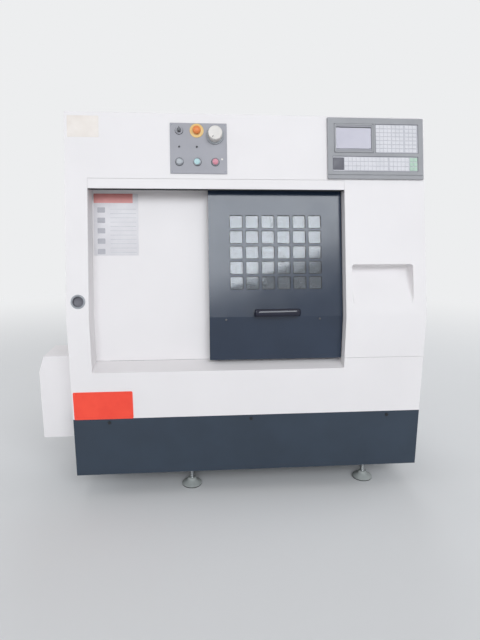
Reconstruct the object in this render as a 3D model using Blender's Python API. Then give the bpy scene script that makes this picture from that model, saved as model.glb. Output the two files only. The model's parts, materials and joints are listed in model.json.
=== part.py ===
"""CNC turning lathe with a slanted bed, built as an assembly of its separate pieces.

Metres, +Z up, the operator's side faces -Y. The cabinet's front is one folded profile:
upright up to a crease, then leaning back. "Level" is a distance along that front, counted
from the crease, and "depth" is a distance into the machine, square to the front.
"""

import math

import bmesh
import bpy
import numpy
from mathutils import Matrix, Vector

# Cabinet
CABINET_WIDTH = 1.600
CABINET_DEPTH = 1.040
CABINET_TOP = 1.720
CREASE_HEIGHT = 0.840
LEAN_BACK = 0.192
SKIRT_TOP = 0.385
GROUND_CLEARANCE = 0.112
SHEET = 0.0025
FLANGE = 0.025
SIDE_INSET = 0.003
ROOF_DROP = 0.003
SEAT_GAP = 0.0003
ROOF_FLANGE = 0.020
OVERRUN = 0.010
PARALLEL_SHARE = 0.9999
FACING_SHARE = 0.7
COARSE_STEPS = 16
ROUND_STEPS = 24
FINE_STEPS = 32

# Recess in the front, and the strip that hides the door's rail
RECESS_LEFT_MARGIN = 0.095
RECESS_WIDTH = 1.133
RECESS_DEPTH = 0.100
RECESS_BELOW_TOP = 0.2867
SILL_HEIGHT = 0.600
SILL_RISE = 0.026
COLUMN_SEAM_HEIGHT = 0.648
SEAM_GAP = 0.001
RAIL_COVER_HEIGHT = 0.044
RAIL_COVER_RETURN = 0.018
RAIL_COVER_LIP = 0.012

# Cup pressed into the left column and scooped pocket in the right column
CUP_FROM_LEFT = 0.050
CUP_LEVEL = 0.079
CUP_RADIUS = 0.026
CUP_DEPTH = 0.016
POCKET_LEFT_MARGIN = 0.028
POCKET_WIDTH = 0.286
POCKET_BOTTOM = 0.052
POCKET_HEIGHT = 0.184
POCKET_DEPTH = 0.070
POCKET_CORNER = 0.014
CORNER_STEPS = 3

# Fixed panel behind the door, with the doorway
DOORWAY_OVERLAP = 0.035
DOORWAY_RIGHT_MARGIN = 0.038
DOORWAY_ABOVE_SILL = 0.060
DOORWAY_BELOW_HEADER = 0.084
DOORWAY_RETURN = 0.020
FIXED_PANEL_ABOVE_HEADER = 0.086
FIXED_PANEL_LAP = 0.012
FIXED_PANEL_GAP = 0.0008

# Sliding door
DOOR_WIDTH = 0.610
DOOR_SIDE_GAP = 0.003
DOOR_SETBACK = 0.050
DOOR_THICKNESS = 0.028
DOOR_SHEET = 0.002
DOOR_ABOVE_SILL = 0.035
DOOR_BELOW_HEADER = 0.024
GRILLE_COLUMNS = 6
GRILLE_ROWS = 5
GRILLE_ABOVE_CREASE = 0.1238
GRILLE_BELOW_DOOR_TOP = 0.1197
GRILLE_SIDE_MARGIN = 0.089
HOLE_WIDTH_SHARE = 0.84
HOLE_HEIGHT_SHARE = 0.8586
HOLE_CORNER_SHARE = 0.118
HOLE_CORNER_STEPS = 2
GLASS_THICKNESS = 0.005
GLASS_LAP = 0.020
HANDLE_LENGTH = 0.212
HANDLE_HEIGHT = 0.034
HANDLE_THICKNESS = 0.015
HANDLE_STANDOFF = 0.040
HANDLE_LEVEL = 0.022
HANDLE_BEND = 0.018
HANDLE_SIDES = 12
HANDLE_BEND_STEPS = 4

# Door rail, hanger and rollers
RAIL_ABOVE_HEADER = 0.006
RAIL_HEIGHT = 0.024
RAIL_THICKNESS = 0.010
RAIL_END_GAP = 0.004
HANGER_THICKNESS = 0.003
HANGER_LAP = 0.015
HANGER_ABOVE_HEADER = 0.066
HANGER_SIDE_MARGIN = 0.030
ROLLER_RADIUS = 0.014
ROLLER_AXLE_RADIUS = 0.004
ROLLER_FROM_EDGE = 0.060
ROLLER_SIDE_GAP = 0.0015
ROLLER_CHAMFER = 0.0015

# Control unit
UNIT_RIGHT_MARGIN = 0.008
UNIT_WIDTH = 0.441
UNIT_ABOVE_HEADER = 0.003
UNIT_HEIGHT = 0.275
UNIT_LIP_HEIGHT = 0.016
UNIT_LIP_SLOT = 0.003
UNIT_PROUD = 0.012
UNIT_BEHIND = 0.062
UNIT_BORDER = 0.020
UNIT_BODY_GAP = 0.0012
UNIT_FIELD_DEPTH = 0.003
SCREEN_FROM_LEFT = 0.030
SCREEN_FROM_TOP = 0.027
SCREEN_WIDTH = 0.180
SCREEN_HEIGHT = 0.131
SCREEN_THICKNESS = 0.0025
UPPER_KEYS_FROM_LEFT = 0.219
UPPER_KEYS_WIDTH = 0.199
LOWER_KEYS_FROM_LEFT = 0.022
LOWER_KEYS_WIDTH = 0.394
LOWER_KEYS_FROM_BOTTOM = 0.034
LOWER_KEYS_HEIGHT = 0.068

# Button panel
PANEL_FROM_LEFT = 0.452
PANEL_WIDTH = 0.249
PANEL_ABOVE_HEADER = 0.021
PANEL_HEIGHT = 0.223
PANEL_PLATE = 0.004
PANEL_BORDER = 0.018
PANEL_EDGE = 0.0012
PANEL_BORE_REACH = 0.020
PANEL_COLUMN_OFFSETS = (0.040, 0.117, 0.197)
BUTTON_ROW = 0.052
LAMP_ROW = 0.118
SWITCH_ROW = 0.189
WHEEL_ROW = 0.169
COLLAR_RADIUS = 0.0165
COLLAR_HEIGHT = 0.005
BUTTON_RADIUS = 0.0130
BUTTON_PROUD = 0.010
BUTTON_TRAVEL = 0.004
BUTTON_INSIDE = 0.003
BUTTON_EDGE = 0.002
RUNNING_GAP = 0.0004
LAMP_RADIUS = 0.0045
LAMP_PROUD = 0.003
KEY_RADIUS = 0.0095
KEY_PROUD = 0.012
KEY_FIN_LENGTH = 0.018
KEY_FIN_THICKNESS = 0.003
KEY_FIN_HEIGHT = 0.016
STOP_CAP_RADIUS = 0.0185
STOP_CAP_HEIGHT = 0.012
STOP_CAP_STEPS = 4
STOP_STEM_RADIUS = 0.010
STOP_STEM_HEIGHT = 0.012
STOP_RING_RADIUS = 0.031
STOP_RING_HEIGHT = 0.002
STOP_TRAVEL = 0.004
WHEEL_RING_RADIUS = 0.0395
WHEEL_RING_HEIGHT = 0.006
WHEEL_KNOB_RADIUS = 0.031
WHEEL_KNOB_HEIGHT = 0.040
WHEEL_KNOB_TAPER = 0.0015
WHEEL_DISH = 0.002
WHEEL_DISH_SHARE = 0.82
WHEEL_SHAFT_RADIUS = 0.008
WHEEL_DOT_RADIUS = 0.005
WHEEL_DOT_DEPTH = 0.004
WHEEL_DOT_AT = 0.020
WHEEL_DOT_TURN = math.radians(225)

# Tag on the lower left of the front
TAG_FROM_LEFT = 0.006
TAG_WIDTH = 0.261
TAG_BOTTOM_HEIGHT = 0.384
TAG_HEIGHT = 0.129
TAG_THICKNESS = 0.0015
TAG_CORNER = 0.006
TAG_SCREW_RADIUS = 0.004
TAG_SCREW_HEIGHT = 0.002
TAG_SCREW_INSET = 0.012

# Base, skirt and feet
SKIRT_RETURN = 0.0125
BASE_SIDE_INSET = 0.0036
BASE_FRONT = 0.013
BASE_BACK_INSET = 0.006
BASE_EDGE = 0.004
BAY_FROM_LEFT = 0.378
BAY_WIDTH = 0.980
BAY_FRONT = 0.135
BAY_BEFORE_BED = 0.010
FOOT_RADIUS = 0.047
FOOT_PAD_HEIGHT = 0.030
FOOT_RIM_HEIGHT = 0.008
FOOT_STEM_RADIUS = 0.012
FOOT_NUT_RADIUS = 0.020
FOOT_NUT_HEIGHT = 0.016
FOOT_FRONT_DEPTH = 0.087
FOOT_FRONT_LEFT = -0.277
FOOT_FRONT_RIGHT = 0.572
FOOT_REAR_SIDE = 0.640
FOOT_REAR_INSET = 0.090

# Spindle line and slanted bed
SPINDLE_FROM_BACK = 0.580
SPINDLE_HEIGHT = 1.030
CENTRE_HEIGHT = 0.235
BED_SLANT = math.radians(45)
BED_LEFT = -0.520
BED_RIGHT = 0.660
BED_FACE_LOW = -0.220
BED_FACE_HIGH = 0.300
BED_BEFORE_SPINDLE = 0.060
BED_CHEEK_HEIGHT = 0.640
BED_FROM_BACK = 0.110
BED_WALL = 0.045
BED_WEB = 0.040
BED_EDGE = 0.006
BEARING_BLOCK_LEFT = -0.105
BEARING_BLOCK_LENGTH = 0.035
BEARING_BLOCK_HALF_WIDTH = 0.045
BEARING_BLOCK_HEIGHT = 0.080

# Headstock, spindle, chuck
HEAD_LEFT = -0.520
HEAD_RIGHT = -0.206
HEAD_FOOT_HALF_WIDTH = 0.165
HEAD_FOOT_HEIGHT = 0.035
HEAD_RADIUS = 0.105
HEAD_ARC_FROM = math.radians(-25)
HEAD_ARC_STEPS = 14
HEAD_BORE_RADIUS = 0.060
SPINDLE_LAND_LENGTH = 0.050
SPINDLE_RADIUS = 0.045
SPINDLE_TAIL_RADIUS = 0.036
SPINDLE_TAIL_END = -0.640
SPINDLE_NOSE_RADIUS = 0.070
SPINDLE_NOSE_LENGTH = 0.028
SPINDLE_NOSE_GAP = 0.001
BAR_RADIUS = 0.024
CHUCK_RADIUS = 0.085
CHUCK_LENGTH = 0.075
CHUCK_CHAMFER = 0.004
CHUCK_BORE_RADIUS = 0.026
JAW_COUNT = 3
JAW_WIDTH = 0.022
JAW_GROOVE_DEPTH = 0.014
JAW_INNER = 0.034
JAW_OUTER = 0.080
JAW_STEP = 0.056
JAW_BASE_PROUD = 0.018
JAW_TIP_PROUD = 0.040
JAW_EDGE = 0.00125

# Drive
MOTOR_DEPTH = 0.222
MOTOR_HALF_SIZE = 0.080
MOTOR_CORNER = 0.018
MOTOR_FOOT_HEIGHT = 0.014
MOTOR_FOOT_LENGTH = 0.120
MOTOR_FOOT_RIGHT_INSET = 0.030
MOTOR_FROM_PULLEY = 0.045
MOTOR_LENGTH = 0.250
MOTOR_COWL_RADIUS = 0.074
MOTOR_COWL_LENGTH = 0.055
MOTOR_SHAFT_RADIUS = 0.014
PULLEY_FROM_HEAD = 0.025
PULLEY_WIDTH = 0.050
PULLEY_CHEEK = 0.004
PULLEY_CHEEK_HEIGHT = 0.007
PULLEY_HUB_GAP = 0.0003
SPINDLE_PULLEY_RADIUS = 0.075
MOTOR_PULLEY_RADIUS = 0.050
BELT_THICKNESS = 0.005
BELT_SIDE_GAP = 0.002

# Cover over the motor's end
MOTOR_COVER_OUT = 0.170
MOTOR_COVER_TOP_OUT = 0.145
MOTOR_COVER_BOTTOM = 0.251
MOTOR_COVER_SHOULDER = 0.570
MOTOR_COVER_TOP = 0.648
MOTOR_COVER_FRONT = 0.120
MOTOR_COVER_DEPTH = 0.203
MOTOR_PORT_MARGIN = 0.010
MOTOR_PORT_TOP = 0.600

# Z axis: rails, screw, saddle
Z_RAIL_OFFSET = 0.140
Z_RAIL_WIDTH = 0.028
Z_RAIL_HEIGHT = 0.026
Z_RAIL_WAIST = 0.020
Z_RAIL_NECK_SHARE = 0.45
Z_RAIL_SHOULDER_SHARE = 0.7
Z_RAIL_LEFT = -0.060
Z_RAIL_RIGHT = 0.640
Z_SCREW_HEIGHT = 0.050
Z_SCREW_RADIUS = 0.0125
Z_SCREW_END_GAP = 0.006
SERVO_HALF_SIZE = 0.040
SERVO_LENGTH = 0.110
SERVO_CORNER = 0.006
SERVO_FLANGE = 0.014
SADDLE_LEFT = 0.100
SADDLE_LENGTH = 0.260
SADDLE_LOW = -0.205
SADDLE_HIGH = 0.290
SADDLE_PLATE_BOTTOM = 0.032
SADDLE_PLATE_TOP = 0.076
CARRIAGE_LEG = 0.012
CARRIAGE_BOTTOM = 0.010
SLIDING_GAP = 0.0005

# X axis: ways, screw, cross slide, tools
X_WAY_OFFSET = 0.085
X_WAY_WIDTH = 0.024
X_WAY_HEIGHT = 0.018
X_SCREW_HEIGHT = 0.094
X_SCREW_RADIUS = 0.010
SLIDE_LOW = -0.150
SLIDE_LENGTH = 0.240
SLIDE_HALF_WIDTH = 0.115
SLIDE_TOP = 0.126
SLIDE_KEEL_HALF_WIDTH = 0.040
SLIDE_KEEL_LIFT = 0.003
X_MOTOR_BRACKET = 0.014
TOOL_COUNT = 3
TOOL_FIRST = -0.120
TOOL_PITCH = 0.085
TOOL_BLOCK_WIDTH = 0.046
TOOL_BLOCK_LENGTH = 0.110
TOOL_BLOCK_TOP = 0.258
TOOL_SHANK = 0.020
TOOL_REACH = 0.034
TOOL_EDGE = 0.003

# Chip tray, coolant tank, pump, splash panel, lamp
TRAY_LEFT = -0.195
TRAY_RIGHT = 0.415
TRAY_LIP_ABOVE_SILL = 0.055
TRAY_BEND_ABOVE_SILL = 0.020
TRAY_FLOOR_ABOVE_SKIRT = 0.035
TRAY_FLOOR_FRONT_SHARE = 0.36
TRAY_FLOOR_BACK_SHARE = 0.63
TRAY_BELOW_CHEEK = 0.040
TRAY_SLOT_COUNT = 9
TRAY_SLOT_LENGTH = 0.050
TRAY_SLOT_WIDTH = 0.012
TANK_WALL_GAP = 0.005
TANK_DEPTH = 0.240
TANK_RIM = 0.012
PUMP_FROM_RIGHT = 0.070
PUMP_PLATE_WIDTH = 0.110
PUMP_PLATE_THICKNESS = 0.006
PUMP_MOTOR_RADIUS = 0.048
PUMP_MOTOR_HEIGHT = 0.130
PUMP_CAP_HEIGHT = 0.020
PUMP_TUBE_RADIUS = 0.028
PUMP_TUBE_DROP = 0.190
SPLASH_RIGHT = -0.2025
SPLASH_ABOVE_SILL = 0.040
SPLASH_BELOW_CHEEK = 0.040
SPLASH_ABOVE_HEADER = 0.006
SPLASH_BELOW_ROOF = 0.270
SPLASH_HOLE_RADIUS = 0.078
LAMP_HOUSING_LEFT = 0.000
LAMP_HOUSING_LENGTH = 0.300
LAMP_BELOW_HEADER = 0.064
LAMP_HOUSING_HEIGHT = 0.040
LAMP_HOUSING_DEPTH = 0.034
LAMP_HOUSING_EDGE = 0.008

# Electrical cabinet on the back
ELECTRIC_LEFT = -0.300
ELECTRIC_WIDTH = 0.900
ELECTRIC_BOTTOM = 0.500
ELECTRIC_HEIGHT = 1.050
ELECTRIC_DEPTH = 0.145
ELECTRIC_DOOR_DEPTH = 0.016
HINGE_RADIUS = 0.006
HINGE_LENGTH = 0.040
HINGE_FROM_END = 0.120
HINGE_GAP = 0.0005
HINGE_LEAF_FROM = 0.0010
HINGE_LEAF_TO = 0.0045
LOCK_RADIUS = 0.013
LOCK_PROUD = 0.004
LOCK_EDGE = 0.001
LOCK_FROM_EDGE = 0.035
LOCK_HEIGHT_SHARES = (0.22, 0.78)

# Colour (linear), roughness and metal share of each finish
FINISHES = {
    "white_enamel": ((0.82, 0.82, 0.85), 0.42, 0.0),
    "slate_enamel": ((0.055, 0.07, 0.09), 0.45, 0.0),
    "grey_enamel": ((0.38, 0.40, 0.42), 0.5, 0.0),
    "bezel_grey": ((0.40, 0.40, 0.40), 0.5, 0.0),
    "cast_paint": ((0.30, 0.33, 0.34), 0.6, 0.0),
    "ground_steel": ((0.60, 0.60, 0.61), 0.28, 1.0),
    "dark_steel": ((0.20, 0.20, 0.21), 0.4, 1.0),
    "zinc": ((0.50, 0.51, 0.52), 0.4, 1.0),
    "black_plastic": ((0.012, 0.015, 0.02), 0.35, 0.0),
    "rubber": ((0.02, 0.02, 0.02), 0.8, 0.0),
    "glass": ((0.55, 0.62, 0.66), 0.1, 0.0),
    "screen": ((0.45, 0.42, 0.50), 0.25, 0.0),
    "lamp_lens": ((0.75, 0.76, 0.78), 0.3, 0.0),
    "wheel_white": ((0.80, 0.79, 0.78), 0.4, 0.0),
    "stop_orange": ((0.75, 0.33, 0.18), 0.35, 0.0),
    "tag_red": ((0.85, 0.10, 0.06), 0.5, 0.0),
    "reset_button": ((0.35, 0.36, 0.36), 0.35, 0.0),
    "start_button": ((0.10, 0.55, 0.45), 0.35, 0.0),
    "hold_button": ((0.70, 0.12, 0.20), 0.35, 0.0),
}

# Worked out from the sizes above
HALF_WIDTH = CABINET_WIDTH / 2
LEAN = math.atan2(LEAN_BACK, CABINET_TOP - CREASE_HEIGHT)
SLOPE_TOP = math.hypot(LEAN_BACK, CABINET_TOP - CREASE_HEIGHT)
SKIRT_LEVEL = SKIRT_TOP - CREASE_HEIGHT
SILL_LEVEL = SILL_HEIGHT - CREASE_HEIGHT
SEAM_LEVEL = COLUMN_SEAM_HEIGHT - CREASE_HEIGHT
SIDE_FACE = HALF_WIDTH - SIDE_INSET
RECESS_TOP = SLOPE_TOP - RECESS_BELOW_TOP
RECESS_LEFT = -HALF_WIDTH + RECESS_LEFT_MARGIN
RECESS_RIGHT = RECESS_LEFT + RECESS_WIDTH
DOOR_RIGHT = RECESS_RIGHT - DOOR_SIDE_GAP
DOOR_LEFT = DOOR_RIGHT - DOOR_WIDTH
DOOR_CENTRE = (DOOR_LEFT + DOOR_RIGHT) / 2
DOOR_BACK = DOOR_SETBACK + DOOR_THICKNESS
DOOR_TOP = RECESS_TOP - DOOR_BELOW_HEADER
HOLE_PITCH_ACROSS = (DOOR_WIDTH - 2 * GRILLE_SIDE_MARGIN) / GRILLE_COLUMNS
HOLE_PITCH_UP = (DOOR_TOP - GRILLE_BELOW_DOOR_TOP - GRILLE_ABOVE_CREASE) / GRILLE_ROWS
HOLE_WIDTH = HOLE_PITCH_ACROSS * HOLE_WIDTH_SHARE
HOLE_HEIGHT = HOLE_PITCH_UP * HOLE_HEIGHT_SHARE
HOLE_CORNER = HOLE_HEIGHT * HOLE_CORNER_SHARE
GRILLE_CENTRE = (DOOR_TOP - GRILLE_BELOW_DOOR_TOP + GRILLE_ABOVE_CREASE) / 2
RAIL_BOTTOM = RECESS_TOP + RAIL_ABOVE_HEADER
FIXED_FRONT = RECESS_DEPTH + FIXED_PANEL_GAP
RAIL_BACK = FIXED_FRONT - SEAT_GAP
FIXED_BACK = FIXED_FRONT + SHEET
UNIT_RIGHT = HALF_WIDTH - UNIT_RIGHT_MARGIN
UNIT_LEFT = UNIT_RIGHT - UNIT_WIDTH
UNIT_BOTTOM = RECESS_TOP + UNIT_ABOVE_HEADER
UNIT_TOP = UNIT_BOTTOM + UNIT_HEIGHT
PANEL_LEFT = -HALF_WIDTH + PANEL_FROM_LEFT
PANEL_RIGHT = PANEL_LEFT + PANEL_WIDTH
PANEL_BOTTOM = RECESS_TOP + PANEL_ABOVE_HEADER
PANEL_TOP = PANEL_BOTTOM + PANEL_HEIGHT
BASE_TOP = SKIRT_TOP - SEAT_GAP
BASE_HALF_WIDTH = HALF_WIDTH - BASE_SIDE_INSET
BASE_BACK = CABINET_DEPTH - BASE_BACK_INSET
BAY_LEFT = -BASE_HALF_WIDTH + BAY_FROM_LEFT
BAY_RIGHT = BAY_LEFT + BAY_WIDTH
SPINDLE_DEPTH = CABINET_DEPTH - SPINDLE_FROM_BACK
BED_FRONT = SPINDLE_DEPTH - BED_BEFORE_SPINDLE
BAY_BACK = BED_FRONT - BAY_BEFORE_BED
BED_BACK = CABINET_DEPTH - BED_FROM_BACK
MOTOR_HEIGHT = SKIRT_TOP + MOTOR_FOOT_HEIGHT + MOTOR_HALF_SIZE
PULLEY_RIGHT = HEAD_LEFT - PULLEY_FROM_HEAD
PULLEY_LEFT = PULLEY_RIGHT - PULLEY_WIDTH
MOTOR_RIGHT = PULLEY_LEFT - MOTOR_FROM_PULLEY
SPINDLE_NOSE_BACK = HEAD_RIGHT + SPINDLE_NOSE_GAP
CHUCK_BACK = SPINDLE_NOSE_BACK + SPINDLE_NOSE_LENGTH + SEAT_GAP
CHUCK_FACE = CHUCK_BACK + CHUCK_LENGTH
SADDLE_RIGHT = SADDLE_LEFT + SADDLE_LENGTH
SADDLE_CENTRE = SADDLE_LEFT + SADDLE_LENGTH / 2
X_WAY_TOP = SADDLE_PLATE_TOP + X_WAY_HEIGHT
ELECTRIC_RIGHT = ELECTRIC_LEFT + ELECTRIC_WIDTH
ELECTRIC_TOP = ELECTRIC_BOTTOM + ELECTRIC_HEIGHT
ELECTRIC_FRONT = CABINET_DEPTH + SEAT_GAP
ELECTRIC_BACK = ELECTRIC_FRONT + ELECTRIC_DEPTH
DOOR_PLANE = ELECTRIC_BACK + SEAT_GAP
LID_END = DOOR_PLANE + ELECTRIC_DOOR_DEPTH
REAR_END = LID_END + LOCK_PROUD
FRONT_END = SEAT_GAP + TAG_THICKNESS + TAG_SCREW_HEIGHT
BOX_CENTRE_ACROSS = -MOTOR_COVER_OUT / 2
BOX_CENTRE_DEPTH = (REAR_END - FRONT_END) / 2

FRAMES = {}


def clear_scene():
    """Remove every object of the scene."""
    for item in list(bpy.data.objects):
        bpy.data.objects.remove(item, do_unlink=True)


def finish(name):
    """The plain material of one named finish, made once."""
    if name in bpy.data.materials:
        return bpy.data.materials[name]
    colour, roughness, metallic = FINISHES[name]
    made = bpy.data.materials.new(name)
    made.use_nodes = True
    shader = made.node_tree.nodes["Principled BSDF"]
    shader.inputs["Base Color"].default_value = (*colour, 1.0)
    shader.inputs["Roughness"].default_value = roughness
    shader.inputs["Metallic"].default_value = metallic
    made.diffuse_color = (*colour, 1.0)
    return made


def make_frame(name, place, turn=0.0, parent=None):
    """An empty that carries pieces, turned about X."""
    empty = bpy.data.objects.new(name, None)
    bpy.context.scene.collection.objects.link(empty)
    empty.parent = parent
    empty.location = place
    empty.rotation_euler = (turn, 0.0, 0.0)
    FRAMES[name] = empty
    return empty


def new_object(name, shape, coat=None, parent=None, place=(0.0, 0.0, 0.0)):
    """Turn a bmesh into an object with its faces pointing out, in the coat of one finish."""
    bmesh.ops.recalc_face_normals(shape, faces=shape.faces[:])
    mesh = bpy.data.meshes.new(name)
    shape.to_mesh(mesh)
    shape.free()
    item = bpy.data.objects.new(name, mesh)
    bpy.context.scene.collection.objects.link(item)
    item.parent = parent
    item.location = place
    if coat:
        mesh.materials.append(finish(coat))
    return item


def bake(item):
    """Replace the object's mesh by what its modifiers make of it."""
    bpy.context.view_layer.update()
    graph = bpy.context.evaluated_depsgraph_get()
    mesh = bpy.data.meshes.new_from_object(item.evaluated_get(graph))
    item.modifiers.clear()
    item.data = mesh
    return item


def combine(item, tools, operation):
    """Cut the tools from the object, or unite them with it, and remove the tools."""
    for tool in tools:
        step = item.modifiers.new(operation, "BOOLEAN")
        step.operation = operation
        step.solver = "EXACT"
        step.object = tool
    bake(item)
    for tool in tools:
        bpy.data.objects.remove(tool, do_unlink=True)
    return item


def cut(item, tools):
    """Cut the tools out of the object."""
    return combine(item, tools, "DIFFERENCE")


def unite(item, tools):
    """Join the tools to the object."""
    return combine(item, tools, "UNION")


def soften(item, width, steps=2):
    """Round the sharp edges."""
    step = item.modifiers.new("edge", "BEVEL")
    step.width = width
    step.segments = steps
    step.limit_method = "ANGLE"
    step.angle_limit = math.radians(35)
    return bake(item)


def smooth(item, angle=math.radians(35)):
    """Shade curved faces smooth and keep steeper edges crisp."""
    item.data.shade_smooth()
    item.data.set_sharp_from_angle(angle=angle)
    return item


def prism(outline, start, end, axis="X"):
    """Extrude a closed outline along X (points are Y, Z), Y (X, Z) or Z (X, Y)."""
    order = {"X": (2, 0, 1), "Y": (0, 2, 1), "Z": (0, 1, 2)}[axis]
    shape = bmesh.new()
    rings = []
    for along in (start, end):
        ring = []
        for first, second in outline:
            values = (first, second, along)
            ring.append(shape.verts.new([values[place] for place in order]))
        rings.append(ring)
    shape.faces.new(rings[0])
    shape.faces.new(list(reversed(rings[1])))
    count = len(outline)
    for i in range(count):
        j = (i + 1) % count
        shape.faces.new((rings[0][j], rings[0][i], rings[1][i], rings[1][j]))
    return shape


def block(low, high):
    """A box between two corners."""
    outline = [(low[1], low[2]), (high[1], low[2]), (high[1], high[2]), (low[1], high[2])]
    return prism(outline, low[0], high[0])


def turned(profile, axis="X", steps=ROUND_STEPS, centre=(0.0, 0.0, 0.0), hollow=False):
    """Turn (along, radius) points about an axis through the centre.

    A hollow profile is closed on itself. Any other is closed by flat ends.
    """
    order = {"X": (0, 1, 2), "Y": (2, 0, 1), "Z": (1, 2, 0)}[axis]
    shape = bmesh.new()
    rings = []
    for along, radius in profile:
        ring = []
        for i in range(1 if radius == 0 else steps):
            angle = 2 * math.pi * i / steps
            values = (along, radius * math.cos(angle), radius * math.sin(angle))
            point = Vector([values[place] for place in order]) + Vector(centre)
            ring.append(shape.verts.new(point))
        rings.append(ring)
    pairs = list(zip(rings, rings[1:]))
    if hollow:
        pairs.append((rings[-1], rings[0]))
    else:
        for ring in (rings[0], rings[-1]):
            if len(ring) > 1:
                shape.faces.new(ring)
    for first, second in pairs:
        for i in range(steps):
            j = (i + 1) % steps
            corners = [first[i % len(first)], first[j % len(first)],
                       second[j % len(second)], second[i % len(second)]]
            kept = []
            for corner in corners:
                if corner not in kept:
                    kept.append(corner)
            if len(kept) > 2:
                shape.faces.new(kept)
    return shape


def rounded_outline(left, low, right, high, radius, steps=CORNER_STEPS):
    """A rectangle with round corners."""
    outline = []
    corners = ((right - radius, low + radius, -90), (right - radius, high - radius, 0),
               (left + radius, high - radius, 90), (left + radius, low + radius, 180))
    for across, up, start in corners:
        for i in range(steps + 1):
            angle = math.radians(start + 90 * i / steps)
            outline.append((across + radius * math.cos(angle), up + radius * math.sin(angle)))
    return outline


def inset_outline(points, distance):
    """Move each side of a counter-clockwise outline inwards."""
    moved = []
    count = len(points)
    for i in range(count):
        before, here, after = points[i - 1], points[i], points[(i + 1) % count]
        first = Vector((here[0] - before[0], here[1] - before[1])).normalized()
        second = Vector((after[0] - here[0], after[1] - here[1])).normalized()
        normal = Vector((-first.y, first.x)) + Vector((-second.y, second.x))
        scale = 2 * distance / normal.length_squared
        moved.append((here[0] + normal.x * scale, here[1] + normal.y * scale))
    return moved


def strip_outline(points, thickness):
    """Give an open run of points a thickness on its left side."""
    outer = []
    count = len(points)
    for i in range(count):
        normals = []
        if i > 0:
            run = Vector(points[i]) - Vector(points[i - 1])
            normals.append(Vector((-run.y, run.x)).normalized())
        if i < count - 1:
            run = Vector(points[i + 1]) - Vector(points[i])
            normals.append(Vector((-run.y, run.x)).normalized())
        total = sum(normals, Vector((0.0, 0.0)))
        scale = thickness * len(normals) / total.length_squared
        outer.append((points[i][0] + total.x * scale, points[i][1] + total.y * scale))
    return list(points) + list(reversed(outer))


def same(first, second):
    """True where two levels or places are one."""
    return math.isclose(first, second, abs_tol=SEAT_GAP / 10)


def profile_point(across, level, depth):
    """Point on the folded front at a level, moved in by a depth."""
    if same(level, 0):
        return Vector((across, depth, CREASE_HEIGHT - depth * math.tan(LEAN / 2)))
    if level < 0:
        return Vector((across, depth, CREASE_HEIGHT + level))
    inward = Vector((0.0, math.cos(LEAN), -math.sin(LEAN)))
    upward = Vector((0.0, math.sin(LEAN), math.cos(LEAN)))
    return Vector((across, 0.0, CREASE_HEIGHT)) + upward * level + inward * depth


def folded_sheet(columns, levels, depth, is_open, fold):
    """Open sheet on the front's profile, with its edges folded inwards.

    fold(across, level) gives how deep the edge at that place goes in, and how far its far
    side rises. A depth of zero leaves the edge plain.
    """
    sheet = bmesh.new()
    place = {}
    grid = []
    for across in columns:
        column = []
        for level in levels:
            vert = sheet.verts.new(profile_point(across, level, depth))
            place[vert] = (across, level)
            column.append(vert)
        grid.append(column)
    for i in range(len(columns) - 1):
        for j in range(len(levels) - 1):
            across = (columns[i] + columns[i + 1]) / 2
            level = (levels[j] + levels[j + 1]) / 2
            if not is_open(across, level):
                sheet.faces.new((grid[i][j], grid[i + 1][j], grid[i + 1][j + 1], grid[i][j + 1]))
    folded = {}
    for edge in [item for item in sheet.edges if len(item.link_faces) == 1]:
        loop = edge.link_loops[0]
        ends = (loop.vert, loop.link_loop_next.vert)
        across = (place[ends[0]][0] + place[ends[1]][0]) / 2
        level = (place[ends[0]][1] + place[ends[1]][1]) / 2
        reach, rise = fold(across, level)
        if reach == 0:
            continue
        for end in ends:
            if end not in folded:
                end_across, end_level = place[end]
                end_rise = rise if same(end_level, SILL_LEVEL) else 0
                if same(end_level, SLOPE_TOP):
                    point = profile_point(end_across, end_level, depth) + Vector((0, reach, 0))
                else:
                    point = profile_point(end_across, end_level + end_rise, depth + reach)
                folded[end] = sheet.verts.new(point)
        sheet.faces.new((ends[1], ends[0], folded[ends[0]], folded[ends[1]]))
    loose = [vert for vert in sheet.verts if not vert.link_faces]
    bmesh.ops.delete(sheet, geom=loose, context="VERTS")
    return sheet


def thicken(name, sheet, thickness, coat, parent):
    """Give an open sheet its thickness, on the side away from its normals.

    Each corner moves so that every face beside it moves by the thickness.
    """
    sheet.normal_update()
    twins = {}
    for vert in sheet.verts[:]:
        normals = []
        for face in vert.link_faces:
            if all(face.normal.dot(known) < PARALLEL_SHARE for known in normals):
                normals.append(face.normal.copy())
        step = numpy.linalg.lstsq(numpy.array(normals), numpy.full(len(normals), -thickness),
                                  rcond=None)[0]
        twins[vert] = vert.co + Vector(step)
    skin = list(sheet.faces)
    rim = [edge.link_loops[0] for edge in sheet.edges if len(edge.link_faces) == 1]
    ends = [(loop.vert, loop.link_loop_next.vert) for loop in rim]
    twins = {vert: sheet.verts.new(place) for vert, place in twins.items()}
    for face in skin:
        sheet.faces.new([twins[vert] for vert in reversed(face.verts)])
    for first, second in ends:
        sheet.faces.new((second, first, twins[first], twins[second]))
    return new_object(name, sheet, coat, parent)


def round_bar(radius, start, end, axis, centre, steps=ROUND_STEPS):
    """A plain round bar as a tool or a boss."""
    return turned([(start, radius), (end, radius)], axis, steps, centre)


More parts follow.
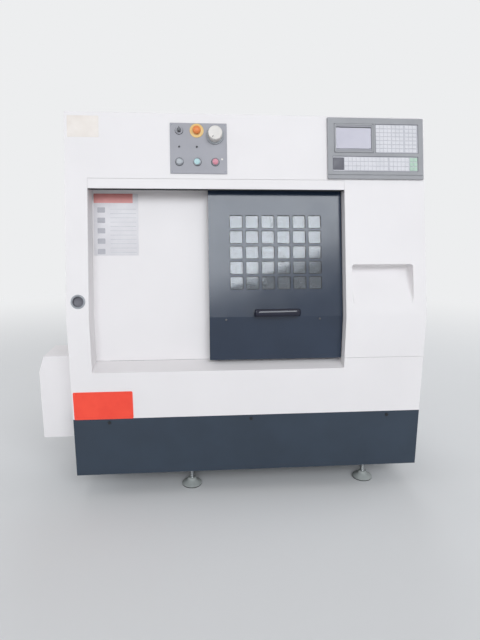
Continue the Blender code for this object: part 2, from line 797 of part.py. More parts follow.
def make_front_cover():
    """Left column, header, right column and lower panel, folded from one sheet."""
    panel = (PANEL_LEFT + PANEL_BORDER, PANEL_BOTTOM + PANEL_BORDER,
             PANEL_RIGHT - PANEL_BORDER, PANEL_TOP - PANEL_BORDER)
    unit = (UNIT_LEFT + UNIT_BORDER, UNIT_BOTTOM + UNIT_BORDER,
            UNIT_RIGHT - UNIT_BORDER, UNIT_TOP - UNIT_BORDER)
    columns = sorted((-HALF_WIDTH, RECESS_LEFT, panel[0], panel[2], unit[0], RECESS_RIGHT,
                      unit[2], HALF_WIDTH))
    seam = (SEAM_LEVEL - SEAM_GAP / 2, SEAM_LEVEL + SEAM_GAP / 2)
    levels = sorted((SKIRT_LEVEL, SILL_LEVEL, seam[0], seam[1], 0.0, RECESS_TOP, unit[1],
                     panel[1], panel[3], unit[3], SLOPE_TOP))

    def is_open(across, level):
        in_recess = RECESS_LEFT < across < RECESS_RIGHT and SILL_LEVEL < level < RECESS_TOP
        in_seam = across > RECESS_RIGHT and seam[0] < level < seam[1]
        in_port = any(port[0] < across < port[2] and port[1] < level < port[3]
                      for port in (panel, unit))
        return in_recess or in_seam or in_port

    def fold(across, level):
        if same(abs(across), HALF_WIDTH) or same(level, SKIRT_LEVEL) or same(level, SLOPE_TOP):
            return FLANGE, 0
        on_side = same(across, RECESS_LEFT) or same(across, RECESS_RIGHT)
        if on_side and SILL_LEVEL < level < RECESS_TOP:
            return RECESS_DEPTH, SILL_RISE
        if same(level, SILL_LEVEL) and RECESS_LEFT < across < RECESS_RIGHT:
            return RECESS_DEPTH, SILL_RISE
        return 0, 0

    sheet = folded_sheet(columns, levels, 0, is_open, fold)
    cover = thicken("front_cover", sheet, SHEET, "white_enamel", FRAMES["machine"])

    upper = FRAMES["upper_front"]
    cup_place = (-HALF_WIDTH + CUP_FROM_LEFT, 0.0, CUP_LEVEL)
    start = SHEET / 2
    cup_wall = new_object("cup_wall", round_bar(CUP_RADIUS + SHEET, start, CUP_DEPTH + SHEET,
                                                "Y", cup_place), parent=upper)
    cup_hole = new_object("cup_hole", round_bar(CUP_RADIUS, -OVERRUN, CUP_DEPTH, "Y",
                                                cup_place), parent=upper)
    left = RECESS_RIGHT + POCKET_LEFT_MARGIN
    right = left + POCKET_WIDTH
    low = POCKET_BOTTOM
    high = POCKET_BOTTOM + POCKET_HEIGHT
    slope = POCKET_HEIGHT / POCKET_DEPTH
    scoop = [(-OVERRUN, low - OVERRUN * slope), (POCKET_DEPTH, high), (-OVERRUN, high)]
    shell = [(start, low - (SHEET - start) * slope), (POCKET_DEPTH + SHEET, high),
             (POCKET_DEPTH + SHEET, high + SHEET), (start, high + SHEET)]
    pocket_wall = new_object("pocket_wall", prism(shell, left - SHEET, right + SHEET),
                             parent=upper)
    pocket_hole = new_object("pocket_hole", prism(scoop, left, right), parent=upper)
    soften(pocket_hole, POCKET_CORNER, CORNER_STEPS)
    unite(cover, [cup_wall, pocket_wall])
    cut(cover, [cup_hole, pocket_hole])
    smooth(cover)


def make_rail_cover():
    """Strip over the door's rail: flush face, return below, lip behind the header."""
    low = RECESS_TOP - RAIL_COVER_HEIGHT
    high = RECESS_TOP - SEAM_GAP
    lip = RECESS_TOP + RAIL_COVER_LIP
    back = SHEET + SEAT_GAP
    outline = [(0.0, low), (0.0, high), (back, high), (back, lip), (back + SHEET, lip),
               (back + SHEET, high - SHEET), (SHEET, high - SHEET), (SHEET, low + SHEET),
               (RAIL_COVER_RETURN, low + SHEET), (RAIL_COVER_RETURN, low)]
    shape = prism(outline, RECESS_LEFT + SEAT_GAP, RECESS_RIGHT - SEAT_GAP)
    new_object("rail_cover", shape, "white_enamel", FRAMES["upper_front"])


def make_fixed_panel():
    """Panel at the back of the recess, with the doorway's folded edge."""
    left = DOOR_LEFT + DOORWAY_OVERLAP
    right = RECESS_RIGHT - DOORWAY_RIGHT_MARGIN
    low = SILL_LEVEL + DOORWAY_ABOVE_SILL
    high = RECESS_TOP - DOORWAY_BELOW_HEADER
    columns = (RECESS_LEFT - FIXED_PANEL_LAP, left, right, RECESS_RIGHT + FIXED_PANEL_LAP)
    levels = (SILL_LEVEL + SILL_RISE + SEAT_GAP, low, 0.0, high,
              RECESS_TOP + FIXED_PANEL_ABOVE_HEADER)

    def is_open(across, level):
        return left < across < right and low < level < high

    def fold(across, level):
        in_rows = low <= level <= high
        on_side = in_rows and (same(across, left) or same(across, right))
        on_end = left < across < right and (same(level, low) or same(level, high))
        return (DOORWAY_RETURN, 0) if on_side or on_end else (0, 0)

    sheet = folded_sheet(columns, levels, FIXED_FRONT, is_open, fold)
    thicken("fixed_panel", sheet, SHEET, "white_enamel", FRAMES["machine"])


def make_door():
    """Folded door with its grille, the glass, the handle, the hanger and two rollers."""
    door_frame = make_frame("door_body", (0.0, 0.0, 0.0), parent=FRAMES["machine"])
    upper = make_frame("door_upper", (0.0, 0.0, CREASE_HEIGHT), -LEAN, door_frame)
    low = SILL_LEVEL + DOOR_ABOVE_SILL
    sheet = folded_sheet((DOOR_LEFT, DOOR_RIGHT), (low, 0.0, DOOR_TOP), DOOR_SETBACK,
                         lambda across, level: False, lambda across, level: (DOOR_THICKNESS, 0))
    door = thicken("door_panel", sheet, DOOR_SHEET, "slate_enamel", door_frame)
    holes = bmesh.new()
    for i in range(GRILLE_COLUMNS):
        for j in range(GRILLE_ROWS):
            across = DOOR_CENTRE + (i - (GRILLE_COLUMNS - 1) / 2) * HOLE_PITCH_ACROSS
            level = GRILLE_CENTRE + (j - (GRILLE_ROWS - 1) / 2) * HOLE_PITCH_UP
            outline = rounded_outline(across - HOLE_WIDTH / 2, level - HOLE_HEIGHT / 2,
                                      across + HOLE_WIDTH / 2, level + HOLE_HEIGHT / 2,
                                      HOLE_CORNER, HOLE_CORNER_STEPS)
            hole = prism(outline, DOOR_SETBACK - OVERRUN, DOOR_SETBACK + OVERRUN, "Y")
            copy = bpy.data.meshes.new("hole")
            hole.to_mesh(copy)
            hole.free()
            holes.from_mesh(copy)
            bpy.data.meshes.remove(copy)
    cut(door, [new_object("grille_holes", holes, parent=upper)])

    half_across = ((GRILLE_COLUMNS - 1) * HOLE_PITCH_ACROSS + HOLE_WIDTH) / 2 + GLASS_LAP
    half_up = ((GRILLE_ROWS - 1) * HOLE_PITCH_UP + HOLE_HEIGHT) / 2 + GLASS_LAP
    front = DOOR_SETBACK + DOOR_SHEET + SEAT_GAP
    pane = prism(rounded_outline(DOOR_CENTRE - half_across, GRILLE_CENTRE - half_up,
                                 DOOR_CENTRE + half_across, GRILLE_CENTRE + half_up,
                                 HOLE_CORNER), front, front + GLASS_THICKNESS, "Y")
    new_object("door_glass", pane, "glass", upper)
    make_handle(upper)

    plate_front = DOOR_BACK + SEAT_GAP
    plate_back = plate_front + HANGER_THICKNESS
    hanger = new_object("door_hanger", block(
        (DOOR_LEFT + HANGER_SIDE_MARGIN, plate_front, DOOR_TOP - HANGER_LAP),
        (DOOR_RIGHT - HANGER_SIDE_MARGIN, plate_back, RECESS_TOP + HANGER_ABOVE_HEADER)),
        "ground_steel", upper)
    roller_level = RAIL_BOTTOM + RAIL_HEIGHT + SEAT_GAP + ROLLER_RADIUS
    roller_front = plate_back + ROLLER_SIDE_GAP
    roller_back = RAIL_BACK - ROLLER_SIDE_GAP
    places = {"roller_left": DOOR_LEFT + ROLLER_FROM_EDGE,
              "roller_right": DOOR_RIGHT - ROLLER_FROM_EDGE}
    axles = []
    for across in places.values():
        shape = round_bar(ROLLER_AXLE_RADIUS, plate_back - HANGER_THICKNESS / 2, roller_back,
                          "Y", (across, 0.0, roller_level), COARSE_STEPS)
        axles.append(new_object("axle", shape, parent=upper))
    smooth(unite(hanger, axles))
    bore = ROLLER_AXLE_RADIUS + RUNNING_GAP
    tyre = ROLLER_RADIUS - ROLLER_CHAMFER
    profile = [(roller_front, bore), (roller_front, tyre),
               (roller_front + ROLLER_CHAMFER, ROLLER_RADIUS),
               (roller_back - ROLLER_CHAMFER, ROLLER_RADIUS), (roller_back, tyre),
               (roller_back, bore)]
    for name, across in places.items():
        smooth(new_object(name, turned(profile, "Y", COARSE_STEPS, hollow=True), "dark_steel",
                          upper, (across, 0.0, roller_level)))


def make_handle(parent):
    """Bow handle: an oval bar swept from the door, along it and back."""
    half = HANDLE_LENGTH / 2 - HANDLE_THICKNESS / 2
    out = DOOR_SETBACK - HANDLE_STANDOFF
    path = [(-half, DOOR_SETBACK - SEAT_GAP)]
    for side in (-1, 1):
        for i in range(HANDLE_BEND_STEPS + 1):
            turn = math.radians(90) * i / HANDLE_BEND_STEPS
            if side > 0:
                turn = math.radians(90) - turn
            across = side * (half - HANDLE_BEND + HANDLE_BEND * math.cos(turn))
            path.append((across, out + HANDLE_BEND - HANDLE_BEND * math.sin(turn)))
    path.append((half, DOOR_SETBACK - SEAT_GAP))
    shape = bmesh.new()
    rings = []
    for (across, depth), before, after in zip(path, path[:1] + path, path[1:] + path[-1:]):
        run = (Vector(after) - Vector(before)).normalized()
        side = Vector((-run.y, run.x))
        ring = []
        for i in range(HANDLE_SIDES):
            angle = 2 * math.pi * i / HANDLE_SIDES
            offset = side * (HANDLE_THICKNESS / 2 * math.cos(angle))
            ring.append(shape.verts.new((DOOR_CENTRE + across + offset.x, depth + offset.y,
                                         HANDLE_LEVEL + HANDLE_HEIGHT / 2 * math.sin(angle))))
        rings.append(ring)
    shape.faces.new(rings[0])
    shape.faces.new(list(reversed(rings[-1])))
    for first, second in zip(rings, rings[1:]):
        for i in range(HANDLE_SIDES):
            j = (i + 1) % HANDLE_SIDES
            shape.faces.new((first[j], first[i], second[i], second[j]))
    smooth(new_object("door_handle", shape, "black_plastic", parent))


def make_door_rail():
    """Flat rail on the fixed panel, behind the header."""
    shape = block((RECESS_LEFT + RAIL_END_GAP, RAIL_BACK - RAIL_THICKNESS, RAIL_BOTTOM),
                  (RECESS_RIGHT - RAIL_END_GAP, RAIL_BACK, RAIL_BOTTOM + RAIL_HEIGHT))
    rail = new_object("door_rail", shape, "ground_steel", FRAMES["upper_front"])
    soften(rail, ROLLER_CHAMFER, 1)


def make_control_unit():
    """Control unit: bezel with sunken fields, body behind it, and the screen."""
    upper = FRAMES["upper_front"]
    bezel = new_object("control_unit", block((UNIT_LEFT, -UNIT_PROUD, UNIT_BOTTOM),
                                             (UNIT_RIGHT, -SEAT_GAP, UNIT_TOP)),
                       "bezel_grey", upper)
    soften(bezel, PANEL_EDGE, 1)
    inset = UNIT_BORDER + UNIT_BODY_GAP
    body = new_object("body", block(
        (UNIT_LEFT + inset, -UNIT_PROUD / 2, UNIT_BOTTOM + inset),
        (UNIT_RIGHT - inset, UNIT_BEHIND, UNIT_TOP - inset)), parent=upper)
    unite(bezel, [body])
    top = UNIT_TOP - SCREEN_FROM_TOP
    fields = [(UNIT_LEFT + SCREEN_FROM_LEFT, top - SCREEN_HEIGHT, SCREEN_WIDTH, SCREEN_HEIGHT),
              (UNIT_LEFT + UPPER_KEYS_FROM_LEFT, top - SCREEN_HEIGHT, UPPER_KEYS_WIDTH,
               SCREEN_HEIGHT),
              (UNIT_LEFT + LOWER_KEYS_FROM_LEFT, UNIT_BOTTOM + LOWER_KEYS_FROM_BOTTOM,
               LOWER_KEYS_WIDTH, LOWER_KEYS_HEIGHT)]
    tools = []
    for left, low, width, height in fields:
        tools.append(new_object("field", block(
            (left, -UNIT_PROUD - OVERRUN, low),
            (left + width, -UNIT_PROUD + UNIT_FIELD_DEPTH, low + height)), parent=upper))
    slot_low = UNIT_BOTTOM + UNIT_LIP_HEIGHT
    tools.append(new_object("slot", block(
        (UNIT_LEFT - OVERRUN, -UNIT_PROUD - OVERRUN, slot_low),
        (UNIT_RIGHT + OVERRUN, -UNIT_PROUD + UNIT_FIELD_DEPTH, slot_low + UNIT_LIP_SLOT)),
        parent=upper))
    cut(bezel, tools)
    left, low, width, height = fields[0]
    front = -UNIT_PROUD + UNIT_FIELD_DEPTH - SEAT_GAP
    screen = block((left + SEAT_GAP, front - SCREEN_THICKNESS, low + SEAT_GAP),
                   (left + width - SEAT_GAP, front, low + height - SEAT_GAP))
    new_object("control_screen", screen, "screen", upper)


def make_button_panel():
    """Grey panel with collars, a stop ring and two small lamps, and everything it carries."""
    upper = FRAMES["upper_front"]
    face = -SEAT_GAP - PANEL_PLATE
    columns = [PANEL_LEFT + offset for offset in PANEL_COLUMN_OFFSETS]
    button_level = PANEL_BOTTOM + BUTTON_ROW
    switch_level = PANEL_BOTTOM + SWITCH_ROW
    wheel_level = PANEL_BOTTOM + WHEEL_ROW
    lamp_level = PANEL_BOTTOM + LAMP_ROW
    plate = new_object("button_panel", block((PANEL_LEFT, face, PANEL_BOTTOM),
                                             (PANEL_RIGHT, -SEAT_GAP, PANEL_TOP)),
                       "grey_enamel", upper)
    soften(plate, PANEL_EDGE, 1)
    middle = -SEAT_GAP - PANEL_PLATE / 2
    raised = []
    holes = []
    bores = [(across, button_level, COLLAR_RADIUS, COLLAR_HEIGHT, BUTTON_RADIUS)
             for across in columns]
    bores.append((columns[0], switch_level, COLLAR_RADIUS, COLLAR_HEIGHT, KEY_RADIUS))
    bores.append((columns[1], switch_level, STOP_RING_RADIUS, STOP_RING_HEIGHT,
                  STOP_STEM_RADIUS))
    bores.append((columns[2], wheel_level, 0, 0, WHEEL_SHAFT_RADIUS))
    for across, level, outer, height, inner in bores:
        centre = (across, 0.0, level)
        if outer:
            raised.append(new_object("collar", round_bar(outer, face - height, middle, "Y",
                                                         centre), parent=upper))
        holes.append(new_object("bore", round_bar(inner + RUNNING_GAP,
                                                  face - PANEL_BORE_REACH, OVERRUN, "Y",
                                                  centre), parent=upper))
    for across in columns[:2]:
        lamp = round_bar(LAMP_RADIUS, face - LAMP_PROUD, middle, "Y",
                         (across, 0.0, lamp_level), COARSE_STEPS)
        raised.append(new_object("lamp", lamp, parent=upper))
    unite(plate, raised)
    smooth(cut(plate, holes))

    top = face - BUTTON_PROUD
    for name, across in zip(("reset_button", "start_button", "hold_button"), columns):
        profile = [(BUTTON_INSIDE + face, BUTTON_RADIUS), (top + BUTTON_EDGE, BUTTON_RADIUS),
                   (top, BUTTON_RADIUS - BUTTON_EDGE)]
        smooth(new_object(name, turned(profile, "Y"), name, upper, (across, 0.0, button_level)))
    make_key_switch((columns[0], 0.0, switch_level), face)
    make_stop_button((columns[1], 0.0, switch_level), face)
    make_handwheel((columns[2], 0.0, wheel_level), face)


def make_key_switch(place, face):
    """Lock core with its key's bow standing out."""
    upper = FRAMES["upper_front"]
    top = face - KEY_PROUD
    core = new_object("key_switch", round_bar(KEY_RADIUS, top, -SEAT_GAP, "Y", (0, 0, 0)),
                      "dark_steel", upper, place)
    fin = block((-KEY_FIN_THICKNESS / 2, top - KEY_FIN_HEIGHT, -KEY_FIN_LENGTH / 2),
                (KEY_FIN_THICKNESS / 2, top + KEY_RADIUS / 2, KEY_FIN_LENGTH / 2))
    tool = new_object("fin", fin, parent=upper, place=place)
    smooth(unite(core, [tool]))


def make_stop_button(place, face):
    """Mushroom cap on its stem."""
    neck = face - STOP_STEM_HEIGHT
    dome = [(-SEAT_GAP, STOP_STEM_RADIUS), (neck, STOP_STEM_RADIUS), (neck, STOP_CAP_RADIUS)]
    for i in range(1, STOP_CAP_STEPS + 1):
        angle = math.radians(90) * i / STOP_CAP_STEPS
        radius = 0 if i == STOP_CAP_STEPS else STOP_CAP_RADIUS * math.cos(angle)
        dome.append((neck - STOP_CAP_HEIGHT * math.sin(angle), radius))
    cap = new_object("stop_button", turned(dome, "Y"),
                     "stop_orange", FRAMES["upper_front"],
                     place)
    smooth(cap)


def make_handwheel(place, face):
    """Hand pulse wheel: ring, knob with a dished face, and a finger dimple."""
    upper = FRAMES["upper_front"]
    ring_back = face - SEAT_GAP
    ring = ring_back - WHEEL_RING_HEIGHT
    top = face - WHEEL_KNOB_HEIGHT
    edge = WHEEL_KNOB_RADIUS - WHEEL_KNOB_TAPER
    profile = [(-SEAT_GAP, WHEEL_SHAFT_RADIUS), (ring_back, WHEEL_SHAFT_RADIUS),
               (ring_back, WHEEL_RING_RADIUS), (ring, WHEEL_RING_RADIUS - WHEEL_KNOB_TAPER),
               (ring, WHEEL_KNOB_RADIUS), (top + WHEEL_KNOB_TAPER, edge),
               (top, edge - WHEEL_KNOB_TAPER), (top + WHEEL_DISH, edge * WHEEL_DISH_SHARE)]
    wheel = new_object("handwheel", turned(profile, "Y", FINE_STEPS),
                       "wheel_white", upper, place)
    dot = (WHEEL_DOT_AT * math.cos(WHEEL_DOT_TURN), 0.0, WHEEL_DOT_AT * math.sin(WHEEL_DOT_TURN))
    dimple = round_bar(WHEEL_DOT_RADIUS, top - OVERRUN, top + WHEEL_DOT_DEPTH, "Y", dot,
                       COARSE_STEPS)
    tool = new_object("dimple", dimple, parent=upper, place=place)
    smooth(cut(wheel, [tool]))


def make_tag():
    """Thin plate with four screw heads, on the lower left of the front."""
    machine = FRAMES["machine"]
    left = -HALF_WIDTH + TAG_FROM_LEFT
    right = left + TAG_WIDTH
    low = TAG_BOTTOM_HEIGHT
    high = low + TAG_HEIGHT
    face = -SEAT_GAP - TAG_THICKNESS
    shape = prism(rounded_outline(left, low, right, high, TAG_CORNER), face, -SEAT_GAP, "Y")
    tag = new_object("tag_plate", shape, "tag_red", machine)
    heads = []
    for across in (left + TAG_SCREW_INSET, right - TAG_SCREW_INSET):
        for up in (low + TAG_SCREW_INSET, high - TAG_SCREW_INSET):
            heads.append(new_object("head", round_bar(
                TAG_SCREW_RADIUS, face - TAG_SCREW_HEIGHT, face + TAG_THICKNESS / 2, "Y",
                (across, 0.0, up), COARSE_STEPS), parent=machine))
    smooth(unite(tag, heads))


def make_base():
    """Welded base with its bay for the tank, the front skirt and four feet."""
    machine = FRAMES["machine"]
    base = new_object("base_frame", block(
        (-BASE_HALF_WIDTH, BASE_FRONT, GROUND_CLEARANCE),
        (BASE_HALF_WIDTH, BASE_BACK, BASE_TOP)), "slate_enamel", machine)
    soften(base, BASE_EDGE, 1)
    bay = block((BAY_LEFT, BAY_FRONT, GROUND_CLEARANCE - OVERRUN),
                (BAY_RIGHT, BAY_BACK, BASE_TOP + OVERRUN))
    cut(base, [new_object("bay", bay, parent=machine)])

    levels = (GROUND_CLEARANCE - CREASE_HEIGHT, SKIRT_LEVEL - SEAT_GAP)
    sheet = folded_sheet((-HALF_WIDTH, HALF_WIDTH), levels, 0, lambda across, level: False,
                         lambda across, level: (SKIRT_RETURN, 0))
    thicken("skirt_panel", sheet, SHEET, "slate_enamel", machine)

    rear = CABINET_DEPTH - FOOT_REAR_INSET
    feet = {"foot_front_left": (FOOT_FRONT_LEFT, FOOT_FRONT_DEPTH),
            "foot_front_right": (FOOT_FRONT_RIGHT, FOOT_FRONT_DEPTH),
            "foot_rear_left": (-FOOT_REAR_SIDE, rear),
            "foot_rear_right": (FOOT_REAR_SIDE, rear)}
    nut_top = GROUND_CLEARANCE - SEAT_GAP
    nut_low = nut_top - FOOT_NUT_HEIGHT
    profile = [(0, FOOT_RADIUS), (FOOT_RIM_HEIGHT, FOOT_RADIUS),
               (FOOT_PAD_HEIGHT, FOOT_NUT_RADIUS), (FOOT_PAD_HEIGHT, FOOT_STEM_RADIUS),
               (nut_low, FOOT_STEM_RADIUS), (nut_low, FOOT_NUT_RADIUS),
               (nut_top, FOOT_NUT_RADIUS)]
    for name, (across, depth) in feet.items():
        foot = new_object(name, turned(profile, "Z", COARSE_STEPS), "dark_steel", machine,
                          (across, depth, 0.0))
        smooth(foot)


def side_outline():
    """Side panel: follows the front's profile behind its flange."""
    depth = FLANGE + SEAT_GAP
    back = CABINET_DEPTH - SHEET - SEAT_GAP
    crease = profile_point(0, 0, depth)
    top = LEAN_BACK + depth / math.cos(LEAN)
    return [(depth, SKIRT_TOP), (back, SKIRT_TOP), (back, CABINET_TOP), (top, CABINET_TOP),
            (crease.y, crease.z)]


def make_enclosure():
    """Side, rear and roof panels."""
    machine = FRAMES["machine"]
    inner = SIDE_FACE - SHEET
    new_object("right_side_panel", prism(side_outline(), inner, SIDE_FACE), "white_enamel",
               machine)
    left = new_object("left_side_panel", prism(side_outline(), -SIDE_FACE, -inner),
                      "white_enamel", machine)
    port_half = MOTOR_HALF_SIZE + MOTOR_PORT_MARGIN
    port = block((-HALF_WIDTH - OVERRUN, MOTOR_DEPTH - port_half, SKIRT_TOP - OVERRUN),
                 (-inner + OVERRUN, MOTOR_DEPTH + port_half, MOTOR_PORT_TOP))
    cut(left, [new_object("port", port, parent=machine)])
    rear = block((-HALF_WIDTH, CABINET_DEPTH - SHEET, SKIRT_TOP),
                 (HALF_WIDTH, CABINET_DEPTH, CABINET_TOP))
    new_object("rear_panel", rear, "white_enamel", machine)
    edge = inner - SEAT_GAP
    top = CABINET_TOP - ROOF_DROP
    run = [(-edge, top - ROOF_FLANGE), (-edge, top), (edge, top), (edge, top - ROOF_FLANGE)]
    roof = prism(strip_outline(run, -SHEET), LEAN_BACK + FLANGE + SEAT_GAP,
                 CABINET_DEPTH - SHEET - SEAT_GAP, "Y")
    new_object("roof_panel", roof, "white_enamel", machine)


def make_motor_cover():
    """Folded cover over the motor's end, open towards the cabinet."""
    inner = -SIDE_FACE - SEAT_GAP
    outer = -HALF_WIDTH - MOTOR_COVER_OUT
    upper = -HALF_WIDTH - MOTOR_COVER_TOP_OUT
    outline = [(inner, MOTOR_COVER_BOTTOM), (inner, MOTOR_COVER_TOP), (upper, MOTOR_COVER_TOP),
               (outer, MOTOR_COVER_SHOULDER), (outer, MOTOR_COVER_BOTTOM)]
    shape = prism(outline, MOTOR_COVER_FRONT, MOTOR_COVER_FRONT + MOTOR_COVER_DEPTH, "Y")
    bmesh.ops.recalc_face_normals(shape, faces=shape.faces[:])
    mouth = [face for face in shape.faces if face.normal.x > FACING_SHARE]
    bmesh.ops.delete(shape, geom=mouth, context="FACES_ONLY")
    thicken("motor_cover", shape, SHEET, "white_enamel", FRAMES["machine"])


def bed_point(up_slope, off_face):
    """Depth and height of a place on the bed, along its face and square to it."""
    root_depth = SPINDLE_DEPTH + CENTRE_HEIGHT * math.sin(BED_SLANT)
    root_height = SPINDLE_HEIGHT - CENTRE_HEIGHT * math.cos(BED_SLANT)
    return (root_depth + up_slope * math.cos(BED_SLANT) - off_face * math.sin(BED_SLANT),
            root_height + up_slope * math.sin(BED_SLANT) + off_face * math.cos(BED_SLANT))


def make_bed():
    """Slanted cast bed, cored from both ends, with the screw's bearing block."""
    machine = FRAMES["machine"]
    low = bed_point(BED_FACE_LOW, 0)
    high = bed_point(BED_FACE_HIGH, 0)
    outline = [(BED_FRONT, SKIRT_TOP), (BED_BACK, SKIRT_TOP), (BED_BACK, high[1]), high, low,
               (BED_FRONT, BED_CHEEK_HEIGHT)]
    bed = new_object("bed", prism(outline, BED_LEFT, BED_RIGHT), "cast_paint", machine)
    soften(bed, BED_EDGE, 1)
    core = inset_outline(outline, BED_WALL)
    middle = (BED_LEFT + BED_RIGHT) / 2
    tools = []
    for start, end in ((BED_LEFT - OVERRUN, middle - BED_WEB / 2),
                       (middle + BED_WEB / 2, BED_RIGHT + OVERRUN)):
        tools.append(new_object("core", prism(core, start, end), parent=machine))
    cut(bed, tools)
    plane = FRAMES["bed_plane"]
    bearing = block((BEARING_BLOCK_LEFT, -BEARING_BLOCK_HALF_WIDTH, -OVERRUN),
                    (BEARING_BLOCK_LEFT + BEARING_BLOCK_LENGTH, BEARING_BLOCK_HALF_WIDTH,
                     BEARING_BLOCK_HEIGHT))
    boss = soften(new_object("boss", bearing, parent=plane), BED_EDGE, 1)
    unite(bed, [boss])
    bore = round_bar(Z_SCREW_RADIUS + SEAT_GAP, BEARING_BLOCK_LEFT - OVERRUN,
                     BEARING_BLOCK_LEFT + BEARING_BLOCK_LENGTH + OVERRUN, "X",
                     (0.0, 0.0, Z_SCREW_HEIGHT))
    cut(bed, [new_object("bore", bore, parent=plane)])


def make_headstock():
    """Headstock casting: a foot that rises into the round spindle housing."""
    plane = FRAMES["bed_plane"]
    outline = [(-HEAD_FOOT_HALF_WIDTH, SEAT_GAP), (HEAD_FOOT_HALF_WIDTH, SEAT_GAP),
               (HEAD_FOOT_HALF_WIDTH, HEAD_FOOT_HEIGHT)]
    for i in range(HEAD_ARC_STEPS + 1):
        angle = HEAD_ARC_FROM + (math.pi - 2 * HEAD_ARC_FROM) * i / HEAD_ARC_STEPS
        outline.append((HEAD_RADIUS * math.cos(angle),
                        CENTRE_HEIGHT + HEAD_RADIUS * math.sin(angle)))
    outline.append((-HEAD_FOOT_HALF_WIDTH, HEAD_FOOT_HEIGHT))
    head = new_object("headstock", prism(outline, HEAD_LEFT, HEAD_RIGHT), "cast_paint", plane)
    soften(head, BED_EDGE, 1)
    bore = round_bar(HEAD_BORE_RADIUS, HEAD_LEFT - OVERRUN, HEAD_RIGHT + OVERRUN, "X",
                     (0.0, 0.0, CENTRE_HEIGHT), FINE_STEPS)
    smooth(cut(head, [new_object("bore", bore, parent=plane)]))


def make_spindle():
    """Hollow spindle with its bearing lands, its pulley, the chuck and the jaws."""
    spindle_line = make_frame("spindle_line", (0.0, SPINDLE_DEPTH, SPINDLE_HEIGHT),
                              parent=FRAMES["machine"])
    land = HEAD_BORE_RADIUS - SEAT_GAP
    nose = SPINDLE_NOSE_BACK
    profile = [(SPINDLE_TAIL_END, BAR_RADIUS), (SPINDLE_TAIL_END, SPINDLE_TAIL_RADIUS),
               (HEAD_LEFT, SPINDLE_TAIL_RADIUS), (HEAD_LEFT, land),
               (HEAD_LEFT + SPINDLE_LAND_LENGTH, land),
               (HEAD_LEFT + SPINDLE_LAND_LENGTH, SPINDLE_RADIUS),
               (HEAD_RIGHT - SPINDLE_LAND_LENGTH, SPINDLE_RADIUS),
               (HEAD_RIGHT - SPINDLE_LAND_LENGTH, land), (nose, land),
               (nose, SPINDLE_NOSE_RADIUS), (nose + SPINDLE_NOSE_LENGTH, SPINDLE_NOSE_RADIUS),
               (nose + SPINDLE_NOSE_LENGTH, BAR_RADIUS)]
    spindle = new_object("spindle", turned(profile, "X", FINE_STEPS, hollow=True),
                         "ground_steel", spindle_line)
    smooth(spindle)
    chuck_profile = [(CHUCK_BACK, CHUCK_BORE_RADIUS), (CHUCK_BACK, CHUCK_RADIUS),
                     (CHUCK_FACE - CHUCK_CHAMFER, CHUCK_RADIUS),
                     (CHUCK_FACE, CHUCK_RADIUS - CHUCK_CHAMFER),
                     (CHUCK_FACE, CHUCK_BORE_RADIUS)]
    chuck = new_object("chuck_body", turned(chuck_profile, "X", FINE_STEPS, hollow=True),
                       "ground_steel", spindle_line)
    grooves = []
    for i in range(JAW_COUNT):
        turn = Matrix.Rotation(2 * math.pi * i / JAW_COUNT, 4, "X")
        groove = block((CHUCK_FACE - JAW_GROOVE_DEPTH, -JAW_WIDTH / 2 - SEAT_GAP, 0.0),
                       (CHUCK_FACE + OVERRUN, JAW_WIDTH / 2 + SEAT_GAP,
                        CHUCK_RADIUS + OVERRUN))
        groove.transform(turn)
        grooves.append(new_object("groove", groove, parent=spindle_line))
    smooth(cut(chuck, grooves))
    back = CHUCK_FACE - JAW_GROOVE_DEPTH + SEAT_GAP
    outline = [(back, JAW_INNER), (CHUCK_FACE + JAW_TIP_PROUD, JAW_INNER),
               (CHUCK_FACE + JAW_TIP_PROUD, JAW_STEP),
               (CHUCK_FACE + JAW_BASE_PROUD, JAW_STEP),
               (CHUCK_FACE + JAW_BASE_PROUD, JAW_OUTER), (back, JAW_OUTER)]
    for i in range(JAW_COUNT):
        jaw = prism(outline, -JAW_WIDTH / 2, JAW_WIDTH / 2, "Y")
        jaw.transform(Matrix.Rotation(2 * math.pi * i / JAW_COUNT, 4, "X"))
        made = new_object("chuck_jaw_%d" % (i + 1), jaw, "dark_steel", spindle_line)
        soften(made, JAW_EDGE, 1)
    make_pulley("spindle_pulley", SPINDLE_PULLEY_RADIUS, SPINDLE_TAIL_RADIUS, spindle_line)


def make_pulley(name, radius, shaft_radius, parent):
    """Flat belt pulley with two cheeks, bored for its shaft."""
    bore = shaft_radius + PULLEY_HUB_GAP
    cheek = radius + PULLEY_CHEEK_HEIGHT
    profile = [(PULLEY_LEFT, bore), (PULLEY_LEFT, cheek), (PULLEY_LEFT + PULLEY_CHEEK, cheek),
               (PULLEY_LEFT + PULLEY_CHEEK, radius), (PULLEY_RIGHT - PULLEY_CHEEK, radius),
               (PULLEY_RIGHT - PULLEY_CHEEK, cheek), (PULLEY_RIGHT, cheek),
               (PULLEY_RIGHT, bore)]
    pulley = new_object(name, turned(profile, "X", FINE_STEPS, hollow=True), "ground_steel",
                        parent)
    smooth(pulley)


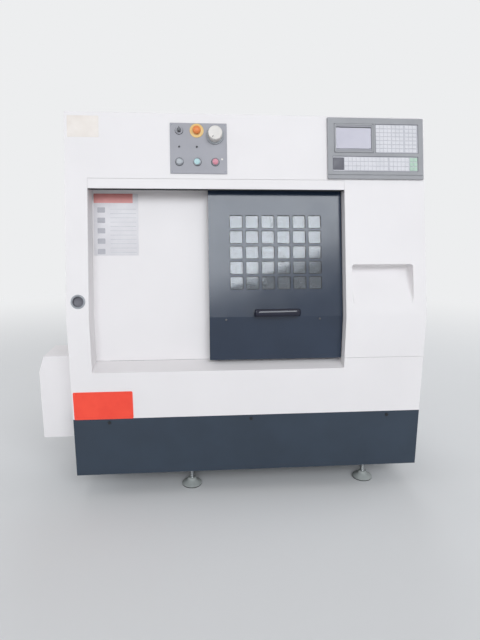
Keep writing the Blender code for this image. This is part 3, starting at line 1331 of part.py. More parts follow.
def make_drive():
    """Spindle motor on its foot, its pulley, and the belt round both pulleys."""
    machine = FRAMES["machine"]
    centre = (0.0, MOTOR_DEPTH, MOTOR_HEIGHT)
    left = MOTOR_RIGHT - MOTOR_LENGTH
    motor = new_object("spindle_motor", prism(rounded_outline(
        MOTOR_DEPTH - MOTOR_HALF_SIZE, MOTOR_HEIGHT - MOTOR_HALF_SIZE,
        MOTOR_DEPTH + MOTOR_HALF_SIZE, MOTOR_HEIGHT + MOTOR_HALF_SIZE, MOTOR_CORNER),
        left, MOTOR_RIGHT), "slate_enamel", machine)
    foot_right = MOTOR_RIGHT - MOTOR_FOOT_RIGHT_INSET
    foot = block((foot_right - MOTOR_FOOT_LENGTH, MOTOR_DEPTH - MOTOR_HALF_SIZE, SKIRT_TOP),
                 (foot_right, MOTOR_DEPTH + MOTOR_HALF_SIZE,
                  SKIRT_TOP + MOTOR_FOOT_HEIGHT + MOTOR_CORNER))
    cowl = round_bar(MOTOR_COWL_RADIUS, left - MOTOR_COWL_LENGTH, left + OVERRUN, "X", centre)
    shaft = round_bar(MOTOR_SHAFT_RADIUS, MOTOR_RIGHT - OVERRUN, PULLEY_RIGHT, "X", centre)
    tools = [new_object("tool", shape, parent=machine) for shape in (foot, cowl, shaft)]
    smooth(unite(motor, tools))
    motor_line = make_frame("motor_line", centre, parent=machine)
    make_pulley("motor_pulley", MOTOR_PULLEY_RADIUS, MOTOR_SHAFT_RADIUS, motor_line)

    low = Vector((MOTOR_DEPTH, MOTOR_HEIGHT))
    high = Vector((SPINDLE_DEPTH, SPINDLE_HEIGHT))
    span = high - low
    heading = math.atan2(span.y, span.x)
    lean_in = math.asin((SPINDLE_PULLEY_RADIUS - MOTOR_PULLEY_RADIUS) / span.length)
    shape = bmesh.new()
    loops = []
    steps = ROUND_STEPS // 2
    for grow in (SEAT_GAP, SEAT_GAP + BELT_THICKNESS):
        points = []
        for centre_point, radius, start, sweep in (
                (high, SPINDLE_PULLEY_RADIUS, heading - math.pi / 2 - lean_in,
                 math.pi + 2 * lean_in),
                (low, MOTOR_PULLEY_RADIUS, heading + math.pi / 2 + lean_in,
                 math.pi - 2 * lean_in)):
            for i in range(steps + 1):
                angle = start + sweep * i / steps
                ring = (radius + grow) / math.cos(sweep / steps / 2)
                points.append((centre_point.x + ring * math.cos(angle),
                               centre_point.y + ring * math.sin(angle)))
        loops.append(points)
    left_edge = PULLEY_LEFT + PULLEY_CHEEK + BELT_SIDE_GAP
    right_edge = PULLEY_RIGHT - PULLEY_CHEEK - BELT_SIDE_GAP
    rings = []
    for along, points in ((left_edge, loops[0]), (left_edge, loops[1]),
                          (right_edge, loops[1]), (right_edge, loops[0])):
        rings.append([shape.verts.new((along, depth, up)) for depth, up in points])
    for k in range(len(rings)):
        first, second = rings[k], rings[(k + 1) % len(rings)]
        for i in range(len(first)):
            j = (i + 1) % len(first)
            shape.faces.new((first[i], first[j], second[j], second[i]))
    smooth(new_object("spindle_belt", shape, "rubber", machine))


def make_rails():
    """Two profiled rails on the bed's face."""
    half = Z_RAIL_WIDTH / 2
    waist = Z_RAIL_WAIST / 2
    top = SEAT_GAP + Z_RAIL_HEIGHT
    neck = SEAT_GAP + Z_RAIL_HEIGHT * Z_RAIL_NECK_SHARE
    shoulder = SEAT_GAP + Z_RAIL_HEIGHT * Z_RAIL_SHOULDER_SHARE
    for name, side in (("z_rail_lower", -1), ("z_rail_upper", 1)):
        middle = side * Z_RAIL_OFFSET
        outline = [(middle - half, SEAT_GAP), (middle + half, SEAT_GAP),
                   (middle + waist, neck), (middle + half, shoulder), (middle + half, top),
                   (middle - half, top), (middle - half, shoulder), (middle - waist, neck)]
        new_object(name, prism(outline, Z_RAIL_LEFT, Z_RAIL_RIGHT), "ground_steel",
                   FRAMES["bed_plane"])


def servo(name, start, direction, axis, centre, parent, foot):
    """Square servo motor on its flange, with a foot block that carries it."""
    end = start + direction * SERVO_LENGTH
    low, high = min(start, end), max(start, end)
    half = SERVO_HALF_SIZE
    across, up = {"X": (centre[1], centre[2]), "Y": (centre[0], centre[2])}[axis]
    body = new_object(name, prism(rounded_outline(
        across - half, up - half, across + half, up + half, SERVO_CORNER), low, high, axis),
        "slate_enamel", parent)
    smooth(unite(body, [new_object("foot", foot, parent=parent)]))


def make_z_axis():
    """Saddle on the rails, its screw and its motor."""
    plane = FRAMES["bed_plane"]
    start = BED_RIGHT - SERVO_FLANGE
    foot = block((start, -SERVO_HALF_SIZE, SEAT_GAP),
                 (BED_RIGHT, SERVO_HALF_SIZE, Z_SCREW_HEIGHT + SERVO_HALF_SIZE))
    servo("z_motor", BED_RIGHT - SEAT_GAP, 1, "X", (0.0, 0.0, Z_SCREW_HEIGHT), plane, foot)
    screw_frame = make_frame("z_screw_line", (0.0, 0.0, Z_SCREW_HEIGHT), parent=plane)
    screw = round_bar(Z_SCREW_RADIUS, BEARING_BLOCK_LEFT - Z_SCREW_END_GAP,
                      start - SEAT_GAP, "X", (0.0, 0.0, 0.0))
    smooth(new_object("z_screw", screw, "ground_steel", screw_frame))

    outline = [(SADDLE_LOW, SADDLE_PLATE_TOP), (SADDLE_LOW, SADDLE_PLATE_BOTTOM)]
    slot = Z_RAIL_WIDTH / 2 + SLIDING_GAP
    leg = slot + CARRIAGE_LEG
    bearing = SEAT_GAP + Z_RAIL_HEIGHT + SLIDING_GAP
    for side in (-1, 1):
        middle = side * Z_RAIL_OFFSET
        outline += [(middle - leg, SADDLE_PLATE_BOTTOM), (middle - leg, CARRIAGE_BOTTOM),
                    (middle - slot, CARRIAGE_BOTTOM), (middle - slot, bearing),
                    (middle + slot, bearing), (middle + slot, CARRIAGE_BOTTOM),
                    (middle + leg, CARRIAGE_BOTTOM), (middle + leg, SADDLE_PLATE_BOTTOM)]
    outline += [(SADDLE_HIGH, SADDLE_PLATE_BOTTOM), (SADDLE_HIGH, SADDLE_PLATE_TOP)]
    saddle = new_object("saddle", prism(outline, SADDLE_LEFT, SADDLE_RIGHT), "cast_paint",
                        plane)
    ways = []
    for side in (-1, 1):
        middle = SADDLE_CENTRE + side * X_WAY_OFFSET
        way = block((middle - X_WAY_WIDTH / 2, SADDLE_LOW, SADDLE_PLATE_TOP - SHEET),
                    (middle + X_WAY_WIDTH / 2, SADDLE_HIGH, X_WAY_TOP))
        ways.append(new_object("way", way, parent=plane))
    unite(saddle, ways)
    bore = round_bar(Z_SCREW_RADIUS + SLIDING_GAP, SADDLE_LEFT - OVERRUN,
                     SADDLE_RIGHT + OVERRUN, "X", (0.0, 0.0, Z_SCREW_HEIGHT))
    smooth(cut(saddle, [new_object("bore", bore, parent=plane)]))


def make_x_axis():
    """Cross slide with its screw, motor and gang tools."""
    plane = FRAMES["bed_plane"]
    motor_start = SADDLE_HIGH + X_MOTOR_BRACKET
    foot = block((SADDLE_CENTRE - SERVO_HALF_SIZE, SADDLE_HIGH + SEAT_GAP,
                  SADDLE_PLATE_BOTTOM),
                 (SADDLE_CENTRE + SERVO_HALF_SIZE, motor_start + SERVO_CORNER,
                  X_SCREW_HEIGHT + SERVO_HALF_SIZE))
    servo("x_motor", motor_start, 1, "Y", (SADDLE_CENTRE, 0.0, X_SCREW_HEIGHT), plane, foot)
    screw_frame = make_frame("x_screw_line", (SADDLE_CENTRE, 0.0, X_SCREW_HEIGHT),
                             parent=plane)
    screw = round_bar(X_SCREW_RADIUS, SADDLE_LOW, SADDLE_HIGH, "Y", (0.0, 0.0, 0.0))
    smooth(new_object("x_screw", screw, "ground_steel", screw_frame))

    bottom = X_WAY_TOP + SLIDING_GAP
    keel = SADDLE_PLATE_TOP + SLIDE_KEEL_LIFT
    outline = [(SADDLE_CENTRE - SLIDE_HALF_WIDTH, SLIDE_TOP),
               (SADDLE_CENTRE - SLIDE_HALF_WIDTH, bottom),
               (SADDLE_CENTRE - SLIDE_KEEL_HALF_WIDTH, bottom),
               (SADDLE_CENTRE - SLIDE_KEEL_HALF_WIDTH, keel),
               (SADDLE_CENTRE + SLIDE_KEEL_HALF_WIDTH, keel),
               (SADDLE_CENTRE + SLIDE_KEEL_HALF_WIDTH, bottom),
               (SADDLE_CENTRE + SLIDE_HALF_WIDTH, bottom),
               (SADDLE_CENTRE + SLIDE_HALF_WIDTH, SLIDE_TOP)]
    slide = new_object("cross_slide", prism(outline, SLIDE_LOW, SLIDE_LOW + SLIDE_LENGTH, "Y"),
                       "ground_steel", plane)
    bore = round_bar(X_SCREW_RADIUS + SLIDING_GAP, SLIDE_LOW - OVERRUN,
                     SLIDE_LOW + SLIDE_LENGTH + OVERRUN, "Y",
                     (SADDLE_CENTRE, 0.0, X_SCREW_HEIGHT))
    smooth(cut(slide, [new_object("bore", bore, parent=plane)]))
    left = SADDLE_CENTRE - SLIDE_HALF_WIDTH
    for i in range(TOOL_COUNT):
        middle = TOOL_FIRST + i * TOOL_PITCH
        holder = new_object("tool_block_%d" % (i + 1), block(
            (left, middle - TOOL_BLOCK_WIDTH / 2, SLIDE_TOP + SEAT_GAP),
            (left + TOOL_BLOCK_LENGTH, middle + TOOL_BLOCK_WIDTH / 2, TOOL_BLOCK_TOP)),
            "dark_steel", plane)
        soften(holder, TOOL_EDGE, 1)
        low = CENTRE_HEIGHT - TOOL_SHANK
        tip = left - TOOL_REACH
        half = TOOL_SHANK / 2
        outline = [(left + OVERRUN, middle - half), (left + OVERRUN, middle + half),
                   (tip + half, middle + half), (tip, middle - half)]
        shank = prism(outline, low, CENTRE_HEIGHT, "Z")
        unite(holder, [new_object("shank", shank, parent=plane)])


def make_coolant_parts():
    """Chip tray with its strainer, the tank hung in the base, and the pump."""
    machine = FRAMES["machine"]
    lip = FIXED_BACK + SEAT_GAP
    heel = BED_FRONT - SEAT_GAP
    floor = SKIRT_TOP + TRAY_FLOOR_ABOVE_SKIRT
    floor_front = lip + (heel - lip) * TRAY_FLOOR_FRONT_SHARE
    floor_back = lip + (heel - lip) * TRAY_FLOOR_BACK_SHARE
    run = [(lip, SILL_HEIGHT + TRAY_LIP_ABOVE_SILL), (lip, SILL_HEIGHT + TRAY_BEND_ABOVE_SILL),
           (floor_front, floor), (floor_back, floor),
           (heel, BED_CHEEK_HEIGHT - TRAY_BELOW_CHEEK)]
    tray = new_object("chip_tray", prism(strip_outline(run, SHEET), TRAY_LEFT, TRAY_RIGHT),
                      "zinc", machine)
    ends = []
    plate = run[1:]
    for start in (TRAY_LEFT, TRAY_RIGHT - SHEET):
        ends.append(new_object("end", prism(plate, start, start + SHEET), parent=machine))
    unite(tray, ends)
    slots = []
    pitch = (TRAY_RIGHT - TRAY_LEFT) / TRAY_SLOT_COUNT
    middle = (floor_front + floor_back) / 2
    for i in range(TRAY_SLOT_COUNT):
        across = TRAY_LEFT + pitch / 2 + i * pitch
        slots.append(new_object("slot", block(
            (across - TRAY_SLOT_LENGTH / 2, middle - TRAY_SLOT_WIDTH / 2, floor - OVERRUN),
            (across + TRAY_SLOT_LENGTH / 2, middle + TRAY_SLOT_WIDTH / 2, floor + OVERRUN)),
            parent=machine))
    cut(tray, slots)

    left, right = BAY_LEFT + TANK_WALL_GAP, BAY_RIGHT - TANK_WALL_GAP
    front, back = BAY_FRONT + TANK_WALL_GAP, BAY_BACK - TANK_WALL_GAP
    rim_height = SKIRT_TOP + SHEET
    shape = bmesh.new()
    rings = []
    for grow, up in ((0.0, rim_height - TANK_DEPTH), (0.0, rim_height),
                     (TANK_RIM, rim_height)):
        rings.append([shape.verts.new(point) for point in (
            (left - grow, front - grow, up), (right + grow, front - grow, up),
            (right + grow, back + grow, up), (left - grow, back + grow, up))])
    shape.faces.new(rings[0])
    for lower, upper in zip(rings, rings[1:]):
        for i in range(4):
            j = (i + 1) % 4
            shape.faces.new((lower[j], lower[i], upper[i], upper[j]))
    thicken("coolant_tank", shape, SHEET, "slate_enamel", machine)

    plate_low = rim_height + SEAT_GAP
    plate_top = plate_low + PUMP_PLATE_THICKNESS
    across = BAY_RIGHT - PUMP_FROM_RIGHT
    depth = (BAY_FRONT + BAY_BACK) / 2
    pump = new_object("coolant_pump", block(
        (across - PUMP_PLATE_WIDTH / 2, front - TANK_RIM, plate_low),
        (across + PUMP_PLATE_WIDTH / 2, back + TANK_RIM, plate_top)), "dark_steel", machine)
    cap = plate_top + PUMP_MOTOR_HEIGHT
    profile = [(plate_low - PUMP_TUBE_DROP, PUMP_TUBE_RADIUS),
               (plate_low + PUMP_PLATE_THICKNESS / 2, PUMP_TUBE_RADIUS),
               (plate_low + PUMP_PLATE_THICKNESS / 2, PUMP_MOTOR_RADIUS),
               (cap, PUMP_MOTOR_RADIUS), (cap + PUMP_CAP_HEIGHT, PUMP_TUBE_RADIUS)]
    body = new_object("body", turned(profile, "Z", centre=(across, depth, 0.0)),
                      parent=machine)
    smooth(unite(pump, [body]))


def make_splash_and_lamp():
    """Splash panel round the spindle nose, and the lamp above the doorway."""
    machine = FRAMES["machine"]
    depth = FIXED_BACK + SEAT_GAP
    foot = profile_point(0, SILL_LEVEL + SPLASH_ABOVE_SILL, depth)
    crease = profile_point(0, 0, depth)
    top = profile_point(0, RECESS_TOP + SPLASH_ABOVE_HEADER, depth)
    low = bed_point(BED_FACE_LOW, SEAT_GAP)
    high = bed_point(BED_FACE_HIGH, SEAT_GAP)
    cheek = (BED_FRONT - SEAT_GAP, BED_CHEEK_HEIGHT)
    outline = [(foot.y, foot.z), (cheek[0], cheek[1] - SPLASH_BELOW_CHEEK), cheek, low, high,
               (high[0], CABINET_TOP - SPLASH_BELOW_ROOF), (top.y, top.z), (crease.y, crease.z)]
    panel = new_object("left_splash_panel", prism(outline, SPLASH_RIGHT - SHEET, SPLASH_RIGHT),
                       "zinc", machine)
    hole = round_bar(SPLASH_HOLE_RADIUS, SPLASH_RIGHT - OVERRUN, SPLASH_RIGHT + OVERRUN, "X",
                     (0.0, SPINDLE_DEPTH, SPINDLE_HEIGHT), FINE_STEPS)
    cut(panel, [new_object("hole", hole, parent=machine)])
    lamp_low = RECESS_TOP - LAMP_BELOW_HEADER
    lamp = new_object("work_lamp", block(
        (LAMP_HOUSING_LEFT, depth, lamp_low),
        (LAMP_HOUSING_LEFT + LAMP_HOUSING_LENGTH, depth + LAMP_HOUSING_DEPTH,
         lamp_low + LAMP_HOUSING_HEIGHT)),
        "lamp_lens", FRAMES["upper_front"])
    soften(lamp, LAMP_HOUSING_EDGE, 2)


def make_electrical_cabinet():
    """Shallow cabinet on the back, and its door with two lock bosses on two barrel hinges."""
    machine = FRAMES["machine"]
    shape = block((ELECTRIC_LEFT, ELECTRIC_FRONT, ELECTRIC_BOTTOM),
                  (ELECTRIC_RIGHT, ELECTRIC_BACK, ELECTRIC_TOP))
    bmesh.ops.recalc_face_normals(shape, faces=shape.faces[:])
    mouth = [face for face in shape.faces if face.normal.y > FACING_SHARE]
    bmesh.ops.delete(shape, geom=mouth, context="FACES_ONLY")
    case = thicken("electrical_cabinet", shape, SHEET, "white_enamel", machine)

    hinge_across = ELECTRIC_RIGHT + SEAT_GAP + HINGE_RADIUS
    hinge_depth = DOOR_PLANE - SEAT_GAP / 2
    hinge_line = make_frame("electrical_hinge", (hinge_across, hinge_depth, 0.0),
                            parent=machine)
    lid = block((ELECTRIC_LEFT, DOOR_PLANE, ELECTRIC_BOTTOM),
                (ELECTRIC_RIGHT, LID_END, ELECTRIC_TOP))
    lid.transform(Matrix.Translation((-hinge_across, -hinge_depth, 0.0)))
    bmesh.ops.recalc_face_normals(lid, faces=lid.faces[:])
    mouth = [face for face in lid.faces if face.normal.y < -FACING_SHARE]
    bmesh.ops.delete(lid, geom=mouth, context="FACES_ONLY")
    door = thicken("electrical_door", lid, SHEET, "white_enamel", hinge_line)
    lock_across = ELECTRIC_LEFT + LOCK_FROM_EDGE - hinge_across
    lock_root = LID_END - SHEET / 2 - hinge_depth
    lock_end = REAR_END - hinge_depth
    locks = []
    for share in LOCK_HEIGHT_SHARES:
        centre = (lock_across, 0.0, ELECTRIC_BOTTOM + ELECTRIC_HEIGHT * share)
        profile = [(lock_root, LOCK_RADIUS), (lock_end - LOCK_EDGE, LOCK_RADIUS),
                   (lock_end, LOCK_RADIUS - LOCK_EDGE)]
        locks.append(new_object("lock", turned(profile, "Y", ROUND_STEPS, centre),
                                parent=hinge_line))
    unite(door, locks)
    reach = HINGE_RADIUS + SEAT_GAP + SHEET / 2
    for owner, side, lift in ((case, -1, 0), (door, 1, HINGE_LENGTH + HINGE_GAP)):
        knuckles = []
        leaf = sorted((side * HINGE_LEAF_FROM, side * HINGE_LEAF_TO))
        for low in (ELECTRIC_BOTTOM + HINGE_FROM_END,
                    ELECTRIC_TOP - HINGE_FROM_END - 2 * HINGE_LENGTH):
            start = low + lift
            end = start + HINGE_LENGTH
            knuckles.append(new_object("knuckle", round_bar(
                HINGE_RADIUS, start, end, "Z", (0.0, 0.0, 0.0), COARSE_STEPS),
                parent=hinge_line))
            knuckles.append(new_object("leaf", block(
                (-reach, leaf[0], start + HINGE_GAP), (0.0, leaf[1], end - HINGE_GAP)),
                parent=hinge_line))
        smooth(unite(owner, knuckles))


def main():
    clear_scene()
    machine = make_frame("machine", (-BOX_CENTRE_ACROSS, -BOX_CENTRE_DEPTH, 0.0))
    make_frame("upper_front", (0.0, 0.0, CREASE_HEIGHT), -LEAN, machine)
    root = bed_point(0, 0)
    make_frame("bed_plane", (0.0, root[0], root[1]), BED_SLANT, machine)
    bpy.context.view_layer.update()
    make_base()
    make_front_cover()
    make_rail_cover()
    make_fixed_panel()
    make_door()
    make_door_rail()
    make_control_unit()
    make_button_panel()
    make_tag()
    make_enclosure()
    make_motor_cover()
    make_bed()
    make_headstock()
    make_spindle()
    make_drive()
    make_rails()
    make_z_axis()
    make_x_axis()
    make_coolant_parts()
    make_splash_and_lamp()
    make_electrical_cabinet()


main()
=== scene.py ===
"""Looks of a slant-bed turning lathe: its finishes, fasteners, controls, inside works and studio.

Metres in the CAD frame: +Z up, the operator's side faces -Y. The front is one folded profile, upright
up to a crease and leaning back above it. "Across" runs along the front from its middle, "level" is a
distance up the front from the crease, "depth" runs back from the front and "proud" stands out of it.
"""

from __future__ import annotations

import json
import logging
import math
from collections.abc import Callable, Mapping, Sequence
from dataclasses import dataclass, fields
from enum import Enum

import bmesh
import bpy
from mathutils import Matrix, Vector

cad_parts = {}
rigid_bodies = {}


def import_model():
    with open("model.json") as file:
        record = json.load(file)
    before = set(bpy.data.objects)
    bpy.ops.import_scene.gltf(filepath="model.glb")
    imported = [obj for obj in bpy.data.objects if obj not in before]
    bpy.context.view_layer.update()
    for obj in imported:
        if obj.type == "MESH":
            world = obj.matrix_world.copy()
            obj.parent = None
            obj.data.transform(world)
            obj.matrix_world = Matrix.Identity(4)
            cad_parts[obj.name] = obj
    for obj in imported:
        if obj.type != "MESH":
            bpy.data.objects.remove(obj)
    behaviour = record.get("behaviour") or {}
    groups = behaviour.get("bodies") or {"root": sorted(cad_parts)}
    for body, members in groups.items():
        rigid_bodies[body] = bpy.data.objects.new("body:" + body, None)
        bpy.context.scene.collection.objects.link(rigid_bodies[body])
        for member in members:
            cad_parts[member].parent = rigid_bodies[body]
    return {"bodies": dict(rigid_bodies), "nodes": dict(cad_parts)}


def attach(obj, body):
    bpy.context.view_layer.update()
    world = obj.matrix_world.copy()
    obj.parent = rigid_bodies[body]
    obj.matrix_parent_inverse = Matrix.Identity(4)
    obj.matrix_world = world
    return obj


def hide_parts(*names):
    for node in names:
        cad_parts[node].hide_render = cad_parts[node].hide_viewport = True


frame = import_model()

log = logging.getLogger("lathe")
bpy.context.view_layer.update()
MILLIMETRE = 0.001
FULL_TURN = 2 * math.pi
QUARTER_TURN = math.pi / 2
SAME_PLACE = 0.00001
FEW_STEPS = 20
SMALL_STEPS = 24
HEAD_STEPS = 32
ROUND_STEPS = 40
RIM_STEPS = 48
WHEEL_STEPS = 64
FLAT_ANGLE = math.radians(0.3)
NODE_CREASE = math.radians(32)
PIECE_CREASE = math.radians(38)
BEND_ANGLE = math.radians(40)
MACHINE = "machine"
SPINDLE_LINE = (-0.1409, 1.030)

# Sizes hold what block or louvre takes, in that order. A Section holds pairs of inset and height for
# a plate, or of radius and height for a turned shape.
Pair = tuple[float, float]
Place = Sequence[float]
Sizes = tuple[float, ...]
Section = Sequence[Pair]
Solid = bmesh.types.BMesh
Part = tuple[bmesh.types.BMesh, "Finish"]
Reach = float | Callable[[float], float]
Tree = bpy.types.NodeTree
Socket = bpy.types.NodeSocket
Sockets = bpy.types.NodeOutputs


def linear(code: str) -> tuple[float, float, float, float]:
    """Turns an sRGB hex colour into the linear colour that a shader takes.

    Args:
        code: Six hex digits, red, green and blue.

    Returns:
        Linear red, green, blue and an alpha of 1.
    """
    shares = [int(code[index:index + 2], 16) / 255 for index in (0, 2, 4)]
    red, green, blue = (s / 12.92 if s <= 0.04045 else ((s + 0.055) / 1.055) ** 2.4 for s in shares)
    return (red, green, blue, 1.0)


def add_node(
    tree: Tree,
    kind: str,
    settings: Mapping[str | int, object] | None = None,
    links: Mapping[str | int, Socket] | None = None,
) -> bpy.types.Node:
    """Adds a node with its settings and its incoming links.

    Args:
        tree: The shader or geometry tree that gets the node.
        kind: Blender's name of the node type.
        settings: Values by property name, or by input name or number.
        links: Output sockets of other nodes, by the input that each one feeds.

    Returns:
        The new node.
    """
    node = tree.nodes.new(kind)
    for key, value in (settings or {}).items():
        if isinstance(key, int) or key in node.inputs:
            node.inputs[key].default_value = value
        else:
            setattr(node, key, value)
    for key, socket in (links or {}).items():
        tree.links.new(socket, node.inputs[key])
    return node


def maths(tree: Tree, operation: str, first: Socket | float, second: Socket) -> Socket:
    """Adds a node that works out one value from two.

    Args:
        tree: The tree that gets the node.
        operation: Blender's name of the operation.
        first: A socket or a fixed number.
        second: A socket.

    Returns:
        The result's socket.
    """
    fixed = {0: first} if isinstance(first, float) else {}
    fed = {1: second} if fixed else {0: first, 1: second}
    return add_node(tree, "ShaderNodeMath", {"operation": operation} | fixed, fed).outputs[0]


def ramp(tree: Tree, value: Socket, window: Pair, span: Pair = (0.0, 1.0)) -> Socket:
    """Stretches a window of a value over a span.

    Args:
        tree: The material's tree.
        value: The value that is stretched.
        window: The values that land on the ends of the span.
        span: What comes out at the ends of the window.

    Returns:
        The stretched value's socket.
    """
    ends = {"From Min": window[0], "From Max": window[1], "To Min": span[0], "To Max": span[1]}
    return add_node(tree, "ShaderNodeMapRange", ends, {"Value": value}).outputs[0]


def noise(tree: Tree, place: Socket, size_mm: float, detail: float, roughness: float = 0.5) -> Socket:
    """Adds cloudy noise.

    Args:
        tree: The material's tree.
        place: The coordinates that it is drawn on.
        size_mm: Size of its clouds.
        detail: How many finer layers it has.
        roughness: How strong the finer layers are.

    Returns:
        The noise's socket.
    """
    look = {"Scale": 1 / (size_mm * MILLIMETRE), "Detail": detail, "Roughness": roughness}
    return add_node(tree, "ShaderNodeTexNoise", look, {"Vector": place}).outputs[0]


class Grain(Enum):
    """How a surface was made, which sets the relief that it shows."""

    SMOOTH = "polished or rolled flat"
    ORANGE_PEEL = "sprayed and stoved"
    CAST = "poured in sand and painted"
    MOULDED = "moulded in a spark-eroded tool"
    BRUSHED = "ground or brushed along one direction"
    TURNED = "turned, with fine rings"


@dataclass(frozen=True)
class Finish:
    """A real surface: its colour and how far that drifts, its gloss and its relief."""

    name: str
    slot: str
    colour: str
    drift: str
    roughness: float
    grain: Grain = Grain.SMOOTH
    grain_mm: float = 3.0
    depth_mm: float = 0.02
    patch_mm: float = 260.0
    patch_window: Pair = (0.35, 0.7)
    gloss_spread: float = 0.05
    smear_share: float = 1 / 3
    smear_window: Pair = (0.3, 0.7)
    least_roughness: float = 0.02
    metallic: float = 0.0
    ior: float = 1.5
    coat: float = 0.0
    transmission: float = 0.0
    worn: str = ""
    worn_edge_mm: float = 1.6
    edge_window: Pair = (0.97, 0.80)
    chip_mm: float = 9.0
    chip_window: Pair = (0.50, 0.62)
    axis: str = "X"
    stretch: float = 0.04
    centre: tuple[float, float, float] = (0.0, 0.0, 0.0)

    def material(self) -> bpy.types.Material:
        """Builds the finish as a node material, or gives the one already built.

        Returns:
            The material.
        """
        made = bpy.data.materials.get(self.name)
        if made:
            return made
        made = bpy.data.materials.new(self.name)
        made.use_nodes = True
        tree = made.node_tree
        tree.nodes.clear()
        place = add_node(tree, "ShaderNodeTexCoord").outputs["Object"]
        shift = {"Location": [-value for value in self.centre]}
        centred = add_node(tree, "ShaderNodeMapping", shift, {"Vector": place}).outputs["Vector"]
        settings = {"Metallic": self.metallic, "Transmission Weight": self.transmission}
        if not self.metallic:
            settings["IOR"] = self.ior
        if self.coat:
            settings["Coat Weight"] = self.coat
        links = {"Base Color": self._tone(tree, centred), "Roughness": self._gloss(tree, centred)}
        if self.grain is not Grain.SMOOTH:
            depth = {"Strength": 1.0, "Distance": self.depth_mm * MILLIMETRE}
            bump = add_node(tree, "ShaderNodeBump", depth, {"Height": self._relief(tree, centred)})
            links["Normal"] = bump.outputs["Normal"]
        shader = add_node(tree, "ShaderNodeBsdfPrincipled", settings, links)
        add_node(tree, "ShaderNodeOutputMaterial", {}, {"Surface": shader.outputs["BSDF"]})
        return made

    def _tone(self, tree: Tree, place: Socket) -> Socket:
        """Mixes the colour with its drift in soft patches, and with the ground coat on worn edges.

        Args:
            tree: The material's tree.
            place: The coordinates that the patches are drawn on.

        Returns:
            The colour socket.
        """
        share = ramp(tree, noise(tree, place, self.patch_mm, 3.0, 0.6), self.patch_window)
        pair = {"data_type": "RGBA", 6: linear(self.colour), 7: linear(self.drift)}
        tone = add_node(tree, "ShaderNodeMix", pair, {0: share}).outputs[2]
        if not self.worn:
            return tone
        edge = {"samples": 4, "Radius": self.worn_edge_mm * MILLIMETRE}
        rounded = add_node(tree, "ShaderNodeBevel", edge).outputs["Normal"]
        flat = add_node(tree, "ShaderNodeNewGeometry").outputs["Normal"]
        dot = {"operation": "DOT_PRODUCT"}
        agree = add_node(tree, "ShaderNodeVectorMath", dot, {0: rounded, 1: flat}).outputs["Value"]
        chips = ramp(tree, noise(tree, place, self.chip_mm, 4.0), self.chip_window)
        rubbed = maths(tree, "MULTIPLY", ramp(tree, agree, self.edge_window), chips)
        bare = {"data_type": "RGBA", 7: linear(self.worn)}
        return add_node(tree, "ShaderNodeMix", bare, {0: rubbed, 6: tone}).outputs[2]

    def _gloss(self, tree: Tree, place: Socket) -> Socket:
        """Varies the roughness in smears smaller than the colour patches.

        Args:
            tree: The material's tree.
            place: The coordinates that the smears are drawn on.

        Returns:
            The roughness socket.
        """
        smears = noise(tree, place, self.patch_mm * self.smear_share, 4.0)
        smoothest = max(self.roughness - self.gloss_spread, self.least_roughness)
        roughest = min(self.roughness + self.gloss_spread, 1.0)
        return ramp(tree, smears, self.smear_window, (smoothest, roughest))

    def _relief(self, tree: Tree, place: Socket) -> Socket:
        """Gives the height pattern of the grain.

        Args:
            tree: The material's tree.
            place: The coordinates that the grain is drawn on.

        Returns:
            A height socket, from 0 to 1.
        """
        fine = 1 / (self.grain_mm * MILLIMETRE)
        if self.grain is Grain.MOULDED:
            pits = {"feature": "SMOOTH_F1", "Scale": fine}
            return add_node(tree, "ShaderNodeTexVoronoi", pits, {"Vector": place}).outputs["Distance"]
        if self.grain is Grain.TURNED:
            rings = {"wave_type": "RINGS", "rings_direction": self.axis, "Scale": fine / FULL_TURN}
            rings |= {"Distortion": 0.4, "Detail": 1.0}
            return add_node(tree, "ShaderNodeTexWave", rings, {"Vector": place}).outputs["Fac"]
        if self.grain is Grain.BRUSHED:
            along = {"Scale": [self.stretch if letter == self.axis else 1.0 for letter in "XYZ"]}
            place = add_node(tree, "ShaderNodeMapping", along, {"Vector": place}).outputs[0]
        detail = {Grain.CAST: 8.0, Grain.BRUSHED: 3.0}.get(self.grain, 1.0)
        return noise(tree, place, self.grain_mm, detail, 0.6)


# Polyester powder coat, stoved: even and pale, half gloss, with a faint peel that softens highlights.
# The peel is drawn at 4 mm, coarser than the real 1 mm, so that it shows at all.
WHITE_COAT = Finish(
    "White polyester powder coat", "white_enamel", "E6E3E4", "E3E0E1", 0.6,
    grain=Grain.ORANGE_PEEL, grain_mm=4.0, depth_mm=0.03, patch_mm=420.0, gloss_spread=0.03,
)
# Two-pack polyurethane enamel on the door: deep blue grey and glossy, so that it darkens where it
# sees the floor and brightens where it sees the sky, chipped to primer on its edges.
DOOR_ENAMEL = Finish(
    "Slate two-pack enamel", "slate_enamel", "232F41", "273447", 0.17,
    grain=Grain.ORANGE_PEEL, grain_mm=9.0, depth_mm=0.015, patch_mm=300.0, gloss_spread=0.03,
    worn="6F7680",
)
# The same enamel on the base, duller from coolant and boots.
BASE_ENAMEL = Finish(
    "Slate enamel on the base", "slate_enamel", "2C3948", "263240", 0.42,
    grain=Grain.ORANGE_PEEL, grain_mm=5.0, depth_mm=0.05, patch_mm=240.0, worn="6C747C",
)
# Fine grey enamel of the control plates: flat and satin, cooler towards one side.
PANEL_GREY = Finish(
    "Satin grey panel enamel", "grey_enamel", "98989F", "95959C", 0.45,
    grain=Grain.ORANGE_PEEL, grain_mm=2.0, depth_mm=0.015, patch_mm=120.0,
)
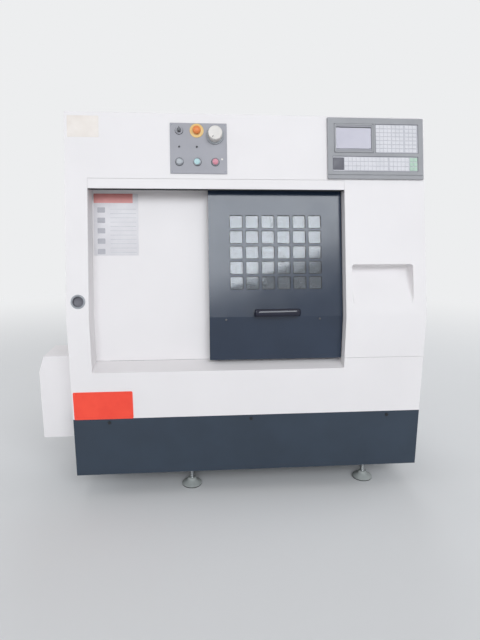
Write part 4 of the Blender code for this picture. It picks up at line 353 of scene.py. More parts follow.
# Moulded ABS of the control unit's bezel: fine spark texture kills the gloss.
BEZEL_ABS = Finish(
    "Grey moulded ABS", "bezel_grey", "999A9E", "919296", 0.6,
    grain=Grain.MOULDED, grain_mm=1.2, depth_mm=0.02, patch_mm=160.0, ior=1.54,
)
# Dark moulded ABS: the same texture in a charcoal grey, for surrounds and the cup's liner.
# It also draws the borders round the key fields, which are painted shade of their recesses.
DARK_ABS = Finish(
    "Dark moulded ABS", "bezel_grey", "66666E", "5C5C64", 0.5,
    grain=Grain.MOULDED, grain_mm=1.2, depth_mm=0.02, patch_mm=90.0, ior=1.54,
)
# A display that is switched off, behind glossy acrylic: pale lilac with a clear reflection.
SCREEN_FILM = Finish(
    "Switched-off display behind acrylic", "screen", "918E9E", "8A8797", 0.16,
    patch_mm=200.0, ior=1.49, coat=0.3,
)
# Embossed polyester keypad film: pale, slightly pillowed keys on a greyer sheet.
KEY_FILM = Finish(
    "Pale keypad film", "bezel_grey", "D3D2D7", "CACACF", 0.45,
    grain=Grain.MOULDED, grain_mm=0.8, depth_mm=0.01, patch_mm=60.0,
)
KEY_SHEET = Finish(
    "Grey keypad sheet", "bezel_grey", "BDBDC3", "B4B4BB", 0.42,
    grain=Grain.MOULDED, grain_mm=0.8, depth_mm=0.01, patch_mm=60.0,
)
KEY_GREEN = Finish(
    "Green keypad film", "bezel_grey", "A9C4B2", "9DBAA8", 0.38,
    grain=Grain.MOULDED, grain_mm=0.8, depth_mm=0.01, patch_mm=60.0,
)
# Sand-cast iron under thick grey paint: a lumpy skin that catches soft highlights, rubbed at corners.
CAST_PAINT = Finish(
    "Painted grey cast iron", "cast_paint", "A0A8AA", "949CA0", 0.5,
    grain=Grain.CAST, grain_mm=7.0, depth_mm=0.25, patch_mm=200.0, worn="8C8C8C",
)
# Ground tool steel: bright, with long fine streaks along the grinding direction.
GROUND_STEEL = Finish(
    "Ground tool steel", "ground_steel", "B9BBBD", "A8ABAE", 0.28,
    grain=Grain.BRUSHED, grain_mm=1.0, depth_mm=0.01, patch_mm=90.0, metallic=1.0,
)
# Turned steel of the chuck and pulleys: fine rings round the spindle's line, drawn at 2 mm.
TURNED_STEEL = Finish(
    "Turned chuck steel", "ground_steel", "AEB0B3", "9DA0A4", 0.26,
    grain=Grain.TURNED, grain_mm=2.0, depth_mm=0.01, patch_mm=90.0, metallic=1.0,
    centre=(0.0, *SPINDLE_LINE),
)
# Black oxide on tool steel: dark, oily, a little bare metal showing through on edges.
BLACK_OXIDE = Finish(
    "Black oxide steel", "dark_steel", "4C4D50", "57585B", 0.38,
    grain=Grain.BRUSHED, grain_mm=1.0, depth_mm=0.01, patch_mm=80.0, metallic=0.9, worn="8A8B8C",
)
# Bright zinc plate on folded sheet and screws: light, faintly blue, cloudy in patches.
ZINC = Finish(
    "Bright zinc plate", "zinc", "B4B7B8", "A2A6A9", 0.3,
    grain=Grain.BRUSHED, grain_mm=0.8, depth_mm=0.01, patch_mm=30.0, metallic=1.0,
)
# Satin chrome of collars and rings: the sharpest reflections on the machine.
CHROME = Finish("Satin chrome", "zinc", "C9CCCF", "BBBFC3", 0.18, patch_mm=30.0, metallic=1.0)
# Satin nickel of the collars: darker than chrome, so that each ring reads against the panel.
SATIN_STEEL = Finish("Satin nickel", "zinc", "8E9196", "84878C", 0.3, patch_mm=30.0, metallic=1.0)
# Hot-dip zinc on the cast feet: pale, matt, rough and dusty.
FOOT_IRON = Finish(
    "Galvanised cast iron foot", "dark_steel", "A3A8A6", "8D9392", 0.6,
    grain=Grain.CAST, grain_mm=4.0, depth_mm=0.2, patch_mm=60.0,
)
# Glass-filled nylon: near black with a dull moulded skin.
# It also fills vent slots, nut notches, a strip above the screen and rings round the button collars as
# painted shade.
BLACK_NYLON = Finish(
    "Black glass-filled nylon", "black_plastic", "0E1218", "141920", 0.45,
    grain=Grain.MOULDED, grain_mm=1.0, depth_mm=0.02, patch_mm=60.0, ior=1.53,
)
# The pull's polished skin: navy black, with one thin highlight along its upper edge.
GLOSS_BLACK = Finish(
    "Polished black polyamide", "black_plastic", "070C22", "0B112A", 0.14, patch_mm=60.0, ior=1.5,
)
# Nitrile rubber of gaskets, belts and wipers: soft black without a highlight.
# It also lines the window openings and the rail cover's lower edge as painted shade.
RUBBER = Finish(
    "Black nitrile rubber", "rubber", "17191B", "202224", 0.75,
    grain=Grain.MOULDED, grain_mm=1.5, depth_mm=0.03, patch_mm=60.0,
)
# Polycarbonate pane, hazed by wiping: clear, a little cold, with a sharp reflection.
WINDOW = Finish(
    "Scratched polycarbonate window", "glass", "C2CBD5", "B6C0CB", 0.07,
    patch_mm=140.0, gloss_spread=0.04, ior=1.585, transmission=0.88,
)
# Moulded polyamide of the mushroom cap: strong orange with a soft sheen.
STOP_ORANGE = Finish(
    "Orange moulded polyamide", "stop_orange", "E4894B", "DA7C40", 0.4,
    grain=Grain.MOULDED, grain_mm=0.8, depth_mm=0.01, patch_mm=25.0,
)
# Anodised aluminium ring: yellow with a metallic glint kept low by its matt etch.
STOP_YELLOW = Finish("Yellow anodised ring", "stop_orange", "E6C27E", "DDB872", 0.4, patch_mm=30.0)
# Moulded white knob with a fine matt skin, a little yellowed by hands.
KNOB_WHITE = Finish(
    "White moulded knob", "wheel_white", "DEDAD6", "D4D0CC", 0.45,
    grain=Grain.MOULDED, grain_mm=1.0, depth_mm=0.01, patch_mm=40.0,
)
# Spun aluminium dial under the knob: grey, with fine rings.
DIAL_GREY = Finish("Grey spun dial", "wheel_white", "999DA2", "8D9197", 0.42, patch_mm=40.0)
# Translucent acetal caps of the push buttons: pale colours with a soft gloss.
CAP_GREY = Finish("Grey acetal cap", "reset_button", "A7ABB0", "9BA0A6", 0.35, patch_mm=20.0)
CAP_GREEN = Finish("Green-blue acetal cap", "start_button", "A9C9CC", "9ABFC4", 0.3, patch_mm=20.0)
CAP_RED = Finish("Red acetal cap", "hold_button", "C7808F", "BE6F82", 0.3, patch_mm=20.0)
# Red-orange vinyl sheet: bright and flat, slightly rippled where it was laid by hand.
TAG_RED = Finish(
    "Red-orange vinyl", "tag_red", "F54B35", "EE4330", 0.48,
    grain=Grain.ORANGE_PEEL, grain_mm=6.0, depth_mm=0.03, patch_mm=80.0,
)
# Cream vinyl of the corner sticker: warm and matt.
CREAM_VINYL = Finish(
    "Cream vinyl sticker", "white_enamel", "E6DFD9", "E0D8D1", 0.5,
    grain=Grain.ORANGE_PEEL, grain_mm=5.0, depth_mm=0.02, patch_mm=60.0,
)
# Laminated card with printed bands: pale, with a soft plastic gloss.
CARD = Finish("Laminated pale card", "white_enamel", "D7D5D8", "D0CED2", 0.4, patch_mm=50.0)
CARD_RED = Finish("Muted red print", "tag_red", "CC8480", "C47B78", 0.34, patch_mm=30.0)
CARD_MARK = Finish("Dark grey print", "bezel_grey", "A09FA6", "98979E", 0.34, patch_mm=30.0)
CARD_LINE = Finish("Grey ruled line", "bezel_grey", "BDBCC2", "B3B2B8", 0.34, patch_mm=30.0)
# Rigid grey PVC of the wiring ducts and terminals: plain, matt and slightly blue.
DUCT_GREY = Finish("Grey rigid PVC", "bezel_grey", "B3B8BD", "A8ADB3", 0.5, patch_mm=60.0)
# Frosted acrylic lens of the work lamp: milky and matt.
LAMP_LENS = Finish("Frosted acrylic lens", "lamp_lens", "E9EEF0", "DDE3E6", 0.55, patch_mm=40.0, ior=1.49)
# Sintered carbide with a gold nitride coat: warm metal, even at its edges.
INSERT_GOLD = Finish(
    "Coated carbide insert", "dark_steel", "B08D45", "9F7E3C", 0.3, patch_mm=8.0, metallic=1.0,
)
# Painted aluminium fan cowl and motor body: dark and slightly rough.
MOTOR_PAINT = Finish(
    "Dark grey motor paint", "slate_enamel", "454C54", "3C434B", 0.45,
    grain=Grain.CAST, grain_mm=5.0, depth_mm=0.06, patch_mm=90.0, worn="7C8084",
)


def ring(height: float, reach: Reach, steps: int = ROUND_STEPS) -> list[Vector]:
    """Gives points about Z.

    Args:
        height: Z of every point.
        reach: The radius, or a function that gives it at an angle.
        steps: How many points there are.

    Returns:
        The points, counter-clockwise from +X.
    """
    points = []
    for index in range(steps):
        angle = FULL_TURN * index / steps
        radius = reach(angle) if callable(reach) else reach
        points.append(Vector((radius * math.cos(angle), radius * math.sin(angle), height)))
    return points


def flats(sides: int, across: float) -> Callable[[float], float]:
    """Gives the radius of a regular polygon at any angle, from its sides and its size across flats."""
    share = FULL_TURN / sides
    return lambda angle: across / 2 / math.cos((angle + share / 2) % share - share / 2)


def cross(reach: float, arm: float) -> Callable[[float], float]:
    """Gives the radius of a cross at any angle, from its reach and half the width of its arms."""
    return lambda angle: min(reach, arm / max(min(abs(math.sin(angle)), abs(math.cos(angle))), SAME_PLACE))


def rounded(width: float, length: float, corner: float, height: float, steps: int = 5) -> list[Vector]:
    """Gives a rectangle with round corners, centred on Z.

    Args:
        width: Size along X.
        length: Size along Y.
        corner: Radius of the corners.
        height: Z of every point.
        steps: Points in each corner, less one.

    Returns:
        The points, counter-clockwise from the lower right corner.
    """
    points = []
    for quarter, (side_x, side_y) in enumerate(((1, -1), (1, 1), (-1, 1), (-1, -1))):
        middle = Vector((side_x * (width / 2 - corner), side_y * (length / 2 - corner), height))
        for step in range(steps + 1):
            angle = QUARTER_TURN * (quarter - 1 + step / steps)
            points.append(middle + corner * Vector((math.cos(angle), math.sin(angle), 0)))
    return points


def lofted(rings: Sequence[Sequence[Vector]], hollow: bool = False) -> Solid:
    """Skins a row of rings that have equal numbers of points.

    Args:
        rings: The rings, in order along the shape.
        hollow: True joins the last ring to the first, as in a frame. False caps both ends.

    Returns:
        A closed shape whose faces point outwards.
    """
    shape = bmesh.new()
    loops = [[shape.verts.new(point) for point in points] for points in rings]
    pairs = list(zip(loops, loops[1:]))
    if hollow:
        pairs.append((loops[-1], loops[0]))
    else:
        shape.faces.new(loops[0])
        shape.faces.new(loops[-1])
    for low, high in pairs:
        for index in range(len(low)):
            after = (index + 1) % len(low)
            shape.faces.new((low[index], low[after], high[after], high[index]))
    bmesh.ops.recalc_face_normals(shape, faces=shape.faces[:])
    return shape


def turned(profile: Section, steps: int = ROUND_STEPS, hollow: bool = False) -> Solid:
    """Turns (radius, height) pairs about Z into a plug or, where hollow, into a ring.

    Args:
        profile: The pairs, in order along the section.
        steps: Faces round the axis.
        hollow: True for a ring whose section closes on itself.

    Returns:
        The turned shape.
    """
    return lofted([ring(height, radius, steps) for radius, height in profile], hollow)


def plate(width: float, length: float, corner: float, section: Section, hollow: bool = False) -> Solid:
    """Builds a plate with round corners, or a border where hollow.

    Args:
        width: Size along X.
        length: Size along Y.
        corner: Radius of the corners.
        section: Pairs of inset and height, in order along the section.
        hollow: True for a border whose section closes on itself.

    Returns:
        The plate, standing on the XY plane.
    """
    least = SAME_PLACE * 20
    return lofted(
        [
            rounded(width - 2 * inset, length - 2 * inset, max(corner - inset, least), height)
            for inset, height in section
        ],
        hollow,
    )


def put(shape: Solid, finish: Finish, seat: Matrix) -> Part:
    """Sets a shape on a seat.

    Args:
        shape: The shape, which is moved.
        finish: Its finish.
        seat: Where its origin and its axes go.

    Returns:
        The shape and its finish.
    """
    shape.transform(seat)
    return shape, finish


def facing(place: Place, outward: Place) -> Matrix:
    """Gives a seat at a place, with Z outward and Y as near to straight up as it can be.

    Args:
        place: The seat's origin.
        outward: The direction of its Z.

    Returns:
        The seat.
    """
    turn = Vector(outward).to_track_quat("Z", "Y").to_matrix().to_4x4()
    return Matrix.Translation(place) @ turn


def at(seat: Matrix, across: float = 0.0, up: float = 0.0, out: float = 0.0) -> Matrix:
    """Shifts a seat along its own axes.

    Args:
        seat: The seat, which stays as it is.
        across: Distance along its X.
        up: Distance along its Y.
        out: Distance along its Z.

    Returns:
        The shifted seat.
    """
    return seat @ Matrix.Translation((across, up, out))


def spun(seat: Matrix, angle: float, axis: str) -> Matrix:
    """Turns a seat about one of its own axes.

    Args:
        seat: The seat, which stays as it is.
        angle: How far it turns, in radians.
        axis: The axis' letter.

    Returns:
        The turned seat.
    """
    return seat @ Matrix.Rotation(angle, 4, axis)


def plain_object(name: str, shape: Solid) -> bpy.types.Object:
    """Puts a shape into the scene as an object.

    Args:
        name: The object's name.
        shape: The shape, which is freed.

    Returns:
        The object, at the origin.
    """
    mesh = bpy.data.meshes.new(name)
    shape.to_mesh(mesh)
    shape.free()
    item = bpy.data.objects.new(name, mesh)
    bpy.context.scene.collection.objects.link(item)
    return item


def baked(item: bpy.types.Object) -> bpy.types.Mesh:
    """Gives what an object's modifiers make of it, as a plain mesh."""
    graph = bpy.context.evaluated_depsgraph_get()
    return bpy.data.meshes.new_from_object(item.evaluated_get(graph), depsgraph=graph)


def discard(item: bpy.types.Object) -> None:
    """Removes a helper object with its mesh."""
    mesh = item.data
    bpy.data.objects.remove(item)
    bpy.data.meshes.remove(mesh)


def joined(parts: Sequence[Part]) -> tuple[Solid, list[Finish]]:
    """Joins shapes, with one material index for each finish.

    Args:
        parts: Shapes and their finishes. The shapes are freed.

    Returns:
        The joined shape, and the finishes in the order of their index.
    """
    whole = bmesh.new()
    finishes: list[Finish] = []
    for shape, finish in parts:
        if finish not in finishes:
            finishes.append(finish)
        for face in shape.faces:
            face.material_index = finishes.index(finish)
            face.smooth = True
        scratch = bpy.data.meshes.new("scratch")
        shape.to_mesh(scratch)
        shape.free()
        whole.from_mesh(scratch)
        bpy.data.meshes.remove(scratch)
    return whole, finishes


def register(piece: bpy.types.Object, body: str, replaces: Sequence[str] = ()) -> bpy.types.Object:
    """Ties a piece to its body and the nodes that it stands for, and reports it.

    Args:
        piece: The finished piece, at the origin.
        body: The CAD body that carries it.
        replaces: CAD nodes that it stands for.

    Returns:
        The piece.
    """
    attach(piece, body)
    if replaces:
        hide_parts(*replaces)
    log.info("%s on %s: %d faces", piece.name, body, len(piece.data.polygons))
    return piece


def make_piece(
    name: str,
    parts: Sequence[Part],
    body: str = MACHINE,
    replaces: Sequence[str] = (),
    seat: Matrix | None = None,
    crease: float = PIECE_CREASE,
) -> bpy.types.Object:
    """Joins shapes into one finished piece that rides on a body.

    Args:
        name: The piece's name.
        parts: Shapes and their finishes.
        body: The CAD body that carries it.
        replaces: CAD nodes that it stands for.
        seat: Where the shapes go. None leaves them where they are.
        crease: Edges steeper than this stay crisp.

    Returns:
        The new object, at the origin.
    """
    whole, finishes = joined(parts)
    if seat:
        whole.transform(seat)
    piece = plain_object(name, whole)
    for finish in finishes:
        piece.data.materials.append(finish.material())
    piece.data.set_sharp_from_angle(angle=crease)
    return register(piece, body, replaces)


def body_of_node(node: str) -> str:
    """Names the body that carries a CAD node."""
    carrier = frame["nodes"][node].parent
    return next(name for name, empty in frame["bodies"].items() if empty is carrier)


def refined(
    node: str,
    finish: Finish,
    edge_mm: float = 0.0,
    segments: int = 2,
    cuts: Sequence[Part] = (),
    crisp: float = NODE_CREASE,
) -> bpy.types.Object:
    """Replaces a CAD node by a copy with merged faces, cut details, rounded edges and smooth curves.

    Args:
        node: The CAD node's name.
        finish: The finish that it gets.
        edge_mm: Radius of the rounded edges, or 0 to leave them.
        segments: Faces across each rounded edge.
        cuts: Closed shapes that are cut out of it.
        crisp: Edges steeper than this aren't shaded smooth.

    Returns:
        The new object.
    """
    shape = bmesh.new()
    shape.from_mesh(frame["nodes"][node].data)
    bmesh.ops.remove_doubles(shape, verts=shape.verts[:], dist=SAME_PLACE)
    bmesh.ops.dissolve_limit(shape, angle_limit=FLAT_ANGLE, verts=shape.verts[:], edges=shape.edges[:])
    for face in shape.faces:
        face.smooth = True
        face.material_index = 0
    piece = plain_object(f"{node}_finished", shape)
    for layer in ("custom_normal", "sharp_edge", "sharp_face"):
        if layer in piece.data.attributes:
            piece.data.attributes.remove(piece.data.attributes[layer])
    piece.data.materials.clear()
    piece.data.materials.append(finish.material())
    piece.data.set_sharp_from_angle(angle=crisp)
    if cuts:
        cutter = plain_object("cutter", joined(cuts)[0])
        carving = piece.modifiers.new("Cut details", "BOOLEAN")
        carving.operation = "DIFFERENCE"
        carving.solver = "EXACT"
        carving.object = cutter
    if edge_mm:
        rounding = piece.modifiers.new("Rounded edges", "BEVEL")
        rounding.width = edge_mm * MILLIMETRE
        rounding.segments = segments
        rounding.limit_method = "ANGLE"
        rounding.angle_limit = BEND_ANGLE
        rounding.harden_normals = True
    if piece.modifiers:
        rough = piece.data
        piece.data = baked(piece)
        piece.modifiers.clear()
        bpy.data.meshes.remove(rough)
    if cuts:
        discard(cutter)
        if not edge_mm:
            piece.data.set_sharp_from_angle(angle=crisp)
    return register(piece, body_of_node(node), (node,))


@dataclass(frozen=True)
class Layout:
    """Copies of a shape, laid out by a geometry tree. Each field becomes one of the tree's inputs."""

    def of(self, finish: Finish, seat: Matrix, shape: Solid | None = None) -> Part:
        """Runs the tree and turns what it gives into a plain shape.

        Args:
            finish: The finish of every copy.
            seat: Where the layout's own origin goes.
            shape: The shape that is copied, standing along Z. It is freed.

        Returns:
            The copies in place, and their finish.
        """
        model = plain_object("model", shape or bmesh.new())
        host = plain_object("host", bmesh.new())
        values = {"Shape": model, "Finish": finish.material()}
        values |= {item.name: getattr(self, item.name) for item in fields(self)}
        modifier = host.modifiers.new("Layout", "NODES")
        modifier.node_group = self._tree()
        for item in modifier.node_group.interface.items_tree:
            if item.in_out == "INPUT":
                modifier[item.identifier] = values[item.name]
        flat = baked(host)
        result = bmesh.new()
        result.from_mesh(flat)
        bpy.data.meshes.remove(flat)
        discard(host)
        discard(model)
        return put(result, finish, seat)

    def _tree(self) -> Tree:
        """Builds the geometry tree of this kind of layout, or gives the one already built.

        Returns:
            The tree.
        """
        name = f"{type(self).__name__} of a shape"
        made = bpy.data.node_groups.get(name)
        if made:
            return made
        tree = bpy.data.node_groups.new(name, "GeometryNodeTree")
        kinds = {"Shape": "NodeSocketObject", "Finish": "NodeSocketMaterial"}
        of_type = {"int": "NodeSocketInt", "float": "NodeSocketFloat", "Place": "NodeSocketVector"}
        kinds |= {item.name: of_type[item.type] for item in fields(self)}
        for label, kind in kinds.items():
            tree.interface.new_socket(name=label, in_out="INPUT", socket_type=kind)
        tree.interface.new_socket(name="Geometry", in_out="OUTPUT", socket_type="NodeSocketGeometry")
        given = add_node(tree, "NodeGroupInput").outputs
        laid = self._laid(tree, given)
        solid = add_node(tree, "GeometryNodeRealizeInstances", {}, {"Geometry": laid}).outputs[0]
        dress = {"Geometry": solid, "Material": given["Finish"]}
        dressed = add_node(tree, "GeometryNodeSetMaterial", {}, dress).outputs[0]
        add_node(tree, "NodeGroupOutput", {}, {"Geometry": dressed})
        return tree

    def _laid(self, tree: Tree, given: Sockets) -> Socket:
        """Adds the nodes that lay the copies out, which each kind of layout does in its own way.

        Args:
            tree: The tree that gets the nodes.
            given: The tree's inputs.

        Returns:
            The copies' socket.
        """
        raise NotImplementedError

    def _copies(
        self,
        tree: Tree,
        given: Sockets,
        points: Socket,
        turn: Socket | None = None,
    ) -> Socket:
        """Puts a copy of the shape on every point.

        Args:
            tree: The tree that gets the nodes.
            given: The tree's inputs.
            points: Where the copies go.
            turn: How each copy is turned, or None to leave them all straight.

        Returns:
            The instances.
        """
        shape = add_node(tree, "GeometryNodeObjectInfo", {}, {"Object": given["Shape"]})
        links = {"Points": points, "Instance": shape.outputs["Geometry"]}
        if turn:
            links["Rotation"] = turn
        return add_node(tree, "GeometryNodeInstanceOnPoints", {}, links).outputs["Instances"]


@dataclass(frozen=True)
class Grid(Layout):
    """Rows and columns about the middle, for screws, keys, louvres and ribs."""

    columns: int
    rows: int
    width: float
    height: float

    def _laid(self, tree: Tree, given: Sockets) -> Socket:
        """Puts the copies on the corners of a flat grid.

        Args:
            tree: The tree that gets the nodes.
            given: The tree's inputs.

        Returns:
            The copies' socket.
        """
        sizes = {"Vertices X": given["columns"], "Vertices Y": given["rows"]}
        sizes |= {"Size X": given["width"], "Size Y": given["height"]}
        points = add_node(tree, "GeometryNodeMeshGrid", {}, sizes).outputs["Mesh"]
        return self._copies(tree, given, points)


@dataclass(frozen=True)
class Ring(Layout):
    """Copies round Z, each turned to face outwards, for bolts, fins and knurls."""

    count: int
    radius: float

    def _laid(self, tree: Tree, given: Sockets) -> Socket:
        """Puts the copies on a circle and turns each one by its share of a full turn.

        Args:
            tree: The tree that gets the nodes.
            given: The tree's inputs.

        Returns:
            The copies' socket.
        """
        circle = {"Vertices": given["count"], "Radius": given["radius"]}
        points = add_node(tree, "GeometryNodeMeshCircle", {}, circle).outputs["Mesh"]
        step = maths(tree, "DIVIDE", FULL_TURN, given["count"])
        index = add_node(tree, "GeometryNodeInputIndex").outputs[0]
        angle = maths(tree, "MULTIPLY", index, step)
        turn = add_node(tree, "ShaderNodeCombineXYZ", {}, {"Z": angle}).outputs[0]
        return self._copies(tree, given, points, turn)


@dataclass(frozen=True)
class Path(Layout):
    """Copies along a bent path, for corrugated conduit and the links of a coolant hose."""

    count: int
    start: Place
    start_handle: Place
    end_handle: Place
    end: Place

    def _laid(self, tree: Tree, given: Sockets) -> Socket:
        """Puts the copies on a Bezier curve and turns each one along it.

        Args:
            tree: The tree that gets the nodes.
            given: The tree's inputs.

        Returns:
            The copies' socket.
        """
        ends = {"Start": given["start"], "Start Handle": given["start_handle"]}
        ends |= {"End Handle": given["end_handle"], "End": given["end"]}
        curve = add_node(tree, "GeometryNodeCurvePrimitiveBezierSegment", {"Resolution": 48}, ends).outputs[0]
        spaced = {"Curve": curve, "Count": given["count"]}
        points = add_node(tree, "GeometryNodeCurveToPoints", {"mode": "COUNT"}, spaced).outputs
        return self._copies(tree, given, points["Points"], points["Rotation"])


@dataclass(frozen=True)
class Thread(Layout):
    """A round ridge wound about Z, for ball screws and foot studs."""

    turns: float
    radius: float
    length: float
    ridge: float

    def _laid(self, tree: Tree, given: Sockets) -> Socket:
        """Sweeps a small circle along a spiral.

        Args:
            tree: The tree that gets the nodes.
            given: The tree's inputs.

        Returns:
            The ridge's socket.
        """
        winding = {"Rotations": given["turns"], "Start Radius": given["radius"]}
        winding |= {"End Radius": given["radius"], "Height": given["length"]}
        spiral = add_node(tree, "GeometryNodeCurveSpiral", {"Resolution": 20}, winding).outputs[0]
        section = {"Radius": given["ridge"]}
        circle = add_node(tree, "GeometryNodeCurvePrimitiveCircle", {"Resolution": 6}, section).outputs[0]
        sweep = {"Curve": spiral, "Profile Curve": circle}
        return add_node(tree, "GeometryNodeCurveToMesh", {"Fill Caps": True}, sweep).outputs[0]


class Drive(Enum):
    """What turns a fastener."""

    CROSS = "a cross recess in a low head"
    SOCKET = "a hexagon socket in a round head"
    HEXAGON = "a hexagon head"
    PLUG = "nothing: a smooth plug or rivet"


@dataclass(frozen=True)
class Fastener:
    """A screw, bolt or plug whose head stands on a face. The shares are of its head or its radius."""

    radius: float
    head: float
    drive: Drive
    finish: Finish
    steps: int = SMALL_STEPS
    sunk_share: float = 0.2
    shoulder_share: float = 0.7
    crown_share: float = 0.84
    flats_share: float = 1.74
    cross_shares: Pair = (0.62, 0.13)
    recess_floor_share: float = 0.3

    def shape(self) -> Solid:
        """Builds the head.

        Returns:
            The head, standing on the origin along Z.
        """
        radius = self.radius
        side: Reach = flats(6, radius * self.flats_share) if self.drive is Drive.HEXAGON else radius
        rings = [(-self.sunk_share, side), (self.shoulder_share, side), (1.0, radius * self.crown_share)]
        if self.drive in (Drive.CROSS, Drive.SOCKET):
            reach, arm = self.cross_shares
            socket = self.drive is Drive.SOCKET
            recess = flats(6, radius) if socket else cross(radius * reach, radius * arm)
            rings += [(1.0, recess), (self.recess_floor_share, recess)]
        return lofted([ring(self.head * height, outline, self.steps) for height, outline in rings])

    def grid(self, columns: int, rows: int, width: float, height: float, seat: Matrix) -> Part:
        """Sets fasteners in rows and columns about the seat's origin.

        Args:
            columns: How many there are along X.
            rows: How many there are along Y.
            width: Distance from the first column to the last.
            height: Distance from the first row to the last.
            seat: The middle of the grid, with Z out of the face.

        Returns:
            The heads and their finish.
        """
        return Grid(columns, rows, width, height).of(self.finish, seat, self.shape())

    def circle(self, count: int, radius: float, seat: Matrix) -> Part:
        """Sets fasteners on a bolt circle round the seat's Z."""
        return Ring(count, radius).of(self.finish, seat, self.shape())

    def one(self, seat: Matrix) -> Part:
        """Sets a single fastener on a seat."""
        return put(self.shape(), self.finish, seat)


@dataclass(frozen=True)
class Front:
    """The folded front of the cabinet."""

    centre_x: float = 0.085
    face_y: float = -0.6009
    crease_height: float = 0.840
    slope_height: float = 0.880
    top_setback: float = 0.192

    def seat(self, across: float, level: float, proud: float = 0.0) -> Matrix:
        """Gives the frame of a place on the front.

        Args:
            across: Distance to the right of the cabinet's middle.
            level: Distance up the front from the crease, negative below it.
            proud: Distance out of the face.

        Returns:
            A frame with X across, Y up the front and Z out of it.
        """
        lean = math.atan2(self.top_setback, self.slope_height) if level > 0 else 0.0
        corner = Matrix.Translation((self.centre_x + across, self.face_y, self.crease_height))
        return at(spun(corner, QUARTER_TURN - lean, "X"), 0, level, proud)


FRONT = Front()
# Frames of the works. BED has X along the rails, Y up the slope and Z out of it. SPINDLE has Z along
# the spindle. Both start at the cabinet's middle, as the CAD does.
BED = spun(Matrix.Translation((FRONT.centre_x, 0.0253, 0.8638)), QUARTER_TURN / 2, "X")
SPINDLE = spun(Matrix.Translation((FRONT.centre_x, *SPINDLE_LINE)), QUARTER_TURN, "Y")
HERE = Matrix.Identity(4)
LEFT, RIGHT, OPERATOR, BACK, UP, DOWN = (
    (-1, 0, 0), (1, 0, 0), (0, -1, 0), (0, 1, 0), (0, 0, 1), (0, 0, -1)
)
# The rings of a pressed hood, foot to crest: inset, corner and drop are shares of its height, and rise
# is a share of how far it stands out.
HOOD_SHARES = ((0.0, 1 / 3, 0.0, 0.0), (0.25, 1 / 5, 0.2, 0.85), (0.4, 1 / 12, 0.24, 1.0))


def block(width: float, length: float, low: float, high: float, edge: float = 0.0004) -> Solid:
    """Builds a small block with eased top edges.

    Args:
        width: Size along X.
        length: Size along Y.
        low: Height of its foot.
        high: Height of its top.
        edge: Size of the eased edge.

    Returns:
        The block, centred on Z.
    """
    return plate(width, length, 2 * edge, [(0.0, low), (0.0, high - edge), (edge, high)])


def louvre(width: float, height: float, proud: float) -> Solid:
    """Builds a pressed hood that is closed and sloping above and steep below.

    Args:
        width: Size along X.
        height: Size along Y.
        proud: How far it stands out.

    Returns:
        The hood, on the XY plane.
    """
    rings = []
    for inset, corner, drop, rise in HOOD_SHARES:
        narrowed = 2 * inset * height
        points = rounded(width - narrowed, height - narrowed, corner * height, rise * proud)
        rings.append([point - Vector((0, drop * height, 0)) for point in points])
    return lofted(rings)


def swept(path: Sequence[Vector], half_width: float, half_height: float, up: Vector) -> Solid:
    """Sweeps an oval along a path that stays square to one direction.

    Args:
        path: Points along the middle of the bar.
        half_width: Half of the oval's size across the path and across up.
        half_height: Half of the oval's size along up.
        up: The direction that the path never turns towards.

    Returns:
        A closed bar.
    """
    rings = []
    angles = [FULL_TURN * step / SMALL_STEPS for step in range(SMALL_STEPS)]
    for index, point in enumerate(path):
        ahead = (path[min(index + 1, len(path) - 1)] - path[max(index - 1, 0)]).normalized()
        wide, tall = ahead.cross(up).normalized() * half_width, up * half_height
        rings.append([point + wide * math.cos(angle) + tall * math.sin(angle) for angle in angles])
    return lofted(rings)


